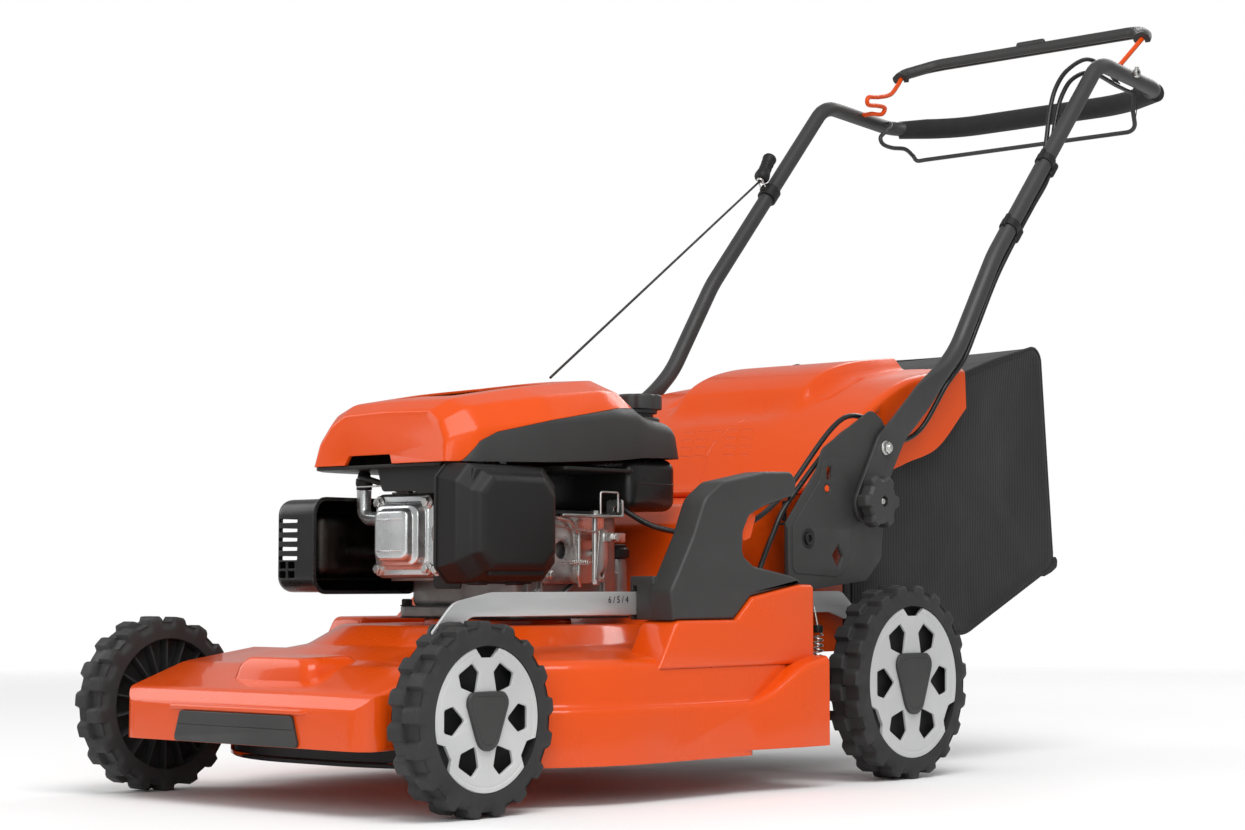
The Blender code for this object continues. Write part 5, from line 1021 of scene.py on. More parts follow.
def hood(wall):
    """The engine's whole top moulding, before it is parted into cover and shroud."""
    rows = [list(row) for row in HOOD]
    if wall:
        # Each row of the inside moves along Y by the share of the wall that its slope asks for.
        rows[0][0] += wall
        for index, share in ((1, -0.5), (4, 0.5), (5, 1), (6, 0.5), (7, 1)):
            rows[index][0] -= wall * share
        return loft([hood_ring(row, wall, 3) for row in rows])
    # A drawn-in row at each end rounds the edges of the front and the rear.
    nose, tail = list(rows[0]), list(rows[-1])
    for end in (nose, tail):
        for index in range(2, 10, 2):
            end[index] -= 0.006
        for index in range(5, 10, 2):
            end[index] -= 0.005
    return loft([hood_ring(row, 0, 8) for row in eased([nose, *rows, tail], 0.012, 7)])


def parting(lift):
    """The space above the line where the orange cover meets the dark shroud."""
    line = [(-0.7, 0.361), (-0.575, 0.3625), (-0.555, 0.385), (-0.53, 0.396), (-0.45, 0.4125),
            (-0.334, 0.432), (-0.29, 0.4345), (-0.2, 0.4345)]
    line = outline([(y, z + lift) for y, z in line] + [(-0.2, 0.6), (-0.7, 0.6)],
                   [0, 0.008, 0.012, 0.02, 0.1, 0.05, 0.02, 0, 0, 0])
    return slab([line], -0.2, 0.2, "X")


GRILLE_HALF, GRILLE_Y = 0.058, (-0.522, -0.372)


def grille_window(grow):
    low, high = GRILLE_Y[0] - grow, GRILLE_Y[1] + grow
    half = GRILLE_HALF + grow
    corners = [(-half * 0.86, low), (half * 0.86, low), (half, high), (-half, high)]
    return outline(corners, 0.008, 5)


def engine_cover():
    cover = combined(hood(0), [parting(0.0004)], "INTERSECT")
    notch = slab([outline([(-0.056, 0.34), (-0.056, 0.36), (-0.049, 0.3735), (0.017, 0.3735),
                           (0.024, 0.36), (0.024, 0.34)], [0, 0.003, 0.003, 0.003, 0.003, 0], 3)],
                 -0.62, -0.57, "Y")
    rope_hole = rod((-0.02, -0.3, 0.462), (-0.02, -0.272, 0.49), 0.008)
    cover = cut(cover, hood(SHEET), slab([grille_window(0)], 0.4, 0.5, "Z"), notch, rope_hole)
    return softened(cover, 0.0007, 2, 50)


def shroud():
    neck = rod(FUEL_NECK - Z * 0.06, FUEL_NECK + Z * 0.02, FUEL_NECK_R + GAP, 48)
    low = cut(hood(0), parting(0), hood(SHEET), neck)
    ring = turned([(FUEL_NECK_R + GAP, 0.0045), (FUEL_NECK_R + 0.0055, 0.0045), (FUEL_NECK_R + 0.007, 0.003),
                   (FUEL_NECK_R + 0.0075, -0.004), (FUEL_NECK_R + GAP, -0.004)], Z,
                  Vector((FUEL_NECK.x, FUEL_NECK.y, 0.4225)), 48, True)
    return softened(grouped(low, ring), 0.0006, 2, 50)


def cover_grille():
    """The recessed dark panel in the hood, pierced by a lattice of crossing bars."""
    slope = atan2(0.462 - 0.441, GRILLE_Y[1] - GRILLE_Y[0])
    middle = Vector((0, sum(GRILLE_Y) / 2, 0.4478))
    columns, rows = 4, 8
    wide, high = 0.048 / columns, 0.066 / rows
    holes = []
    for i in range(-columns, columns + 1):
        for j in range(-rows, rows + 1):
            if (i + j) % 2:
                continue
            u, v = i * wide, j * high
            diamond = [(u + wide * 0.8, v), (u, v + high * 0.8), (u - wide * 0.8, v), (u, v - high * 0.8)]
            limit = 0.0485 + (v / 0.066) * 0.0015
            holes.append([(a, b) for a, b in diamond if abs(a) <= limit and abs(b) <= 0.0665])
    panel = slab([grille_window(-0.0008), *[[(a, b + middle.y) for a, b in hole] for hole in holes
                                            if len(hole) > 2]], -0.0028, 0, "Z", 0.0004, 1)
    return moved(panel, middle, Matrix.Rotation(slope, 4, "X") @ Matrix.Translation(-Y * middle.y))


def engine_block():
    """Crankcase, finned cylinder and head, with the ribs and flange of a die casting."""
    base = ENGINE_BASE_Z
    plan = outline(rectangle(-0.095, -0.475, 0.1, -0.27), 0.02, 8)
    flange = slab([plan], base + 0.0014, base + 0.014, "Z", 0.0018, 2)
    case = block((-0.08, -0.465, base + 0.01), (CASE_SIDE_X, -0.285, TANK_LOW_Z - GAP), 0.012, 5)
    bearing = turned([(0, PLATE_TOP_Z - 0.004), (0.04, PLATE_TOP_Z - 0.004), (0.048, 0.314), (0, 0.314)], Z,
                     Vector((0, ENGINE_Y, 0)), 48)
    cylinder = block((-0.036, HEAD_Y + 0.01, VALVE_Z - 0.036), (0.036, -0.44, VALVE_Z + 0.036), 0.004)
    head = block((-HEAD_HALF, HEAD_Y, VALVE_Z - 0.047),
                 (HEAD_HALF, HEAD_Y + 0.018, VALVE_Z + 0.047), 0.005, 4)
    fins = [block((-0.05, HEAD_Y + y, VALVE_Z - 0.05), (0.05, HEAD_Y + y + 0.0022, VALVE_Z + 0.05), 0.0008, 2)
            for y in (0.0235, 0.03, 0.0365, 0.043, 0.0495, 0.056, 0.0625)]
    filler = rod((OIL_NECK.x, OIL_NECK.y, base + 0.012), OIL_NECK - Z * 0.0002, OIL_NECK_R, 32, 0.0015)
    rib = block((OIL_NECK.x - 0.01, -0.295, base + 0.012), (OIL_NECK.x + 0.01, OIL_NECK.y, 0.245), 0.002)
    ribs = []
    for y in (-0.446, -0.424, -0.318):
        ribs.append(block((CASE_SIDE_X - 0.003, y, base + 0.008), (CASE_SIDE_X + 0.006, y + 0.004, 0.3),
                          0.0012, 2))
    for low, high in (((-0.44, 0.212), (-0.33, 0.296)), ((-0.4, 0.21), (-0.316, 0.262))):
        run = Vector((0, high[0] - low[0], high[1] - low[1]))
        bar = block((-0.0035, 0, -0.0018), (0.0045, run.length, 0.0018), 0.0012, 2)
        ribs.append(moved(bar, (CASE_SIDE_X, *low), Matrix.Rotation(atan2(run.z, run.y), 4, "X")))
    mass = joined(case, flange, bearing, cylinder, head, *fins, filler, rib, *ribs)
    bore = rod((0, ENGINE_Y, base - 0.01), (0, ENGINE_Y, HOOD_RIM_Z + 0.01), 0.0129, 32)
    dip_hole = rod(OIL_NECK - Z * 0.04, OIL_NECK + Z * 0.01, 0.005, 16)
    return cut(mass, bore, dip_hole)


def blower_plate():
    corners = [(-0.1335, -0.53), (-0.127, -0.558), (-0.104, -0.588), (0.094, -0.588), (0.094, -0.43),
               (0.1335, -0.43), (0.1335, PLATE_REAR_Y), (-0.1335, PLATE_REAR_Y)]
    plan = outline(corners, [0.01, 0.02, 0.012, 0.006, 0.006, 0.006, 0.004, 0.004], 5)
    plate = slab([plan, circle(0, ENGINE_Y, 0.0405, 48)], PLATE_TOP_Z - 0.004, PLATE_TOP_Z, "Z", 0.0008, 2)
    # The skirt of the blower housing that hangs behind the notch in the cover.
    wall = slab([outline([(-0.012, 0.3595), (0.088, 0.3595), (0.088, 0.3285), (0.036, 0.333),
                          (-0.004, 0.333)],
                         [0, 0, 0.006, 0.008, 0.006], 4)], -0.579, -0.5765, "Y")
    side = block((0.086, -0.578, 0.3285), (0.0885, -0.47, 0.36), 0.0008, 2)
    return grouped(plate, wall, side)


def rounded_ring(half_u, half_v, radius, y):
    corners = rectangle(-half_u, VALVE_Z - half_v, half_u, VALVE_Z + half_v)
    return filleted([(u, y, v) for u, v in corners], radius, 8)


def valve_cover():
    """The pressed rocker cover: a flange with four ears round a deep-drawn box with a pillow."""
    seat = HEAD_Y - GAP
    plan = outline(rectangle(-0.046, -0.044, 0.046, 0.044), 0.01, 6)
    flange = slab([[(u, v + VALVE_Z) for u, v in plan]], seat - 0.004, seat, "Y", 0.0012, 3)
    rows = [(0.0405, 0.0385, 0.012, 0.003), (0.0385, 0.0365, 0.012, 0.0055), (0.036, 0.0345, 0.012, 0.0062),
            (0.0345, 0.0335, 0.012, 0.016), (0.0275, 0.0292, 0.01, 0.0172), (0.0264, 0.0282, 0.01, 0.0235),
            (0.0235, 0.0255, 0.009, 0.0262), (0.01, 0.015, 0.006, 0.0264)]
    body = loft([rounded_ring(u, v, r, seat - d) for u, v, r, d in eased(rows, 0.0022, 3)])
    bars = [block((-0.02, seat - 0.0272, z - 0.0007), (0.02, seat - 0.0255, z + 0.0007), 0.0005, 2)
            for z in (VALVE_Z - 0.0175, VALVE_Z + 0.0175)]
    return joined(flange, body, *bars)


def corner_bolts():
    made = []
    for u in (-1, 1):
        for v in (-1, 1):
            place = Vector((u * 0.0385, HEAD_Y - GAP - 0.0038, VALVE_Z + v * 0.0368))
            made.append(turned([(0, 0.0022), (0.0072, 0.0022), (0.008, 0.0012), (0.0082, 0), (0, 0)], -Y,
                               place, 28))
            made.append(hex_bolt(place - Y * 0.0021, -Y, 0.0095, 0.004, 0.0062))
    return grouped(*made)


GUARD_X, GUARD_Y, GUARD_Z = (-0.155, -0.085), (-0.605, -0.445), (0.222, 0.327)
MUFFLER_X = (-0.14, -0.1)


def muffler():
    box = block((MUFFLER_X[0], -0.585, 0.238), (MUFFLER_X[1], -0.47, 0.312), 0.014, 6)
    seam = block((-0.1212, -0.5875, 0.2355), (-0.1188, -0.4675, 0.3145), 0.0009, 2)
    outlet = rod((MUFFLER_X[1] - 0.004, HEAD_Y + 0.009, VALVE_Z - 0.018),
                 (-HEAD_HALF - GAP, HEAD_Y + 0.009, VALVE_Z - 0.018), 0.008)
    studs = [rod((MUFFLER_X[0] + 0.002, y, 0.275), (GUARD_X[0] + 0.002 + GAP, y, 0.275), 0.005, 6)
             for y in (-0.56, -0.495)]
    return joined(box, seam, outlet, *studs)


def muffler_guard():
    """A pressed cover, open towards the engine, slotted round its front outer edge."""
    (x0, x1), (y0, y1), (z0, z1) = GUARD_X, GUARD_Y, GUARD_Z

    def shape(inset, reach):
        rows = [(0.016, 0), (0.0025, 0.004), (0, 0.01), (0, reach)]
        rings = []
        for shrink, along in eased(rows, 0.004, 4):
            a, b, c, d = y0 + inset + shrink, y1 - inset - shrink, z0 + inset + shrink, z1 - inset - shrink
            x = x0 + inset + along
            rings.append(outline3(x, rectangle(a, c, b, d), max(0.018 - inset - shrink, 0.006), 7))
        return loft(rings)

    outer = shape(0, x1 - x0)
    rim = loft([outline3(x, rectangle(y0 - g, z0 - g, y1 + g, z1 + g), 0.019, 7)
                for x, g in ((x1 - 0.004, -0.0004), (x1 - 0.0025, 0.002), (x1, 0.002))])
    slots = []
    for row in range(5):
        z = z1 - 0.022 - 0.0105 * row
        slots.append(block((x0 + 0.0075, y0 - 0.01, z - 0.0047), (x0 + 0.04, y0 + 0.006, z), 0.0012, 2))
        slots.append(block((x0 - 0.01, y0 + 0.0095, z - 0.0047), (x0 + 0.006, y0 + 0.036, z), 0.0012, 2))
    for z in (z0 + 0.016, z0 + 0.0265):
        for low in (0.009, 0.024):
            slots.append(block((x0 + low, y0 - 0.01, z), (x0 + low + 0.012, y0 + 0.006, z + 0.008),
                               0.0015, 2))
    shell = cut(joined(outer, rim), shape(0.002, x1 - x0 + 0.02))
    return cut(shell, *slots)


FILTER_X, FILTER_Y, FILTER_Z = 0.0978, -0.5185, 0.2975


def filter_ring(x, half_y, half_z, flat_y, flat_z):
    """An eight-sided ring; the halves of its level and upright sides are flat_y and flat_z long."""
    ring = []
    for u, v in ((-1, -1), (1, -1), (1, 1), (-1, 1)):
        flat = Vector((x, FILTER_Y + u * flat_y, FILTER_Z + v * half_z))
        upright = Vector((x, FILTER_Y + u * half_y, FILTER_Z + v * flat_z))
        ring += [upright, flat] if u == v else [flat, upright]
    return filleted(ring, 0.004, 4)


def air_filter_cover():
    """An eight-sided moulded box with a raised panel on its outer face."""
    rows = [(0.08, 0.0625, 0.014, FILTER_X), (0.0815, 0.0645, 0.016, 0.104), (0.078, 0.063, 0.02, 0.128),
            (0.064, 0.054, 0.02, 0.138), (0.059, 0.05, 0.018, 0.1465), (0.052, 0.044, 0.015, 0.15),
            (0.02, 0.015, 0.006, 0.1503)]
    body = loft([filter_ring(x, half_y, half_z, half_y - chamfer, half_z - chamfer)
                 for half_y, half_z, chamfer, x in eased(rows, 0.0032, 4)])
    low = loft([outline3(x, [(-0.56 + g, 0.2395 + g), (-0.468 - g, 0.2395 + g), (-0.476 - g, 0.256 - g),
                             (-0.552 + g, 0.256 - g)], 0.003)
                for x, g in ((0.127, 0), (0.14, 0), (0.1415, 0.0015))])
    tab = loft([outline3(x, [(-0.575 + g, 0.356 - g), (-0.545 - g, 0.356 - g), (-0.538 - g, 0.334 + g),
                             (-0.582 + g, 0.334 + g)], 0.004)
                for x, g in ((0.12, 0), (0.1345, 0), (0.136, 0.0015))])
    clips = [block((0.105, y, 0.23), (0.122, y + 0.016, 0.236), 0.0015, 3) for y in (-0.556, -0.498)]
    return joined(body, low, tab, *clips)


def filter_seam():
    return loft([filter_ring(x, 0.0812 + grow, 0.064 + grow, 0.066, 0.049)
                 for grow, x in ((0.0012, 0.1008), (0.002, 0.1014), (0.002, 0.103), (0.0012, 0.1036))])


def carburettor():
    y, z = HEAD_Y + 0.008, VALVE_Z + 0.002
    start, end = HEAD_HALF + GAP, FILTER_X - GAP
    barrel = turned([(0, end), (0.018, end), (0.018, end - 0.005), (0.013, end - 0.005),
                     (0.013, start + 0.005), (0.017, start + 0.005), (0.017, start), (0, start)], X,
                    Vector((0, y, z)), 32)
    bowl = turned([(0, 0.003), (0.014, 0.003), (0.0145, 0.002), (0.014, -0.024), (0.011, -0.029),
                   (0.003, -0.03), (0.003, -0.033), (0, -0.033)], Z, Vector((0.073, y, z - 0.01)), 32)
    return joined(barrel, bowl)


PLUG_X, PLUG_Y = -0.0745, HEAD_Y + 0.004


def plug_shield():
    """The bright sleeve over the plug, bent down into the head."""
    z = VALVE_Z + 0.02
    path = filleted([(-HEAD_HALF - GAP, PLUG_Y, z), (PLUG_X, PLUG_Y, z), (PLUG_X, PLUG_Y, 0.337)], 0.014, 10,
                    closed=False)
    return pipe(path, 0.008, 6, [0.86] + [1.0] * (len(path) - 2) + [1.04])


def plug_boot():
    profile = [(0, 0.3584), (0.006, 0.3584), (0.0072, 0.356), (0.0072, 0.3515), (0.0095, 0.35),
               (0.0098, 0.344), (0.0088, 0.342), (0.0088, 0.3376), (0, 0.3376)]
    return turned(profile, Z, Vector((PLUG_X, PLUG_Y, 0)), 32)


def plug_lead():
    y = PLUG_Y
    return pipe(smooth_path([(PLUG_X, y - 0.003, 0.35), (-0.062, y - 0.016, 0.3515),
                             (-0.03, y - 0.0215, 0.345), (0.005, y - 0.024, 0.336),
                             (0.028, y - 0.025, 0.333)]), 0.0035, 4)


FACE_X = CASE_SIDE_X + GAP


def control_bracket():
    """The bent plate on the crankcase that holds the cable's end."""
    side = outline([(-0.425, 0.232), (-0.345, 0.232), (-0.322, 0.262), (-0.322, 0.31), (-0.425, 0.31)],
                   0.004, 4)
    plate = slab([side, circle(-0.395, 0.27, 0.01)], FACE_X + 0.0062, FACE_X + 0.0092, "X", 0.0004, 1)
    shelf = block((FACE_X, -0.425, 0.307), (FACE_X + 0.04, -0.322, 0.31), 0.0008, 2)
    tab = slab([outline([(FACE_X + 0.016, 0.308), (FACE_X + 0.04, 0.308), (FACE_X + 0.04, 0.3285),
                         (FACE_X + 0.016, 0.3285)], [0, 0, 0.004, 0.004], 4),
                circle(FACE_X + 0.0302, 0.317, 0.0036)], -0.325, -0.322, "Y", 0.0004, 1)
    return joined(plate, shelf, tab)


def engine_levers():
    """Spindle, upright lever plate, clamp, hook wire and the small bolts on the bracket."""
    x = FACE_X + 0.022
    made = [rod((x, -0.352, 0.236), (x, -0.352, 0.3066), 0.0035, 20, 0.0005),
            slab([outline([(-0.357, 0.236), (-0.344, 0.233), (-0.337, 0.256), (-0.337, 0.293),
                           (-0.35, 0.295)], 0.003, 4), circle(-0.3465, 0.242, 0.003, 20)],
                 x + 0.0045, x + 0.0065, "X", 0.0003, 1),
            block((x - 0.001, -0.344, 0.279), (x + 0.011, -0.311, 0.29), 0.0012, 2),
            hex_bolt((x + 0.011, -0.332, 0.2845), X, 0.0075, 0.0035, 0.005),
            hex_bolt((x, -0.352, 0.3103), Z, 0.008, 0.004, 0.0058),
            hex_bolt((x + 0.001, -0.352, 0.236), -Z, 0.008, 0.0045, 0.006),
            *[hex_bolt((FACE_X + 0.0092, y, z), X, 0.008, 0.004, 0.006)
              for y, z in ((-0.414, 0.242), (-0.414, 0.299), (-0.34, 0.266))]]
    wire = filleted([(x + 0.016, -0.36, 0.3108), (x + 0.016, -0.36, 0.336), (x + 0.016, -0.33, 0.336),
                     (x + 0.016, -0.33, 0.3135)], 0.003, 4, closed=False)
    made.append(pipe(wire, 0.0013, 3))
    link = smooth_path([(x + 0.004, -0.342, 0.29), (x + 0.004, -0.39, 0.293), (x - 0.004, -0.43, 0.3),
                        (x - 0.004, -0.456, 0.3015)], 6)
    made.append(pipe(link, 0.0011, 3))
    brace = filleted([(FACE_X + 0.0095, -0.402, 0.3068), (FACE_X + 0.015, -0.386, 0.304),
                      (FACE_X + 0.015, -0.372, 0.29), (FACE_X + 0.015, -0.372, 0.24),
                      (FACE_X + 0.0095, -0.364, 0.229)], 0.01, 6, closed=False)
    made.append(pipe(brace, 0.0024, 4))
    coil_r, turns = 0.0028, 9
    curls = []
    for step in range(turns * 12 + 1):
        angle = 2 * pi * step / 12
        curls.append((x - 0.002 + coil_r * cos(angle), -0.39 + 0.028 * step / (turns * 12),
                      0.256 + coil_r * sin(angle)))
    made.append(pipe([(x - 0.002, -0.406, 0.256), (x + 0.0008, -0.392, 0.256), *curls,
                      (x - 0.001, -0.355, 0.257)], 0.0006, 2))
    return grouped(*made)


def idle_rod():
    """The thin rod and the small bracket between the plug and the filter."""
    y = HEAD_Y - 0.022
    rail = pipe([(-0.058, y, 0.34), (0.074, y, 0.34)], 0.001, 3)
    plate = block((0.074, y - 0.0015, 0.322), (0.085, y + 0.0005, 0.348), 0.0006, 2)
    cap = rod((0.0795, y - 0.002, 0.344), (0.0795, y - 0.0055, 0.344), 0.0042, 20, 0.0008)
    foot = slab([outline(rectangle(0.056, 0.24, 0.064, 0.268), 0.003, 4)],
                HEAD_Y - 0.012, HEAD_Y - 0.0098, "Y")
    return grouped(rail, plate, cap, foot, hex_bolt((0.06, HEAD_Y - 0.012, 0.2465), -Y, 0.0085, 0.004, 0.006))


def side_plate():
    """The black plate between the valve cover and the filter, with its notch."""
    edge = [(0.052, 0.226), (0.094, 0.226), (0.094, 0.356), (0.052, 0.356), (0.052, 0.301),
            (0.06, 0.298), (0.06, 0.286), (0.052, 0.283)]
    return slab([outline(edge, [0.006, 0.003, 0.003, 0.004, 0.003, 0.003, 0.003, 0.003], 4)],
                HEAD_Y - 0.0095, HEAD_Y - 0.007, "Y", 0.0005, 2)


def fuel_tank():
    body = block((-0.12, PLATE_REAR_Y + GAP, TANK_LOW_Z), (0.126, -0.226, TANK_TOP_Z), 0.014, 6)
    front, rear = PLATE_REAR_Y + 0.0012, -0.2256
    seam = slab([outline(rectangle(-0.1204, front, 0.1264, rear), 0.0144, 6)], 0.3462, 0.348, "Z", 0.0003)
    neck = rod((FUEL_NECK.x, FUEL_NECK.y, TANK_TOP_Z - 0.005), FUEL_NECK, FUEL_NECK_R, 48, 0.001)
    mouth = rod(FUEL_NECK - Z * 0.03, FUEL_NECK + Z * 0.01, 0.014, 32)
    return cut(joined(body, seam, neck), mouth)


def fuel_cap():
    """A cap with six broad finger grips that closes over the neck."""
    rings = []
    for height, shrink in eased([(-0.0035, 0.0018), (-0.003, 0.0), (0.0125, 0.0), (0.0145, 0.002),
                                 (0.0146, 0.012)], 0.0012, 3):
        # The innermost ring of the top is round.
        depth = 0.085 if shrink < 0.01 else 0
        ring = lobed(FUEL_NECK.x, FUEL_NECK.y,
                     lambda angle: (FUEL_CAP_R - shrink) * (1 - depth * max(0.0, cos(6 * angle)) ** 2), 96)
        rings.append([Vector((u, v, FUEL_NECK.z + GAP + height)) for u, v in ring])
    collar = turned([(0, 0), (0.0225, 0), (0.0225, -0.007), (0.0217, -0.008), (0, -0.008)], Z,
                    FUEL_NECK + Z * GAP, 48)
    recess = rod(FUEL_NECK - Z * 0.02, FUEL_NECK + Z * GAP, FUEL_NECK_R + GAP, 48)
    return cut(joined(loft(rings), collar), recess)


def oil_cap():
    grip = block((-0.0045, -0.014, 0.01), (0.0045, 0.014, 0.016), 0.0015, 3)
    tail = [(0, 0.012), (0.013, 0.012), (0.0155, 0.01), (0.016, 0.0085), (0.016, 0.0008), (0.015, GAP),
            (0.004, GAP), (0.004, -0.036), (0, -0.036)]
    return joined(turned(tail, Z, OIL_NECK, 32), moved(grip, OIL_NECK))


def base_bolts():
    top = ENGINE_BASE_Z + 0.014
    return grouped(*[hex_bolt((x, y, top - 0.0002), Z, 0.011, 0.007, 0.008)
                     for x, y in ((-0.084, -0.464), (0.089, -0.464), (0.089, -0.281), (-0.084, -0.281))])


def base_gasket():
    plan = outline(rectangle(-0.0958, -0.4758, 0.1008, -0.2692), 0.0206, 8)
    return slab([plan, circle(0, ENGINE_Y, 0.045, 48)], ENGINE_BASE_Z, ENGINE_BASE_Z + 0.0013, "Z")


# Height bar, brackets and height grip

LINK_X, LINK_SHEET, LINK_HEIGHT, LINK_Z = 0.2135, 0.003, 0.025, 0.2105
LINK_OFFSET = Vector((0, 0.03, 0.085))
TOWER_LOW_Z, TOWER_HIGH_Z, TOWER_REAR_Y = 0.192, 0.231, -0.16
BRACKET_X, BRACKET_SHEET, FOOT_SHEET = 0.2315, 0.003, 0.005
FOOT_X = BRACKET_X + BRACKET_SHEET + GAP
HANDLE_PIVOT = Vector((0, 0.033, 0.398))
KNOB_CENTRE = Vector((0, -0.003, 0.331))
FLAP_HINGE = Vector((0, -0.08, 0.345))
STUD_R, PIN_HOLE_R = 0.004, 0.0044
BRACKET_BOLT_Y, BRACKET_BOLT_Z = -0.118, 0.285
GRIP_X = (0.238, 0.272)
SPRING_X, SPRING_Y = 0.2235, -0.0845
SPRING_BOLT = Vector((SPRING_X, -0.0725, 0.1015))


def link_bar():
    """The silver bar that turns both cranks together."""
    front_eye, rear_eye = FRONT_PIVOT + LINK_OFFSET, REAR_PIVOT + LINK_OFFSET
    low, high = LINK_Z - LINK_HEIGHT / 2, LINK_Z + LINK_HEIGHT / 2
    front, rear = front_eye.y, rear_eye.y
    line = [(front - 0.0105, front_eye.z), (front - 0.004, front_eye.z - 0.0105),
            (front + 0.008, front_eye.z - 0.0095), (front + 0.045, low), (rear - 0.04, low),
            (rear - 0.008, rear_eye.z - 0.0105), (rear + 0.0105, rear_eye.z - 0.006),
            (rear + 0.0105, rear_eye.z + 0.004), (rear - 0.015, high), (front + 0.075, high),
            (front + 0.02, high - 0.01)]
    line = outline(line, [0.004, 0.004, 0.008, 0.02, 0.01, 0.006, 0.004, 0.004, 0.02, 0.06, 0.03], 8)
    holes = [circle(eye.y, eye.z, PIN_HOLE_R) for eye in (front_eye, rear_eye)]
    return slab([line, *holes], LINK_X, LINK_X + LINK_SHEET, "X", 0.0006, 2)


def height_scale():
    """The plain numbers of the cutting heights, on the bar just ahead of the grip's gate."""
    curve = bpy.data.curves.new("scale", "FONT")
    curve.body = "6 / 5 / 4"
    curve.size = 0.0105
    curve.extrude = 0.0001
    curve.resolution_u = 4
    obj = bpy.data.objects.new("scale", curve)
    ROOM.objects.link(obj)
    place = (LINK_X + LINK_SHEET + 0.0002, -0.4515, LINK_Z + 0.0005)
    obj.matrix_world = Matrix.Translation(place) @ facing(Y, Z, X)
    return settled(obj)


def bracket_outline():
    front = TOWER_REAR_Y + GAP
    line = [(front, 0.098), (front, 0.302), (-0.098, 0.368), (-0.088, 0.392), (0.012, 0.444), (0.037, 0.432),
            (0.045, 0.38), (0.03, 0.262), (0.0, 0.236), (-0.112, 0.2245), (-0.112, 0.138), (-0.078, 0.131),
            (-0.032, 0.134), (-0.022, 0.108), (-0.042, 0.096)]
    radii = [0.002, 0.004, 0.012, 0.02, 0.014, 0.014, 0.01, 0.01, 0.01, 0.004, 0.003, 0.003, 0.003, 0.01,
             0.008]
    return outline(line, radii, 6)


def handle_bracket():
    """The left plate that carries the handle, the flap's pin and the drive shaft."""
    low, high = BRACKET_X, BRACKET_X + BRACKET_SHEET
    front = TOWER_REAR_Y + GAP
    slot_r = STUD_R + 0.0006
    reach = (KNOB_CENTRE - HANDLE_PIVOT).length
    start = 180 + atan2(HANDLE_PIVOT.z - KNOB_CENTRE.z, HANDLE_PIVOT.y - KNOB_CENTRE.y) * 180 / pi
    arc = [start + (300 - start) * step / 12 for step in range(13)]
    slot = [around(HANDLE_PIVOT, reach + slot_r, angle) for angle in arc]
    slot += [around(HANDLE_PIVOT, reach - slot_r, angle) for angle in reversed(arc)]
    window = outline([(-0.07, 0.266), (-0.059, 0.278), (-0.05, 0.264), (-0.06, 0.25)], 0.002, 4)
    plate = slab([bracket_outline(), outline(rectangle(-0.08, 0.356, -0.0705, 0.371), 0.0012, 3), window,
                  circle(REAR_PIVOT.y, REAR_PIVOT.z, 0.0084, 32),
                  circle(FLAP_HINGE.y, FLAP_HINGE.z, PIN_HOLE_R)], low, high, "X", 0.0006, 2)
    flange = block((low, front, 0.11), (low + 0.03, front + 0.003, 0.222), 0.001, 2)
    lip = block((low, front, 0.2245), (high + 0.0035, front + 0.0045, 0.299), 0.002, 4)
    press = outline([(-0.148, 0.244), (-0.148, 0.299), (-0.093, 0.356), (-0.086, 0.38), (-0.064, 0.383),
                     (-0.036, 0.345), (-0.033, 0.296), (-0.042, 0.25), (-0.06, 0.24)], 0.01, 6)
    # A low step pressed into the plate, which stiffens it round the bolts.
    step_up = slab([press, circle(BRACKET_BOLT_Y, BRACKET_BOLT_Z, 0.0125, 32),
                    outline(rectangle(-0.0815, 0.3545, -0.069, 0.3725), 0.002, 3),
                    outline([(-0.072, 0.266), (-0.059, 0.2805), (-0.0478, 0.264), (-0.06, 0.2475)], 0.002, 4),
                    circle(FLAP_HINGE.y, FLAP_HINGE.z, 0.0065)], high - 0.0005, high + 0.001, "X", 0.0004, 2)
    slot_room = slab([slot], low - 0.01, high + 0.004, "X")
    slot_end = cross_rod(KNOB_CENTRE, low - 0.01, high + 0.01, slot_r)
    return cut(joined(plate, flange, lip, step_up), slot_room, slot_end)


def bracket_bolt():
    """The star bolt in the bracket's pressed recess."""
    place = Vector((BRACKET_X + BRACKET_SHEET - 0.0004, BRACKET_BOLT_Y, BRACKET_BOLT_Z))
    star = lobed(place.y, place.z, lambda angle: 0.004 + 0.0007 * cos(6 * angle), 48)
    washer = turned([(0.0112, 0.0006), (0.0102, 0.0014), (0.008, 0.0014), (0.0078, 0.0008), (0.0078, 0),
                     (0.0112, 0)],
                    X, place, 36, True)
    head = slab([circle(place.y, place.z, 0.0076, 32), star], place.x, place.x + 0.004, "X", 0.0006, 2)
    return grouped(washer, head)


def pivot_nut():
    """The bright bolt and nut that the handle folds on."""
    x = BRACKET_X + BRACKET_SHEET
    place = HANDLE_PIVOT + X * (FOOT_X + FOOT_SHEET + GAP)
    shank = cross_rod(HANDLE_PIVOT, x - 0.001, x + 0.0145, 0.004, edge=0.0008)
    return grouped(shank, hex_bolt(place, X, 0.013, 0.0055, 0.0088))


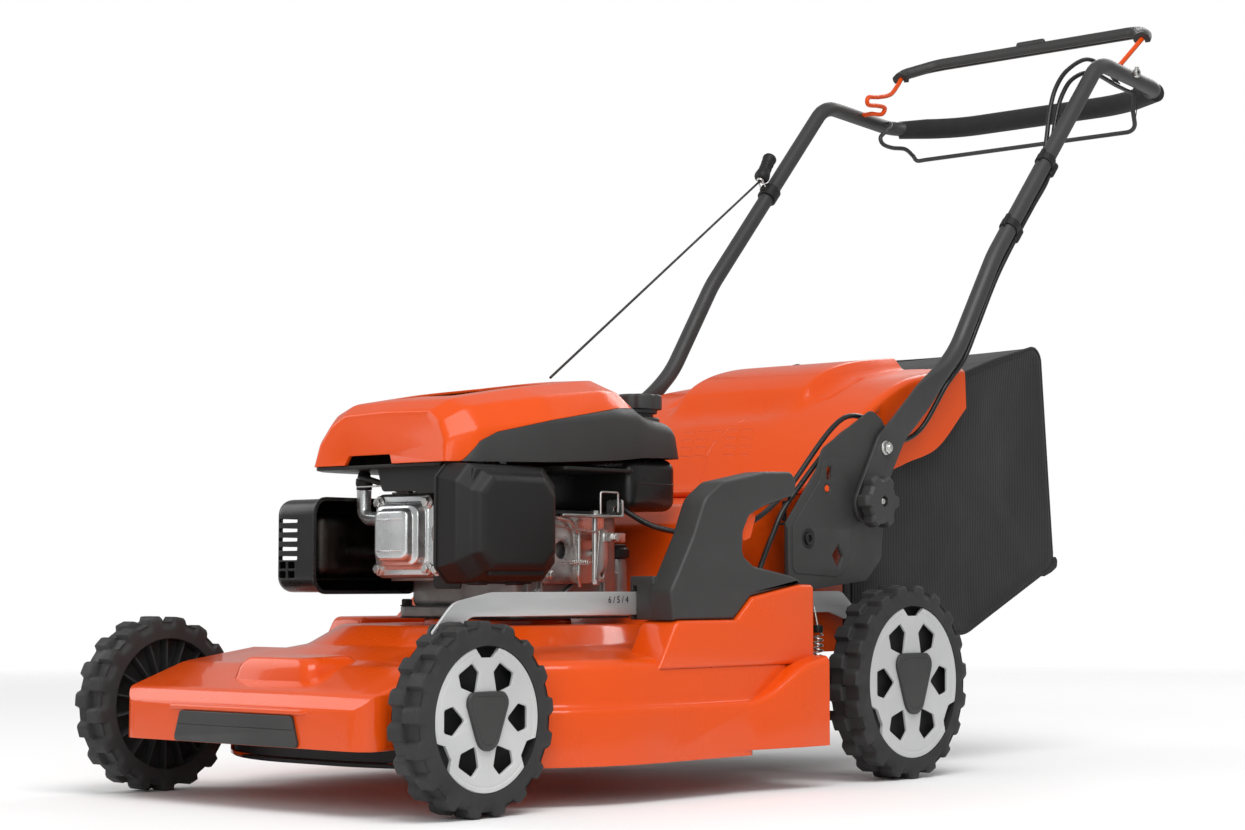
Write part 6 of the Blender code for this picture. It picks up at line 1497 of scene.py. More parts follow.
def height_grip():
    """The hooked grip for lifting the deck, on a foot shaped to the left tower."""
    top = [(-0.186, TOWER_HIGH_Z + GAP), (-0.2725, TOWER_HIGH_Z - 0.014 + GAP), (-0.303, TOWER_LOW_Z + GAP)]
    line = [(-0.406, TOWER_LOW_Z + GAP), (-0.411, 0.224), (-0.398, 0.243), (-0.372, 0.284), (-0.352, 0.326),
            (-0.322, 0.345), (-0.245, 0.3585), (-0.196, 0.36), (-0.187, 0.349), (-0.19, 0.333),
            (-0.248, 0.3185), (-0.274, 0.308), (-0.285, 0.29), (-0.287, 0.264), (-0.266, 0.2515),
            (-0.2, 0.2415), (-0.181, 0.236), (-0.18, TOWER_HIGH_Z + GAP)]
    radii = [0, 0.008, 0.012, 0.04, 0.03, 0.03, 0.03, 0.01, 0.01, 0.01, 0.02, 0.012, 0.012, 0.012, 0.012,
             0.02, 0.004, 0]
    body = slab([outline(line, radii, 6) + top], GRIP_X[0], GRIP_X[1], "X", 0.0045, 4)
    gate = block((LINK_X - 0.006, -0.406, TOWER_LOW_Z + GAP), (GRIP_X[0] + 0.004, -0.386, 0.24), 0.002)
    # The bar's highest place in its swing leaves room under the window's top.
    highest = LINK_Z + LINK_HEIGHT / 2 + LINK_OFFSET.length - LINK_OFFSET.z
    window = block((LINK_X - 0.0015, -0.45, 0.15), (LINK_X + LINK_SHEET + 0.0015, -0.35, highest + 0.0015))
    middle = sum(GRIP_X) / 2
    pocket = slab([[(-0.3, 0.33), (-0.262, 0.336), (-0.246, 0.3), (-0.3, 0.27)]], middle - 0.0085,
                  middle + 0.0085, "X")
    return cut(joined(body, gate), window, pocket)


def height_release_lever():
    middle = sum(GRIP_X) / 2
    line = outline([(-0.2975, 0.326), (-0.27, 0.328), (-0.2525, 0.307), (-0.262, 0.283), (-0.276, 0.279),
                    (-0.282, 0.3), (-0.297, 0.306)], [0.004, 0.004, 0.004, 0.004, 0.004, 0.006, 0.004], 5)
    return slab([line], middle - 0.0082, middle + 0.0082, "X", 0.0016, 3)


def counter_spring():
    """The coil that balances the deck, with its hooks."""
    x, y, wire = SPRING_X, SPRING_Y, 0.00115
    low, high, coil_r, count = 0.134, 0.172, 0.0054, 6 * 20
    points = [(LINK_X + LINK_SHEET + GAP + wire, y, 0.2045), (x, y, high + 0.006)]
    for step in range(count + 1):
        angle = 2 * pi * step / 20
        points.append((x + coil_r * cos(angle), y + coil_r * sin(angle), high + (low - high) * step / count))
    points += [(x, y + 0.002, low - 0.006), SPRING_BOLT + Z * (0.003 + GAP + wire)]
    return pipe(points, wire, 3)


def spring_boot():
    profile = [(0.003, 0.1832), (0.0055, 0.1826), (0.0061, 0.1806), (0.0061, 0.175), (0.0055, 0.1737),
               (0.003, 0.1737)]
    return turned(profile, Z, Vector((SPRING_X, SPRING_Y, 0)), 28, True)


def spring_bolt():
    shank = cross_rod(SPRING_BOLT, SPRING_X - 0.003, BRACKET_X + 0.001, 0.003)
    head = hex_bolt(SPRING_BOLT + X * (BRACKET_X + BRACKET_SHEET - SPRING_X), X, 0.008, 0.004, 0.0062)
    return grouped(shank, head)


# Handle

HANDLE_R, HANDLE_X, CROSSBAR_Y, CROSSBAR_Z, FOAM_R = 0.011, 0.2385, 0.779, 0.946, 0.0155
TOP_BAIL_R, DRIVE_BAIL_R, CABLE_R, ROPE_R = 0.0035, 0.00325, 0.0032, 0.0016
TOP_BAIL_PIVOT = Vector((0, 0.64, 0.957))
DRIVE_BAIL_PIVOT = Vector((0, 0.695, 0.95))
BAIL_END_X, NECK_TOP_Y, GUIDE_Y = 0.2325, 0.172, 0.417


def handle_path():
    half = [(HANDLE_X, 0.098, 0.447), (HANDLE_X, 0.194, 0.53), (HANDLE_X, 0.283, 0.66),
            (HANDLE_X, 0.556, 0.96), (0.2345, 0.728, 0.9475), (0.15, CROSSBAR_Y, CROSSBAR_Z)]
    points = half + [(-x, y, z) for x, y, z in reversed(half)]
    radii = [0, 0.16, 0.22, 0.055, 0.045, 0.16, 0.16, 0.045, 0.055, 0.22, 0.16, 0]
    return filleted(points, radii, 14, closed=False)


def tube_at(y):
    """The left tube's centre at this y, and the direction of its run."""
    path = handle_path()
    for start, end in zip(path, path[1:]):
        if start.y <= y <= end.y:
            return start + (end - start) * (y - start.y) / (end.y - start.y), (end - start).normalized()


def tube_neck():
    """The left tube pressed flat on its way down to the foot."""
    sections = []
    half_foot = FOOT_SHEET / 2
    top, _ = tube_at(NECK_TOP_Y)
    low = Vector((FOOT_X + half_foot, 0.052, 0.413))
    bend = Vector((FOOT_X + half_foot, 0.098, 0.448))
    for step in range(29):
        t = step / 28
        share = max(0.0, (t - 0.56) / 0.44)
        share *= share * (3 - 2 * share)
        place = low.lerp(bend, t).lerp(bend.lerp(top, t), t)
        run = ((bend - low) * (1 - t) + (top - bend) * t).normalized()
        place.x = low.x + (top.x - low.x) * share
        across = X.cross(run).normalized()
        thick = half_foot + (HANDLE_R - half_foot) * share
        wide = 0.018 + (HANDLE_R - 0.018) * share
        ring = []
        power = 0.35 + 0.65 * share
        for corner in range(40):
            angle = 2 * pi * corner / 40
            u, v = (copysign(abs(part) ** power, part) for part in (cos(angle), sin(angle)))
            ring.append(place + X * (thick * v) + across * (wide * u))
        sections.append(ring)
    return loft(sections)


def handle_foot():
    shape = strap([(KNOB_CENTRE.y - 0.004, KNOB_CENTRE.z - 0.004, 0.022),
                   (HANDLE_PIVOT.y + 0.002, HANDLE_PIVOT.z, 0.02), (0.062, 0.4205, 0.0178)], 48)
    holes = [circle(HANDLE_PIVOT.y, HANDLE_PIVOT.z, PIN_HOLE_R),
             circle(KNOB_CENTRE.y, KNOB_CENTRE.z, STUD_R + 0.0004), circle(0.054, 0.429, 0.0026)]
    return slab([shape, *holes], FOOT_X, FOOT_X + FOOT_SHEET, "X", 0.0012, 3)


def handle_tube():
    path = [point for point in handle_path() if point.y > NECK_TOP_Y]
    top, _ = tube_at(NECK_TOP_Y)
    return grouped(pipe([top, *path, opposite(top)], HANDLE_R, 9),
                   *both_sides(grouped(tube_neck(), handle_foot())))


def foam_grip():
    """The sleeve over the crossbar and its two corners."""
    inner = [point for point in handle_path() if point.y > 0.742]
    start = Vector((0.2275, 0.7375, 0.9468))
    path = [start, *inner, opposite(start)]
    full, end = circle(0, 0, FOAM_R, 36), circle(0, 0, FOAM_R - 0.0018, 36)
    return swept(path, [end, *[full] * (len(path) - 2), end])


def top_bail_path():
    p, steps = TOP_BAIL_PIVOT, 8
    points = [(BAIL_END_X, p.y, p.z), (0.2185, p.y, p.z), (0.2085, 0.65, 0.966), (0.214, 0.728, 1.03),
              (0.18, 0.772, 1.048), (-0.18, 0.772, 1.048), (-0.214, 0.728, 1.03), (-0.2095, 0.71, 1.0135)]
    straight = filleted(points, [0, 0.01, 0.03, 0.022, 0.032, 0.032, 0.022, 0], steps, closed=False)
    crank = smooth_path([(-0.2095, 0.71, 1.0135), (-0.206, 0.684, 0.9935), (-0.203, 0.648, 0.9835),
                         (-0.201, 0.618, 0.978), (-0.201, 0.617, 0.967), (-0.202, 0.644, 0.969),
                         (-0.2035, 0.664, 0.969), (-0.206, 0.66, 0.959), (-0.21, p.y, p.z),
                         (-0.218, p.y, p.z), (-BAIL_END_X, p.y, p.z)], steps)
    return straight[:-1] + crank


def brake_bail():
    return pipe(top_bail_path(), TOP_BAIL_R, 6)


def drive_bail():
    """The black bail under the crossbar, cranked on the right."""
    p = DRIVE_BAIL_PIVOT
    points = [(BAIL_END_X, p.y, p.z), (0.216, p.y, p.z), (0.21, p.y + 0.004, 0.918), (0.2, 0.725, 0.8915),
              (-0.17, 0.725, 0.8915)]
    straight = filleted(points, [0, 0.008, 0.015, 0.02, 0], 8, closed=False)
    crank = smooth_path([(-0.17, 0.725, 0.8915), (-0.189, 0.73, 0.893), (-0.197, 0.73, 0.902),
                         (-0.199, 0.712, 0.91), (-0.202, 0.682, 0.9085), (-0.204, 0.66, 0.9115),
                         (-0.206, 0.656, 0.9215), (-0.2075, 0.67, 0.932), (-0.21, 0.687, 0.942),
                         (-0.216, p.y, p.z), (-BAIL_END_X, p.y, p.z)], 8)
    return pipe(straight[:-1] + crank, DRIVE_BAIL_R, 5)


def bail_grip():
    """The half-round moulding on the top bail, flared at its ends."""
    bent = [point for point in top_bail_path() if point.z > 1.022]
    path = []
    for start, end in zip(bent, bent[1:]):
        count = max(1, int((end - start).length / 0.012))
        path += [start.lerp(end, step / count) for step in range(count)]
    path.append(bent[-1])
    bed = TOP_BAIL_R + 0.0006
    total = len(path) - 1
    sections = []
    for index in range(len(path)):
        flare = max(0.0, 1 - min(index, total - index) / 3.0) * 0.0016
        half = [(0.0104 + flare, -0.0062), (0.012 + flare, -0.001), (0.0114 + flare, 0.005), (0.0072, 0.009)]
        shell = [(-u, v) for u, v in half] + [(0.0, 0.0105 + flare)] + [(u, v) for u, v in reversed(half)]
        bed_line = [(bed, -0.0062), (bed, 0.0), (bed * 0.707, bed * 0.707), (0.0, bed),
                    (-bed * 0.707, bed * 0.707), (-bed, 0.0), (-bed, -0.0062)]
        radii = [0.001, 0.004, 0.004, 0.004, 0.01, 0.004, 0.004, 0.004, 0.001]
        top = outline(shell + bed_line, radii + [0.0004, 0.0008, 0.0008, 0.0008, 0.0008, 0.0008, 0.0004], 3)
        sections.append(top)
    return swept(path, sections)


def thumb_pad():
    rings = []
    for inset, z in eased([(0.0, 1.0555), (0.0004, 1.06), (0.0022, 1.0622), (0.009, 1.0624)], 0.001, 3):
        front, rear = 0.763 + inset * 0.8, 0.7775 - inset * 0.8
        corners = [(-0.03 + inset, front, z), (0.024 - inset, front, z), (0.018 - inset, rear, z),
                   (-0.024 + inset, rear, z)]
        rings.append(filleted(corners, max(0.0035 - inset * 0.5, 0.001), 4))
    return loft(rings)


def bail_clamp():
    """The bright clip where the orange bail enters the left tube."""
    place = TOP_BAIL_PIVOT + X * 0.2478
    ring = turned([(0.0038, 0.006), (0.0062, 0.006), (0.0066, 0.005), (0.0066, 0.001), (0.0062, 0),
                   (0.0038, 0)], X,
                  place, 28, True)
    return grouped(ring, hex_bolt(place + Vector((0.003, 0, 0.0058)), Z, 0.006, 0.003))


ROPE_EXIT = Vector((-0.02, -0.2905, 0.4785))
ROPE_GUIDE = Vector((-0.24, 0.398, 0.826))
GRIP_AXIS = Vector((0, 0.5355, 0.8445)).normalized()


def guide_clamp():
    seat, along = tube_at(GUIDE_Y)
    seat = opposite(seat)
    ring = turned([(HANDLE_R + 0.0002, 0.01), (HANDLE_R + 0.003, 0.01), (HANDLE_R + 0.0036, 0.009),
                   (HANDLE_R + 0.0036, -0.009), (HANDLE_R + 0.003, -0.01), (HANDLE_R + 0.0002, -0.01)],
                  along, seat, 36, True)
    across = X.cross(GRIP_AXIS)
    lug = block((-0.004, -0.006, 0.012), (0.004, 0.006, 0.0185), 0.0015, 2)
    return grouped(ring, moved(lug, seat, facing(along.cross(across), along, across)))


def guide_eye():
    """The bent wire eye that the starter rope runs through."""
    seat = opposite(tube_at(GUIDE_Y)[0])
    across = X.cross(GRIP_AXIS)
    side = GRIP_AXIS.cross(across)
    start = seat + across * 0.0175
    points = [start - side * 0.0045, start.lerp(ROPE_GUIDE, 0.5) - side * 0.0045]
    for step in range(31):
        angle = -pi / 2 + 2 * pi * 1.5 * step / 30
        points.append(ROPE_GUIDE + (side * sin(angle) + across * cos(angle)) * 0.0046
                      + GRIP_AXIS * (0.0012 - 0.0024 * step / 30))
    points += [start.lerp(ROPE_GUIDE, 0.5) + side * 0.0045, start + side * 0.0045]
    return pipe(points, 0.0011, 3)


def starter_grip():
    """A waisted handle that rests against the guide's eye."""
    seat = ROPE_GUIDE + GRIP_AXIS * (0.0018 + GAP)
    profile = [(0, 0.045), (0.006, 0.045), (0.0085, 0.0438), (0.0103, 0.041), (0.0105, 0.0385),
               (0.0096, 0.033), (0.0088, 0.027), (0.0086, 0.023), (0.0092, 0.017), (0.0108, 0.01),
               (0.0115, 0.0065), (0.0112, 0.003), (0.0095, 0), (0.0042, 0), (0.0042, 0.012), (0, 0.012)]
    body = turned(profile, GRIP_AXIS, seat, 40)
    bands = [turned([(0.008, h + 0.0016), (r, h + 0.0016), (r + 0.0005, h + 0.001), (r + 0.0005, h - 0.0002),
                     (r, h - 0.0008), (0.008, h - 0.0008)], GRIP_AXIS, seat, 40, True)
             for h, r in ((0.02, 0.009), (0.0245, 0.0088), (0.029, 0.0092))]
    return grouped(body, *bands)


KNOB_LOW = FOOT_X + FOOT_SHEET + GAP
KNOB_R, KNOB_WAVE = 0.03, 0.005


def clamp_knob():
    """The lobed knob with its hexagon socket."""
    rings = []
    for x, shrink in eased([(0.006, 0.003), (0.0075, 0.0), (0.0195, 0.0), (0.024, 0.0035), (0.0242, 0.012)],
                           0.0016, 4):
        ring = lobed(KNOB_CENTRE.y, KNOB_CENTRE.z,
                     lambda angle: KNOB_R + KNOB_WAVE * max(-0.55, min(0.75, cos(6 * angle) * 1.5)) - shrink,
                     120)
        rings.append([Vector((KNOB_LOW + x, u, v)) for u, v in ring])
    hub = cross_rod(KNOB_CENTRE, KNOB_LOW, KNOB_LOW + 0.008, 0.014, 40)
    socket = cross_rod(KNOB_CENTRE, KNOB_LOW + 0.018, KNOB_LOW + 0.03, 0.0075, 6)
    return cut(joined(loft(rings), hub), socket)


def knob_stud():
    return cross_rod(KNOB_CENTRE, BRACKET_X - 0.006, KNOB_LOW + 0.0225, STUD_R, edge=0.0008)


CLIP_Y = (0.412, 0.322)
CABLE_GAP, CABLE_MEET_Y = 0.0042, 0.16
CABLE_X, FOLD_LINE_Y = 0.2225, -0.06


def behind_tube(y, aside, clear=0.0008):
    """The centre of a cable that lies behind the left tube."""
    place, run = tube_at(y)
    out = run.cross(X).normalized()
    return place + out * (HANDLE_R + CABLE_R + clear) + X * aside


def upper_cables():
    """The brake and drive cables on the handle, and the loops at its top."""
    tops = (((0.215, 0.65, 0.947), (0.215, 0.615, 0.964), (0.2145, 0.5651, 0.97), (0.214, 0.5128, 0.9462),
             (0.2145, 0.48, 0.915), (0.2165, 0.461, 0.88), (0.219, 0.449, 0.845), (0.2215, 0.438, 0.818)),
            ((0.2165, 0.686, 0.94), (0.22, 0.635, 0.943), (0.2215, 0.565, 0.95), (0.2205, 0.515, 0.933),
             (0.2205, 0.485, 0.903), (0.2215, 0.468, 0.87), (0.2235, 0.456, 0.84), (0.225, 0.445, 0.816)))
    made = []
    for aside, top in zip((-CABLE_GAP, CABLE_GAP), tops):
        route = [*top, *[behind_tube(y, aside) for y in (0.4, 0.36, 0.322, 0.27, 0.225)],
                 behind_tube(0.193, aside, 0.002), behind_tube(CABLE_MEET_Y + 0.008, aside),
                 behind_tube(CABLE_MEET_Y, aside)]
        made.append(pipe(smooth_path(route, 8), CABLE_R, 5))
    inner = smooth_path([(0.2165, 0.686, 0.94), (0.212, 0.705, 0.936), (0.2085, 0.7135, 0.924),
                         (0.2065, 0.713, 0.908)], 6)
    made.append(pipe(inner, 0.0007, 2))
    return grouped(*made)


def cable_clips():
    """The two clips on the left tube, each with a saddle behind and a tab in front."""
    made = []
    for y in CLIP_Y:
        place, along = tube_at(y)
        out = along.cross(X).normalized()
        bore, skin = HANDLE_R + 0.0002, HANDLE_R + 0.0022
        made.append(turned([(bore, 0.006), (skin - 0.0006, 0.006), (skin, 0.0054), (skin, -0.0054),
                            (skin - 0.0006, -0.006), (bore, -0.006)], along, place, 40, True))
        saddle = block((-0.009, 0.0105, -0.013), (0.009, 0.0215, 0.013), 0.005, 5)
        tab = block((-0.003, -0.015, -0.011), (0.003, -0.0118, 0.011), 0.0012, 3)
        made += [moved(part, place, facing(X, out, along)) for part in (saddle, tab)]
    return grouped(*made)


BRAKE_ROUTE = [behind_tube(0.1594, -CABLE_GAP), behind_tube(0.153, -CABLE_GAP), (0.227, 0.122, 0.44),
               (CABLE_X, 0.068, 0.424), (CABLE_X, -0.03, 0.432), (CABLE_X, -0.142, 0.342),
               (0.216, -0.205, 0.302), (0.204, -0.268, 0.288), (0.156, -0.3, 0.296), (0.1155, -0.3137, 0.317),
               (0.1155, -0.3217, 0.317)]
DRIVE_ROUTE = [behind_tube(0.1594, CABLE_GAP), behind_tube(0.153, CABLE_GAP), (0.229, 0.122, 0.424),
               (CABLE_X, 0.07, 0.4085), (CABLE_X, -0.02, 0.418), (CABLE_X, -0.134, 0.333),
               (CABLE_X, -0.172, 0.286), (0.228, -0.208, 0.238), (0.229, -0.214, 0.2295)]


def cable_path(route):
    """Straight at both ends, where the cable leaves its clip and enters its socket."""
    return [Vector(route[0]), *smooth_path(route[1:-1], 10), Vector(route[-1])]


def cable_tie():
    """The clip that holds both cables together in front of the bracket."""
    place = Vector((CABLE_X, -0.144, 0.3395))
    run = Vector((0, -0.075, -0.068)).normalized()
    rise = X.cross(run)
    ring = block((-0.0055, -0.004, -0.0115), (0.0055, 0.004, 0.0068), 0.0022, 4)
    low, high = Vector((-0.0062, 0.004, -0.034)), Vector((-0.004, 0.002, -0.01))
    stem = rod(place + high, place + low, 0.0028, 20, 0.0006)
    foot = turned([(0, 0.003), (0.006, 0.0026), (0.0098, 0.0008), (0.01, 0), (0, 0)], Z,
                  place + Vector((-0.0065, 0.004, -0.0385)), 28)
    return grouped(moved(ring, place, facing(X, run, rise)), stem, foot)


for make, name, look, slot, replaced in (
        (handle_bracket, "handle_bracket", DARK, "", True),
        (bracket_bolt, "bracket_bolt", BLACK, "black_steel", False),
        (pivot_nut, "pivot_nut", ZINC, "", False)):
    for side, obj in zip(("left", "right"), both_sides(make())):
        piece(obj, f"{name}_{side}_look", "chassis", look, f"{name}_{side}" if replaced else "", 32, slot)
for side, knob, stud in zip(("left", "right"), both_sides(clamp_knob()), both_sides(knob_stud())):
    piece(knob, f"clamp_knob_{side}_look", f"knob_{side}", DARK, f"clamp_knob_{side}", 32)
    piece(stud, f"knob_stud_{side}", f"knob_{side}", ZINC, "", 32)

# Each cord: its route, its radius, the two bodies that it joins and where it turns from one to the other.
for name, route, radius, bodies, start, end in (
        ("brake_cable", cable_path(BRAKE_ROUTE), CABLE_R, ("chassis", "handle"),
         (CABLE_X, FOLD_LINE_Y, 0.432), (0.229, 0.126, 0.432)),
        ("drive_cable", cable_path(DRIVE_ROUTE), CABLE_R, ("chassis", "handle"),
         (CABLE_X, FOLD_LINE_Y, 0.418), (0.229, 0.126, 0.418)),
        ("starter_rope", [ROPE_EXIT.lerp(ROPE_GUIDE, step / 30) for step in range(31)], ROPE_R,
         ("chassis", "handle"), ROPE_EXIT, ROPE_GUIDE)):
    obj = pipe(route, radius, 5)
    piece(obj, f"{name}_look", None, ROPE if radius == ROPE_R else SATIN, name, 60)
    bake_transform(obj)
ROPE_END = ROPE_GUIDE + GRIP_AXIS * 0.01
tail = piece(pipe([ROPE_GUIDE.lerp(ROPE_END, step / 6) for step in range(7)], ROPE_R), "starter_rope_tail",
             None, ROPE, "", 60)
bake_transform(tail)


# Rear flap and catcher

FLAP_SIDE_X, FLAP_EDGE, BAG_HALF, BAG_MOUTH_Y = 0.2135, 0.01, 0.202, 0.014
FLAP_SIDE = [(-0.0745, 0.349), (-0.058, 0.362), (-0.028, 0.396), (0.006, 0.425), (0.06, 0.462),
             (0.12, 0.488), (0.18, 0.501), (0.25, 0.512)]
FLAP_CROWN = [(-0.0745, 0.349), (-0.058, 0.364), (-0.028, 0.402), (0.006, 0.438), (0.05, 0.476),
              (0.096, 0.503), (0.16, 0.52), (0.25, 0.531)]
FLAP_CHEEK = [(-0.07, 0.343), (-0.05, 0.344), (-0.022, 0.346), (0.01, 0.352), (0.066, 0.368),
              (0.118, 0.384), (0.186, 0.406), (0.252, 0.46)]
BAG_OUTLINE = [(BAG_MOUTH_Y, 0.172), (0.264, 0.166), (0.482, 0.256), (0.4535, 0.558), (0.34, 0.53),
               (0.223, 0.495), (0.15, 0.466), (BAG_MOUTH_Y, 0.386)]
BAG_MIDDLE, BAG_SPACING, CLOTH_THICKNESS = (0.262, 0.356), 0.0085, 0.0018
STITCH_LENGTH, STITCH_SPACING = 0.0038, 0.0065


def flap_line(points, share):
    """The point at this share of the way along one of the flap's profiles."""
    lines = smooth_path([(0, *point) for point in points], 12)
    place = share * (len(lines) - 1)
    index = min(int(place), len(lines) - 2)
    return lines[index].lerp(lines[index + 1], place - index)


def flap_top(x, share, side, crown):
    """A point of the crowned sheet: low at its sides, with the raised hump in the middle of its rear."""
    across = abs(x) / (FLAP_SIDE_X - FLAP_EDGE)
    swell = 0.8 * (1 - ramp(across, 0.15, 1.0))
    swell *= 1 - 0.55 * ramp(share, 0.4, 0.62) * (1 - ramp(abs(x), 0.11, 0.16) * 0.4)
    hump = ramp(share, 0.49, 0.6) * (1 - ramp(abs(x), 0.099, 0.117))
    swell = swell * (1 - hump) + 1.06 * hump
    swell -= 0.28 * ramp(share, 0.42, 0.5) * (1 - ramp(share, 0.5, 0.6)) * (1 - ramp(abs(x), 0.05, 0.1))
    slit = ramp(share, 0.56, 0.6) * (1 - ramp(share, 0.72, 0.78))
    swell -= 0.16 * slit * (1 - min(1.0, abs(abs(x) - 0.128) / 0.009))
    place = side.lerp(crown, swell)
    return Vector((x, place.y, place.z))


def flap_sheet():
    rows = 96
    # Points up the cheek: the share of the way, and the depth of the hollow there.
    cheeks = [(0, 0.0), (0.1, 0.0), (0.16, 0.0035), (0.5, 0.0035), (0.9, 0.0035), (0.96, 0.0)]
    columns = []
    for index in range(rows + 1):
        share = index / rows
        side, crown, low = (flap_line(line, share) for line in (FLAP_SIDE, FLAP_CROWN, FLAP_CHEEK))
        edge = Vector((0, side.y, side.z - 0.008))
        hollow = ramp(low.y, -0.045, -0.03) * (1 - ramp(low.y, 0.06, 0.075))
        for rib in (0.0, 0.018):
            hollow *= 1 - max(0.0, 1 - abs(low.y - rib) / 0.004)
        line = []
        for part_way, depth in cheeks:
            place = low.lerp(edge, part_way)
            line.append(Vector((FLAP_SIDE_X - depth * hollow, place.y, place.z)))
        for step in range(7):
            angle = pi / 2 * step / 6
            place = edge.lerp(side, sin(angle))
            line.append(Vector((FLAP_SIDE_X - FLAP_EDGE * (1 - cos(angle)), place.y, place.z)))
        half = FLAP_SIDE_X - FLAP_EDGE
        inner = [flap_top(half * (1 - 2 * step / 108), share, side, crown) for step in range(1, 108)]
        columns.append(line + inner + [opposite(place) for place in reversed(line)])
    form = bmesh.new()
    grid = [[form.verts.new(place) for place in line] for line in columns]
    for line, beside in zip(grid, grid[1:]):
        for index in range(len(line) - 1):
            form.faces.new((line[index], line[index + 1], beside[index + 1], beside[index]))
    bmesh.ops.recalc_face_normals(form, faces=form.faces)
    if sum(face.normal.z for face in form.faces) < 0:
        bmesh.ops.reverse_faces(form, faces=form.faces)
    return thickened(form, SHEET)


def on_flap(points, lift=0.0, steps=10):
    """A path over the flap's sheet through pairs of x and share."""
    path = []
    for start, end in zip(points, points[1:]):
        for step in range(steps):
            t = step / steps
            x, share = (a + (b - a) * t for a, b in zip(start, end))
            path.append((x, share))
    places = []
    for x, share in path + [points[-1]]:
        place = flap_top(x, share, flap_line(FLAP_SIDE, share), flap_line(FLAP_CROWN, share))
        places.append(place + Vector((0, -0.55, 0.83)) * lift)
    return places


def flap_seams():
    """The parting line down the sheet and the slanted pattern of shallow slots beside it."""
    seams = [pipe(on_flap([(0.034, 0.475), (0.022, 0.41), (0.012, 0.33), (0.012, 0.26), (0.018, 0.2),
                           (0.026, 0.1), (0.04, 0.03)], 0.0003), 0.0013, 2)]
    slots = []
    for row in range(4):
        share = 0.395 - 0.045 * row
        for column in range(5):
            x = -0.052 + 0.024 * column + 0.006 * row
            if abs(x + 0.01 - 0.018) < 0.014 and row > 0:
                continue
            slots.append(pipe(on_flap([(x, share), (x + 0.017, share - 0.004)], 0.0005, 3), 0.0012, 2))
            slots.append(pipe(on_flap([(x + 0.0195, share - 0.004), (x + 0.0215, share - 0.037)], 0.0005, 3),
                              0.001, 2))
    return seams + slots


def flap():
    return cut(flap_sheet(), *flap_seams())


def flap_barrel():
    """The hinge along the flap's front edge, with its pins through the brackets."""
    out = BRACKET_X + BRACKET_SHEET + 0.001
    barrel = [(0.0034, out), (0.004, out - 0.0006), (0.004, FLAP_SIDE_X), (0.0058, FLAP_SIDE_X)]
    profile = [(0, out), *barrel, *[(r, -x) for r, x in reversed(barrel)], (0, -out)]
    return turned(profile, X, FLAP_HINGE, 28)


def bag_ring(inset=0.0):
    """The bag's outline with its corners rounded, in short steps, drawn towards its middle by this share."""
    corners = [Vector((0, y, z)) for y, z in BAG_OUTLINE]
    path = filleted(corners, [0, 0.06, 0.024, 0.02, 0.1, 0.12, 0.12, 0], 8)
    ring = []
    for start, end in zip(path, path[1:] + path[:1]):
        count = max(1, int((end - start).length / BAG_SPACING))
        ring += [start.lerp(end, step / count) for step in range(count)]
    return [place.lerp(Vector((0, *BAG_MIDDLE)), inset) for place in ring]


def bag_place(x, place, panel):
    """The place of a point of the bag after the cloth has sagged and creased."""
    y, z = place.y, place.z
    slack = ramp(y, BAG_MOUTH_Y, 0.11)
    middle = 1 - (x / BAG_HALF) ** 2
    if z > 0.36 and not panel:
        z -= 0.0055 * middle * slack
    if z < 0.3 and not panel:
        z -= 0.006 * middle * slack
    if y > 0.44 and not panel:
        y += 0.0035 * middle
    if panel:
        x -= panel * 0.006 * sin(pi * min(1.0, panel_depth(place) / 0.09) / 2) * slack
    seed = Vector((x * 7, y * 9, z * 7))
    crease = noise.noise(seed * 1.1) * 0.0034 + noise.noise(seed * 3.4 + Vector((3, 1, 7))) * 0.0013
    pull = max(0.0, 1 - hypot(place.y - 0.47, place.z - 0.27) / 0.17)
    crease += 0.003 * pull * sin(95 * (place.y * 0.75 + place.z * 0.66)) * (1 - pull)
    fade = ramp(y, BAG_MOUTH_Y, 0.075)
    fade *= ramp(panel_depth(place), 0.0, 0.03) if panel else ramp(middle, 0, 0.25)
    if panel:
        return Vector((x + (1 if x > 0 else -1) * min(crease, 0.0008) * fade, y, z))
    away = Vector((0, y - BAG_MIDDLE[0], z - BAG_MIDDLE[1])).normalized()
    return Vector((x, y, z)) + away * min(crease, 0.0012) * fade


def panel_depth(place):
    """How far a point of a side panel is from the panel's nearest edge, roughly."""
    return min(place.y - BAG_MOUTH_Y + 0.02, 0.478 - place.y - 0.09 * (place.z - 0.256), place.z - 0.166,
               0.386 + 0.4 * (place.y - BAG_MOUTH_Y) - place.z)


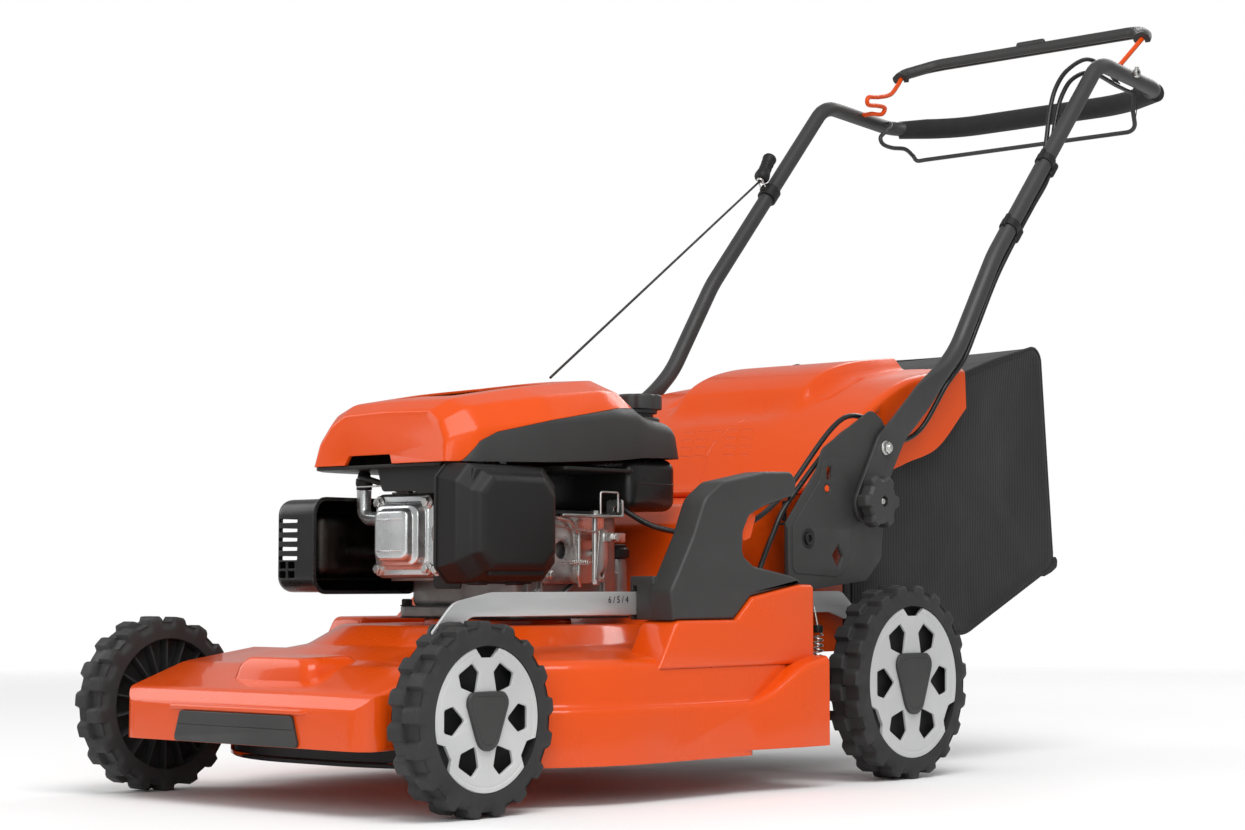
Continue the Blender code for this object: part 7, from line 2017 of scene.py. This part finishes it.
def bag():
    """The sagging fabric box, open at its front."""
    # Each ring: its x, its share of the way to the middle, and -1 or 1 where it lies on a side panel.
    sections = []
    for step in range(14, 0, -1):
        sections.append((-BAG_HALF, step / 15 * 0.94, -1))
    for x, inset in ((-BAG_HALF, 0.035), (-BAG_HALF + 0.0008, 0.017), (-BAG_HALF + 0.003, 0.006)):
        sections.append((x, inset, 0))
    for step in range(37):
        sections.append((-BAG_HALF + 0.007 + (2 * BAG_HALF - 0.014) * step / 36, 0.0, 0))
    sections += [(-x, inset, -panel) for x, inset, panel in reversed(sections[:17])]
    form = bmesh.new()
    rings, count = [], len(bag_ring())
    for x, inset, panel in sections:
        line = []
        for place in bag_ring(inset):
            if place.y < BAG_MOUTH_Y + 0.03 * (1 if inset < 0.04 else 0):
                place = Vector((0, BAG_MOUTH_Y if inset < 0.04 else place.y, place.z))
            line.append(form.verts.new(bag_place(x, place, panel)))
        rings.append(line)
    for ring, above in zip(rings, rings[1:]):
        for index in range(count):
            after = (index + 1) % count
            corners = (ring[index], ring[after], above[after], above[index])
            if all(corner.co.y < BAG_MOUTH_Y + 1e-4 for corner in corners):
                continue
            form.faces.new(corners)
    form.faces.new(rings[0])
    form.faces.new(rings[-1])
    bmesh.ops.recalc_face_normals(form, faces=form.faces)
    if sum(face.normal.x * face.calc_center_median().x for face in form.faces) < 0:
        bmesh.ops.reverse_faces(form, faces=form.faces)
    return thickened(form, CLOTH_THICKNESS)


def bag_edge(x, lift=0.0):
    """The bag's outline from the top of its mouth round to the foot of it."""
    path = [place for place in bag_ring() if place.y > BAG_MOUTH_Y + 1e-4]
    path = [Vector((0, *BAG_OUTLINE[0])), *path, Vector((0, *BAG_OUTLINE[-1]))]
    centre = Vector((0, *BAG_MIDDLE))
    return [Vector((x, 0, 0)) + place + (place - centre).normalized() * lift for place in path]


def bag_piping():
    """The corded seams along both sides, and the seams across the top and the rear."""
    made = [pipe(bag_edge(side * (BAG_HALF - 0.0022), -0.0012), 0.0022, 4) for side in (-1, 1)]
    for y, z in ((0.4535, 0.5535), (0.48, 0.26)):
        line = [Vector((x, y + 0.003 * (1 - (x / BAG_HALF) ** 2), z - 0.004 * (1 - (x / BAG_HALF) ** 2)))
                for x in (BAG_HALF * (step / 12 - 1) * 0.955 for step in range(25))]
        made.append(pipe(line, 0.0018, 4))
    return grouped(*made)


def bag_stitches():
    """Short stitches beside the seam of each side panel."""
    made = []
    centre = Vector((0, *BAG_MIDDLE))
    for side in (-1, 1):
        path = [place + (centre - place).normalized() * 0.0115 for place in bag_edge(side * BAG_HALF)]
        run, reach = [], 0.0
        for start, end in zip(path, path[1:]):
            length = (end - start).length
            while reach < length:
                run.append((start.lerp(end, reach / length), (end - start).normalized()))
                reach += STITCH_SPACING
            reach -= length
        for place, along in run:
            if place.y < 0.045 or place.z < 0.2:
                continue
            flat = Vector((0, place.y, place.z))
            seat = bag_place(side * BAG_HALF, flat, side)
            seat.x += side * 0.0001
            half = along * STITCH_LENGTH / 2
            made.append(pipe([seat - half, seat, seat + half], 0.00035, 1))
    return grouped(*made)


def bag_grab():
    """The stiffened fold along the bag's low rear edge, by which it is emptied."""
    profile = [(0.455, 0.2415), (0.474, 0.2475), (0.488, 0.2545), (0.489, 0.264), (0.485, 0.269),
               (0.4795, 0.266), (0.479, 0.26), (0.47, 0.253), (0.456, 0.247)]
    line = outline(profile, [0.001, 0.012, 0.006, 0.004, 0.0015, 0.002, 0.003, 0.008, 0.001], 5)
    return slab([line], -BAG_HALF - 0.0012, BAG_HALF + 0.0012, "X", 0.0008, 2)


def mouth_frame():
    """The stiff frame round the catcher's mouth, with a deeper rail at its top."""
    half, low, high, rail, top_rail = 0.201, 0.173, 0.385, 0.012, 0.05
    outer = outline(rectangle(-half, low, half, high), 0.006, 4)
    inner = outline(rectangle(-half + rail, low + rail, half - rail, high - top_rail), 0.008, 4)
    return slab([outer, inner], CHUTE_REAR_Y + GAP, BAG_MOUTH_Y - GAP, "Y", 0.0015, 2)


# Each piece: how it is made, its name, its body, its look and the node that it stands for. Then, where they
# aren't the usual ones, the angle in degrees up to which it shades smooth and its slot.
for make, name, body, look, node, *rest in (
        # The strip under the nose is black as painted shade, where the deck's front wall lies in shadow.
        (nose_shade_strip, "nose_shade_strip", "chassis", BLACK, ""),
        (deck, "deck_shell_look", "chassis", ENAMEL, "deck_shell"),
        (bumper_insert, "bumper_look", "chassis", DARK, "front_bumper_insert", 32),
        (engine_cover, "engine_cover_look", "chassis", GLOSS, "engine_cover", 28),
        (shroud, "shroud_look", "chassis", DARK, "shroud", 28),
        (cover_grille, "cover_grille_look", "chassis", BLACK, "cover_grille"),
        (engine_block, "engine_casting_look", "chassis", CAST, "engine_block"),
        (blower_plate, "blower_plate", "chassis", BLACK, ""),
        (valve_cover, "valve_cover_look", "chassis", PRESSED, "valve_cover", 40),
        (corner_bolts, "valve_cover_bolts", "chassis", ZINC, ""),
        (muffler, "muffler_look", "chassis", HOT, "muffler"),
        (muffler_guard, "muffler_guard_look", "chassis", SATIN, "muffler_guard", 30, "black_steel"),
        (air_filter_cover, "air_filter_look", "chassis", BLACK, "air_filter_cover"),
        (filter_seam, "air_filter_seam", "chassis", BLACK, ""),
        (carburettor, "carburettor_look", "chassis", CAST, "carburettor"),
        (plug_boot, "plug_boot_look", "chassis", BLACK, "spark_plug_boot"),
        (plug_shield, "plug_shield", "chassis", PRESSED, ""),
        (plug_lead, "plug_lead", "chassis", BLACK, ""),
        (control_bracket, "control_bracket_look", "chassis", ZINC, "control_bracket"),
        (engine_levers, "engine_levers", "chassis", ZINC, ""),
        (idle_rod, "idle_rod", "chassis", ZINC, ""),
        (side_plate, "side_plate", "chassis", BLACK, ""),
        (fuel_tank, "fuel_tank_look", "chassis", SATIN, "fuel_tank"),
        (base_bolts, "engine_base_bolts", "chassis", BLACK, "", 30, "black_steel"),
        (base_gasket, "engine_base_gasket", "chassis", BLACK, ""),
        (fuel_cap, "fuel_cap_look", "fuel_lid", DARK, "fuel_cap"),
        (oil_cap, "oil_cap_look", "oil_lid", BLACK, "oil_cap"),
        (link_bar, "height_bar_look", "link_bar", BAR, "height_link_bar"),
        (height_scale, "height_scale", "link_bar", BLACK, ""),
        (height_grip, "height_grip_look", "chassis", DARK, "height_grip"),
        (height_release_lever, "release_lever_look", "release_lever", GLOSS, "height_release_lever"),
        (counter_spring, "spring_look", "chassis", ZINC, "counter_spring", 40),
        (spring_boot, "spring_boot", "chassis", BLACK, ""),
        (spring_bolt, "spring_bolt", "chassis", ZINC, ""),
        (handle_tube, "handle_tube_look", "handle", TUBE, "handle_tube", 40),
        (foam_grip, "foam_grip_look", "handle", FOAM, "foam_grip", 40),
        (brake_bail, "brake_bail_look", "brake_lever", GLOSS, "brake_bail", 40, "orange_enamel"),
        (bail_grip, "bail_grip_look", "brake_lever", DARK, "brake_bail_grip", 40),
        (thumb_pad, "thumb_pad", "brake_lever", DARK, ""),
        (drive_bail, "drive_bail_look", "drive_lever", COAT, "drive_bail", 40),
        (bail_clamp, "bail_clamp", "handle", ZINC, ""),
        (guide_clamp, "rope_guide_look", "handle", BLACK, "rope_guide"),
        (guide_eye, "rope_eye", "handle", ZINC, "", 40),
        (starter_grip, "starter_grip_look", "pull_grip", BLACK, "starter_grip"),
        (upper_cables, "handle_cables_look", "handle", SATIN, "handle_cables", 40),
        (cable_clips, "cable_clips", "handle", BLACK, ""),
        (cable_tie, "cable_tie", "chassis", BLACK, ""),
        (flap, "flap_look", "flap", GLOSS, "rear_flap"),
        (flap_barrel, "flap_barrel", "flap", GLOSS, ""),
        (bag, "bag_look", "catcher", CLOTH, "catcher_bag", 60),
        (bag_piping, "bag_piping", "catcher", CLOTH, "", 60),
        (bag_stitches, "bag_stitches", "catcher", BLACK, "", 60, "black_fabric"),
        (bag_grab, "bag_grab", "catcher", RUBBER, "", 30, "black_fabric"),
        (mouth_frame, "mouth_frame_look", "catcher", BLACK, "catcher_frame")):
    piece(make(), name, body, look, node, *rest)
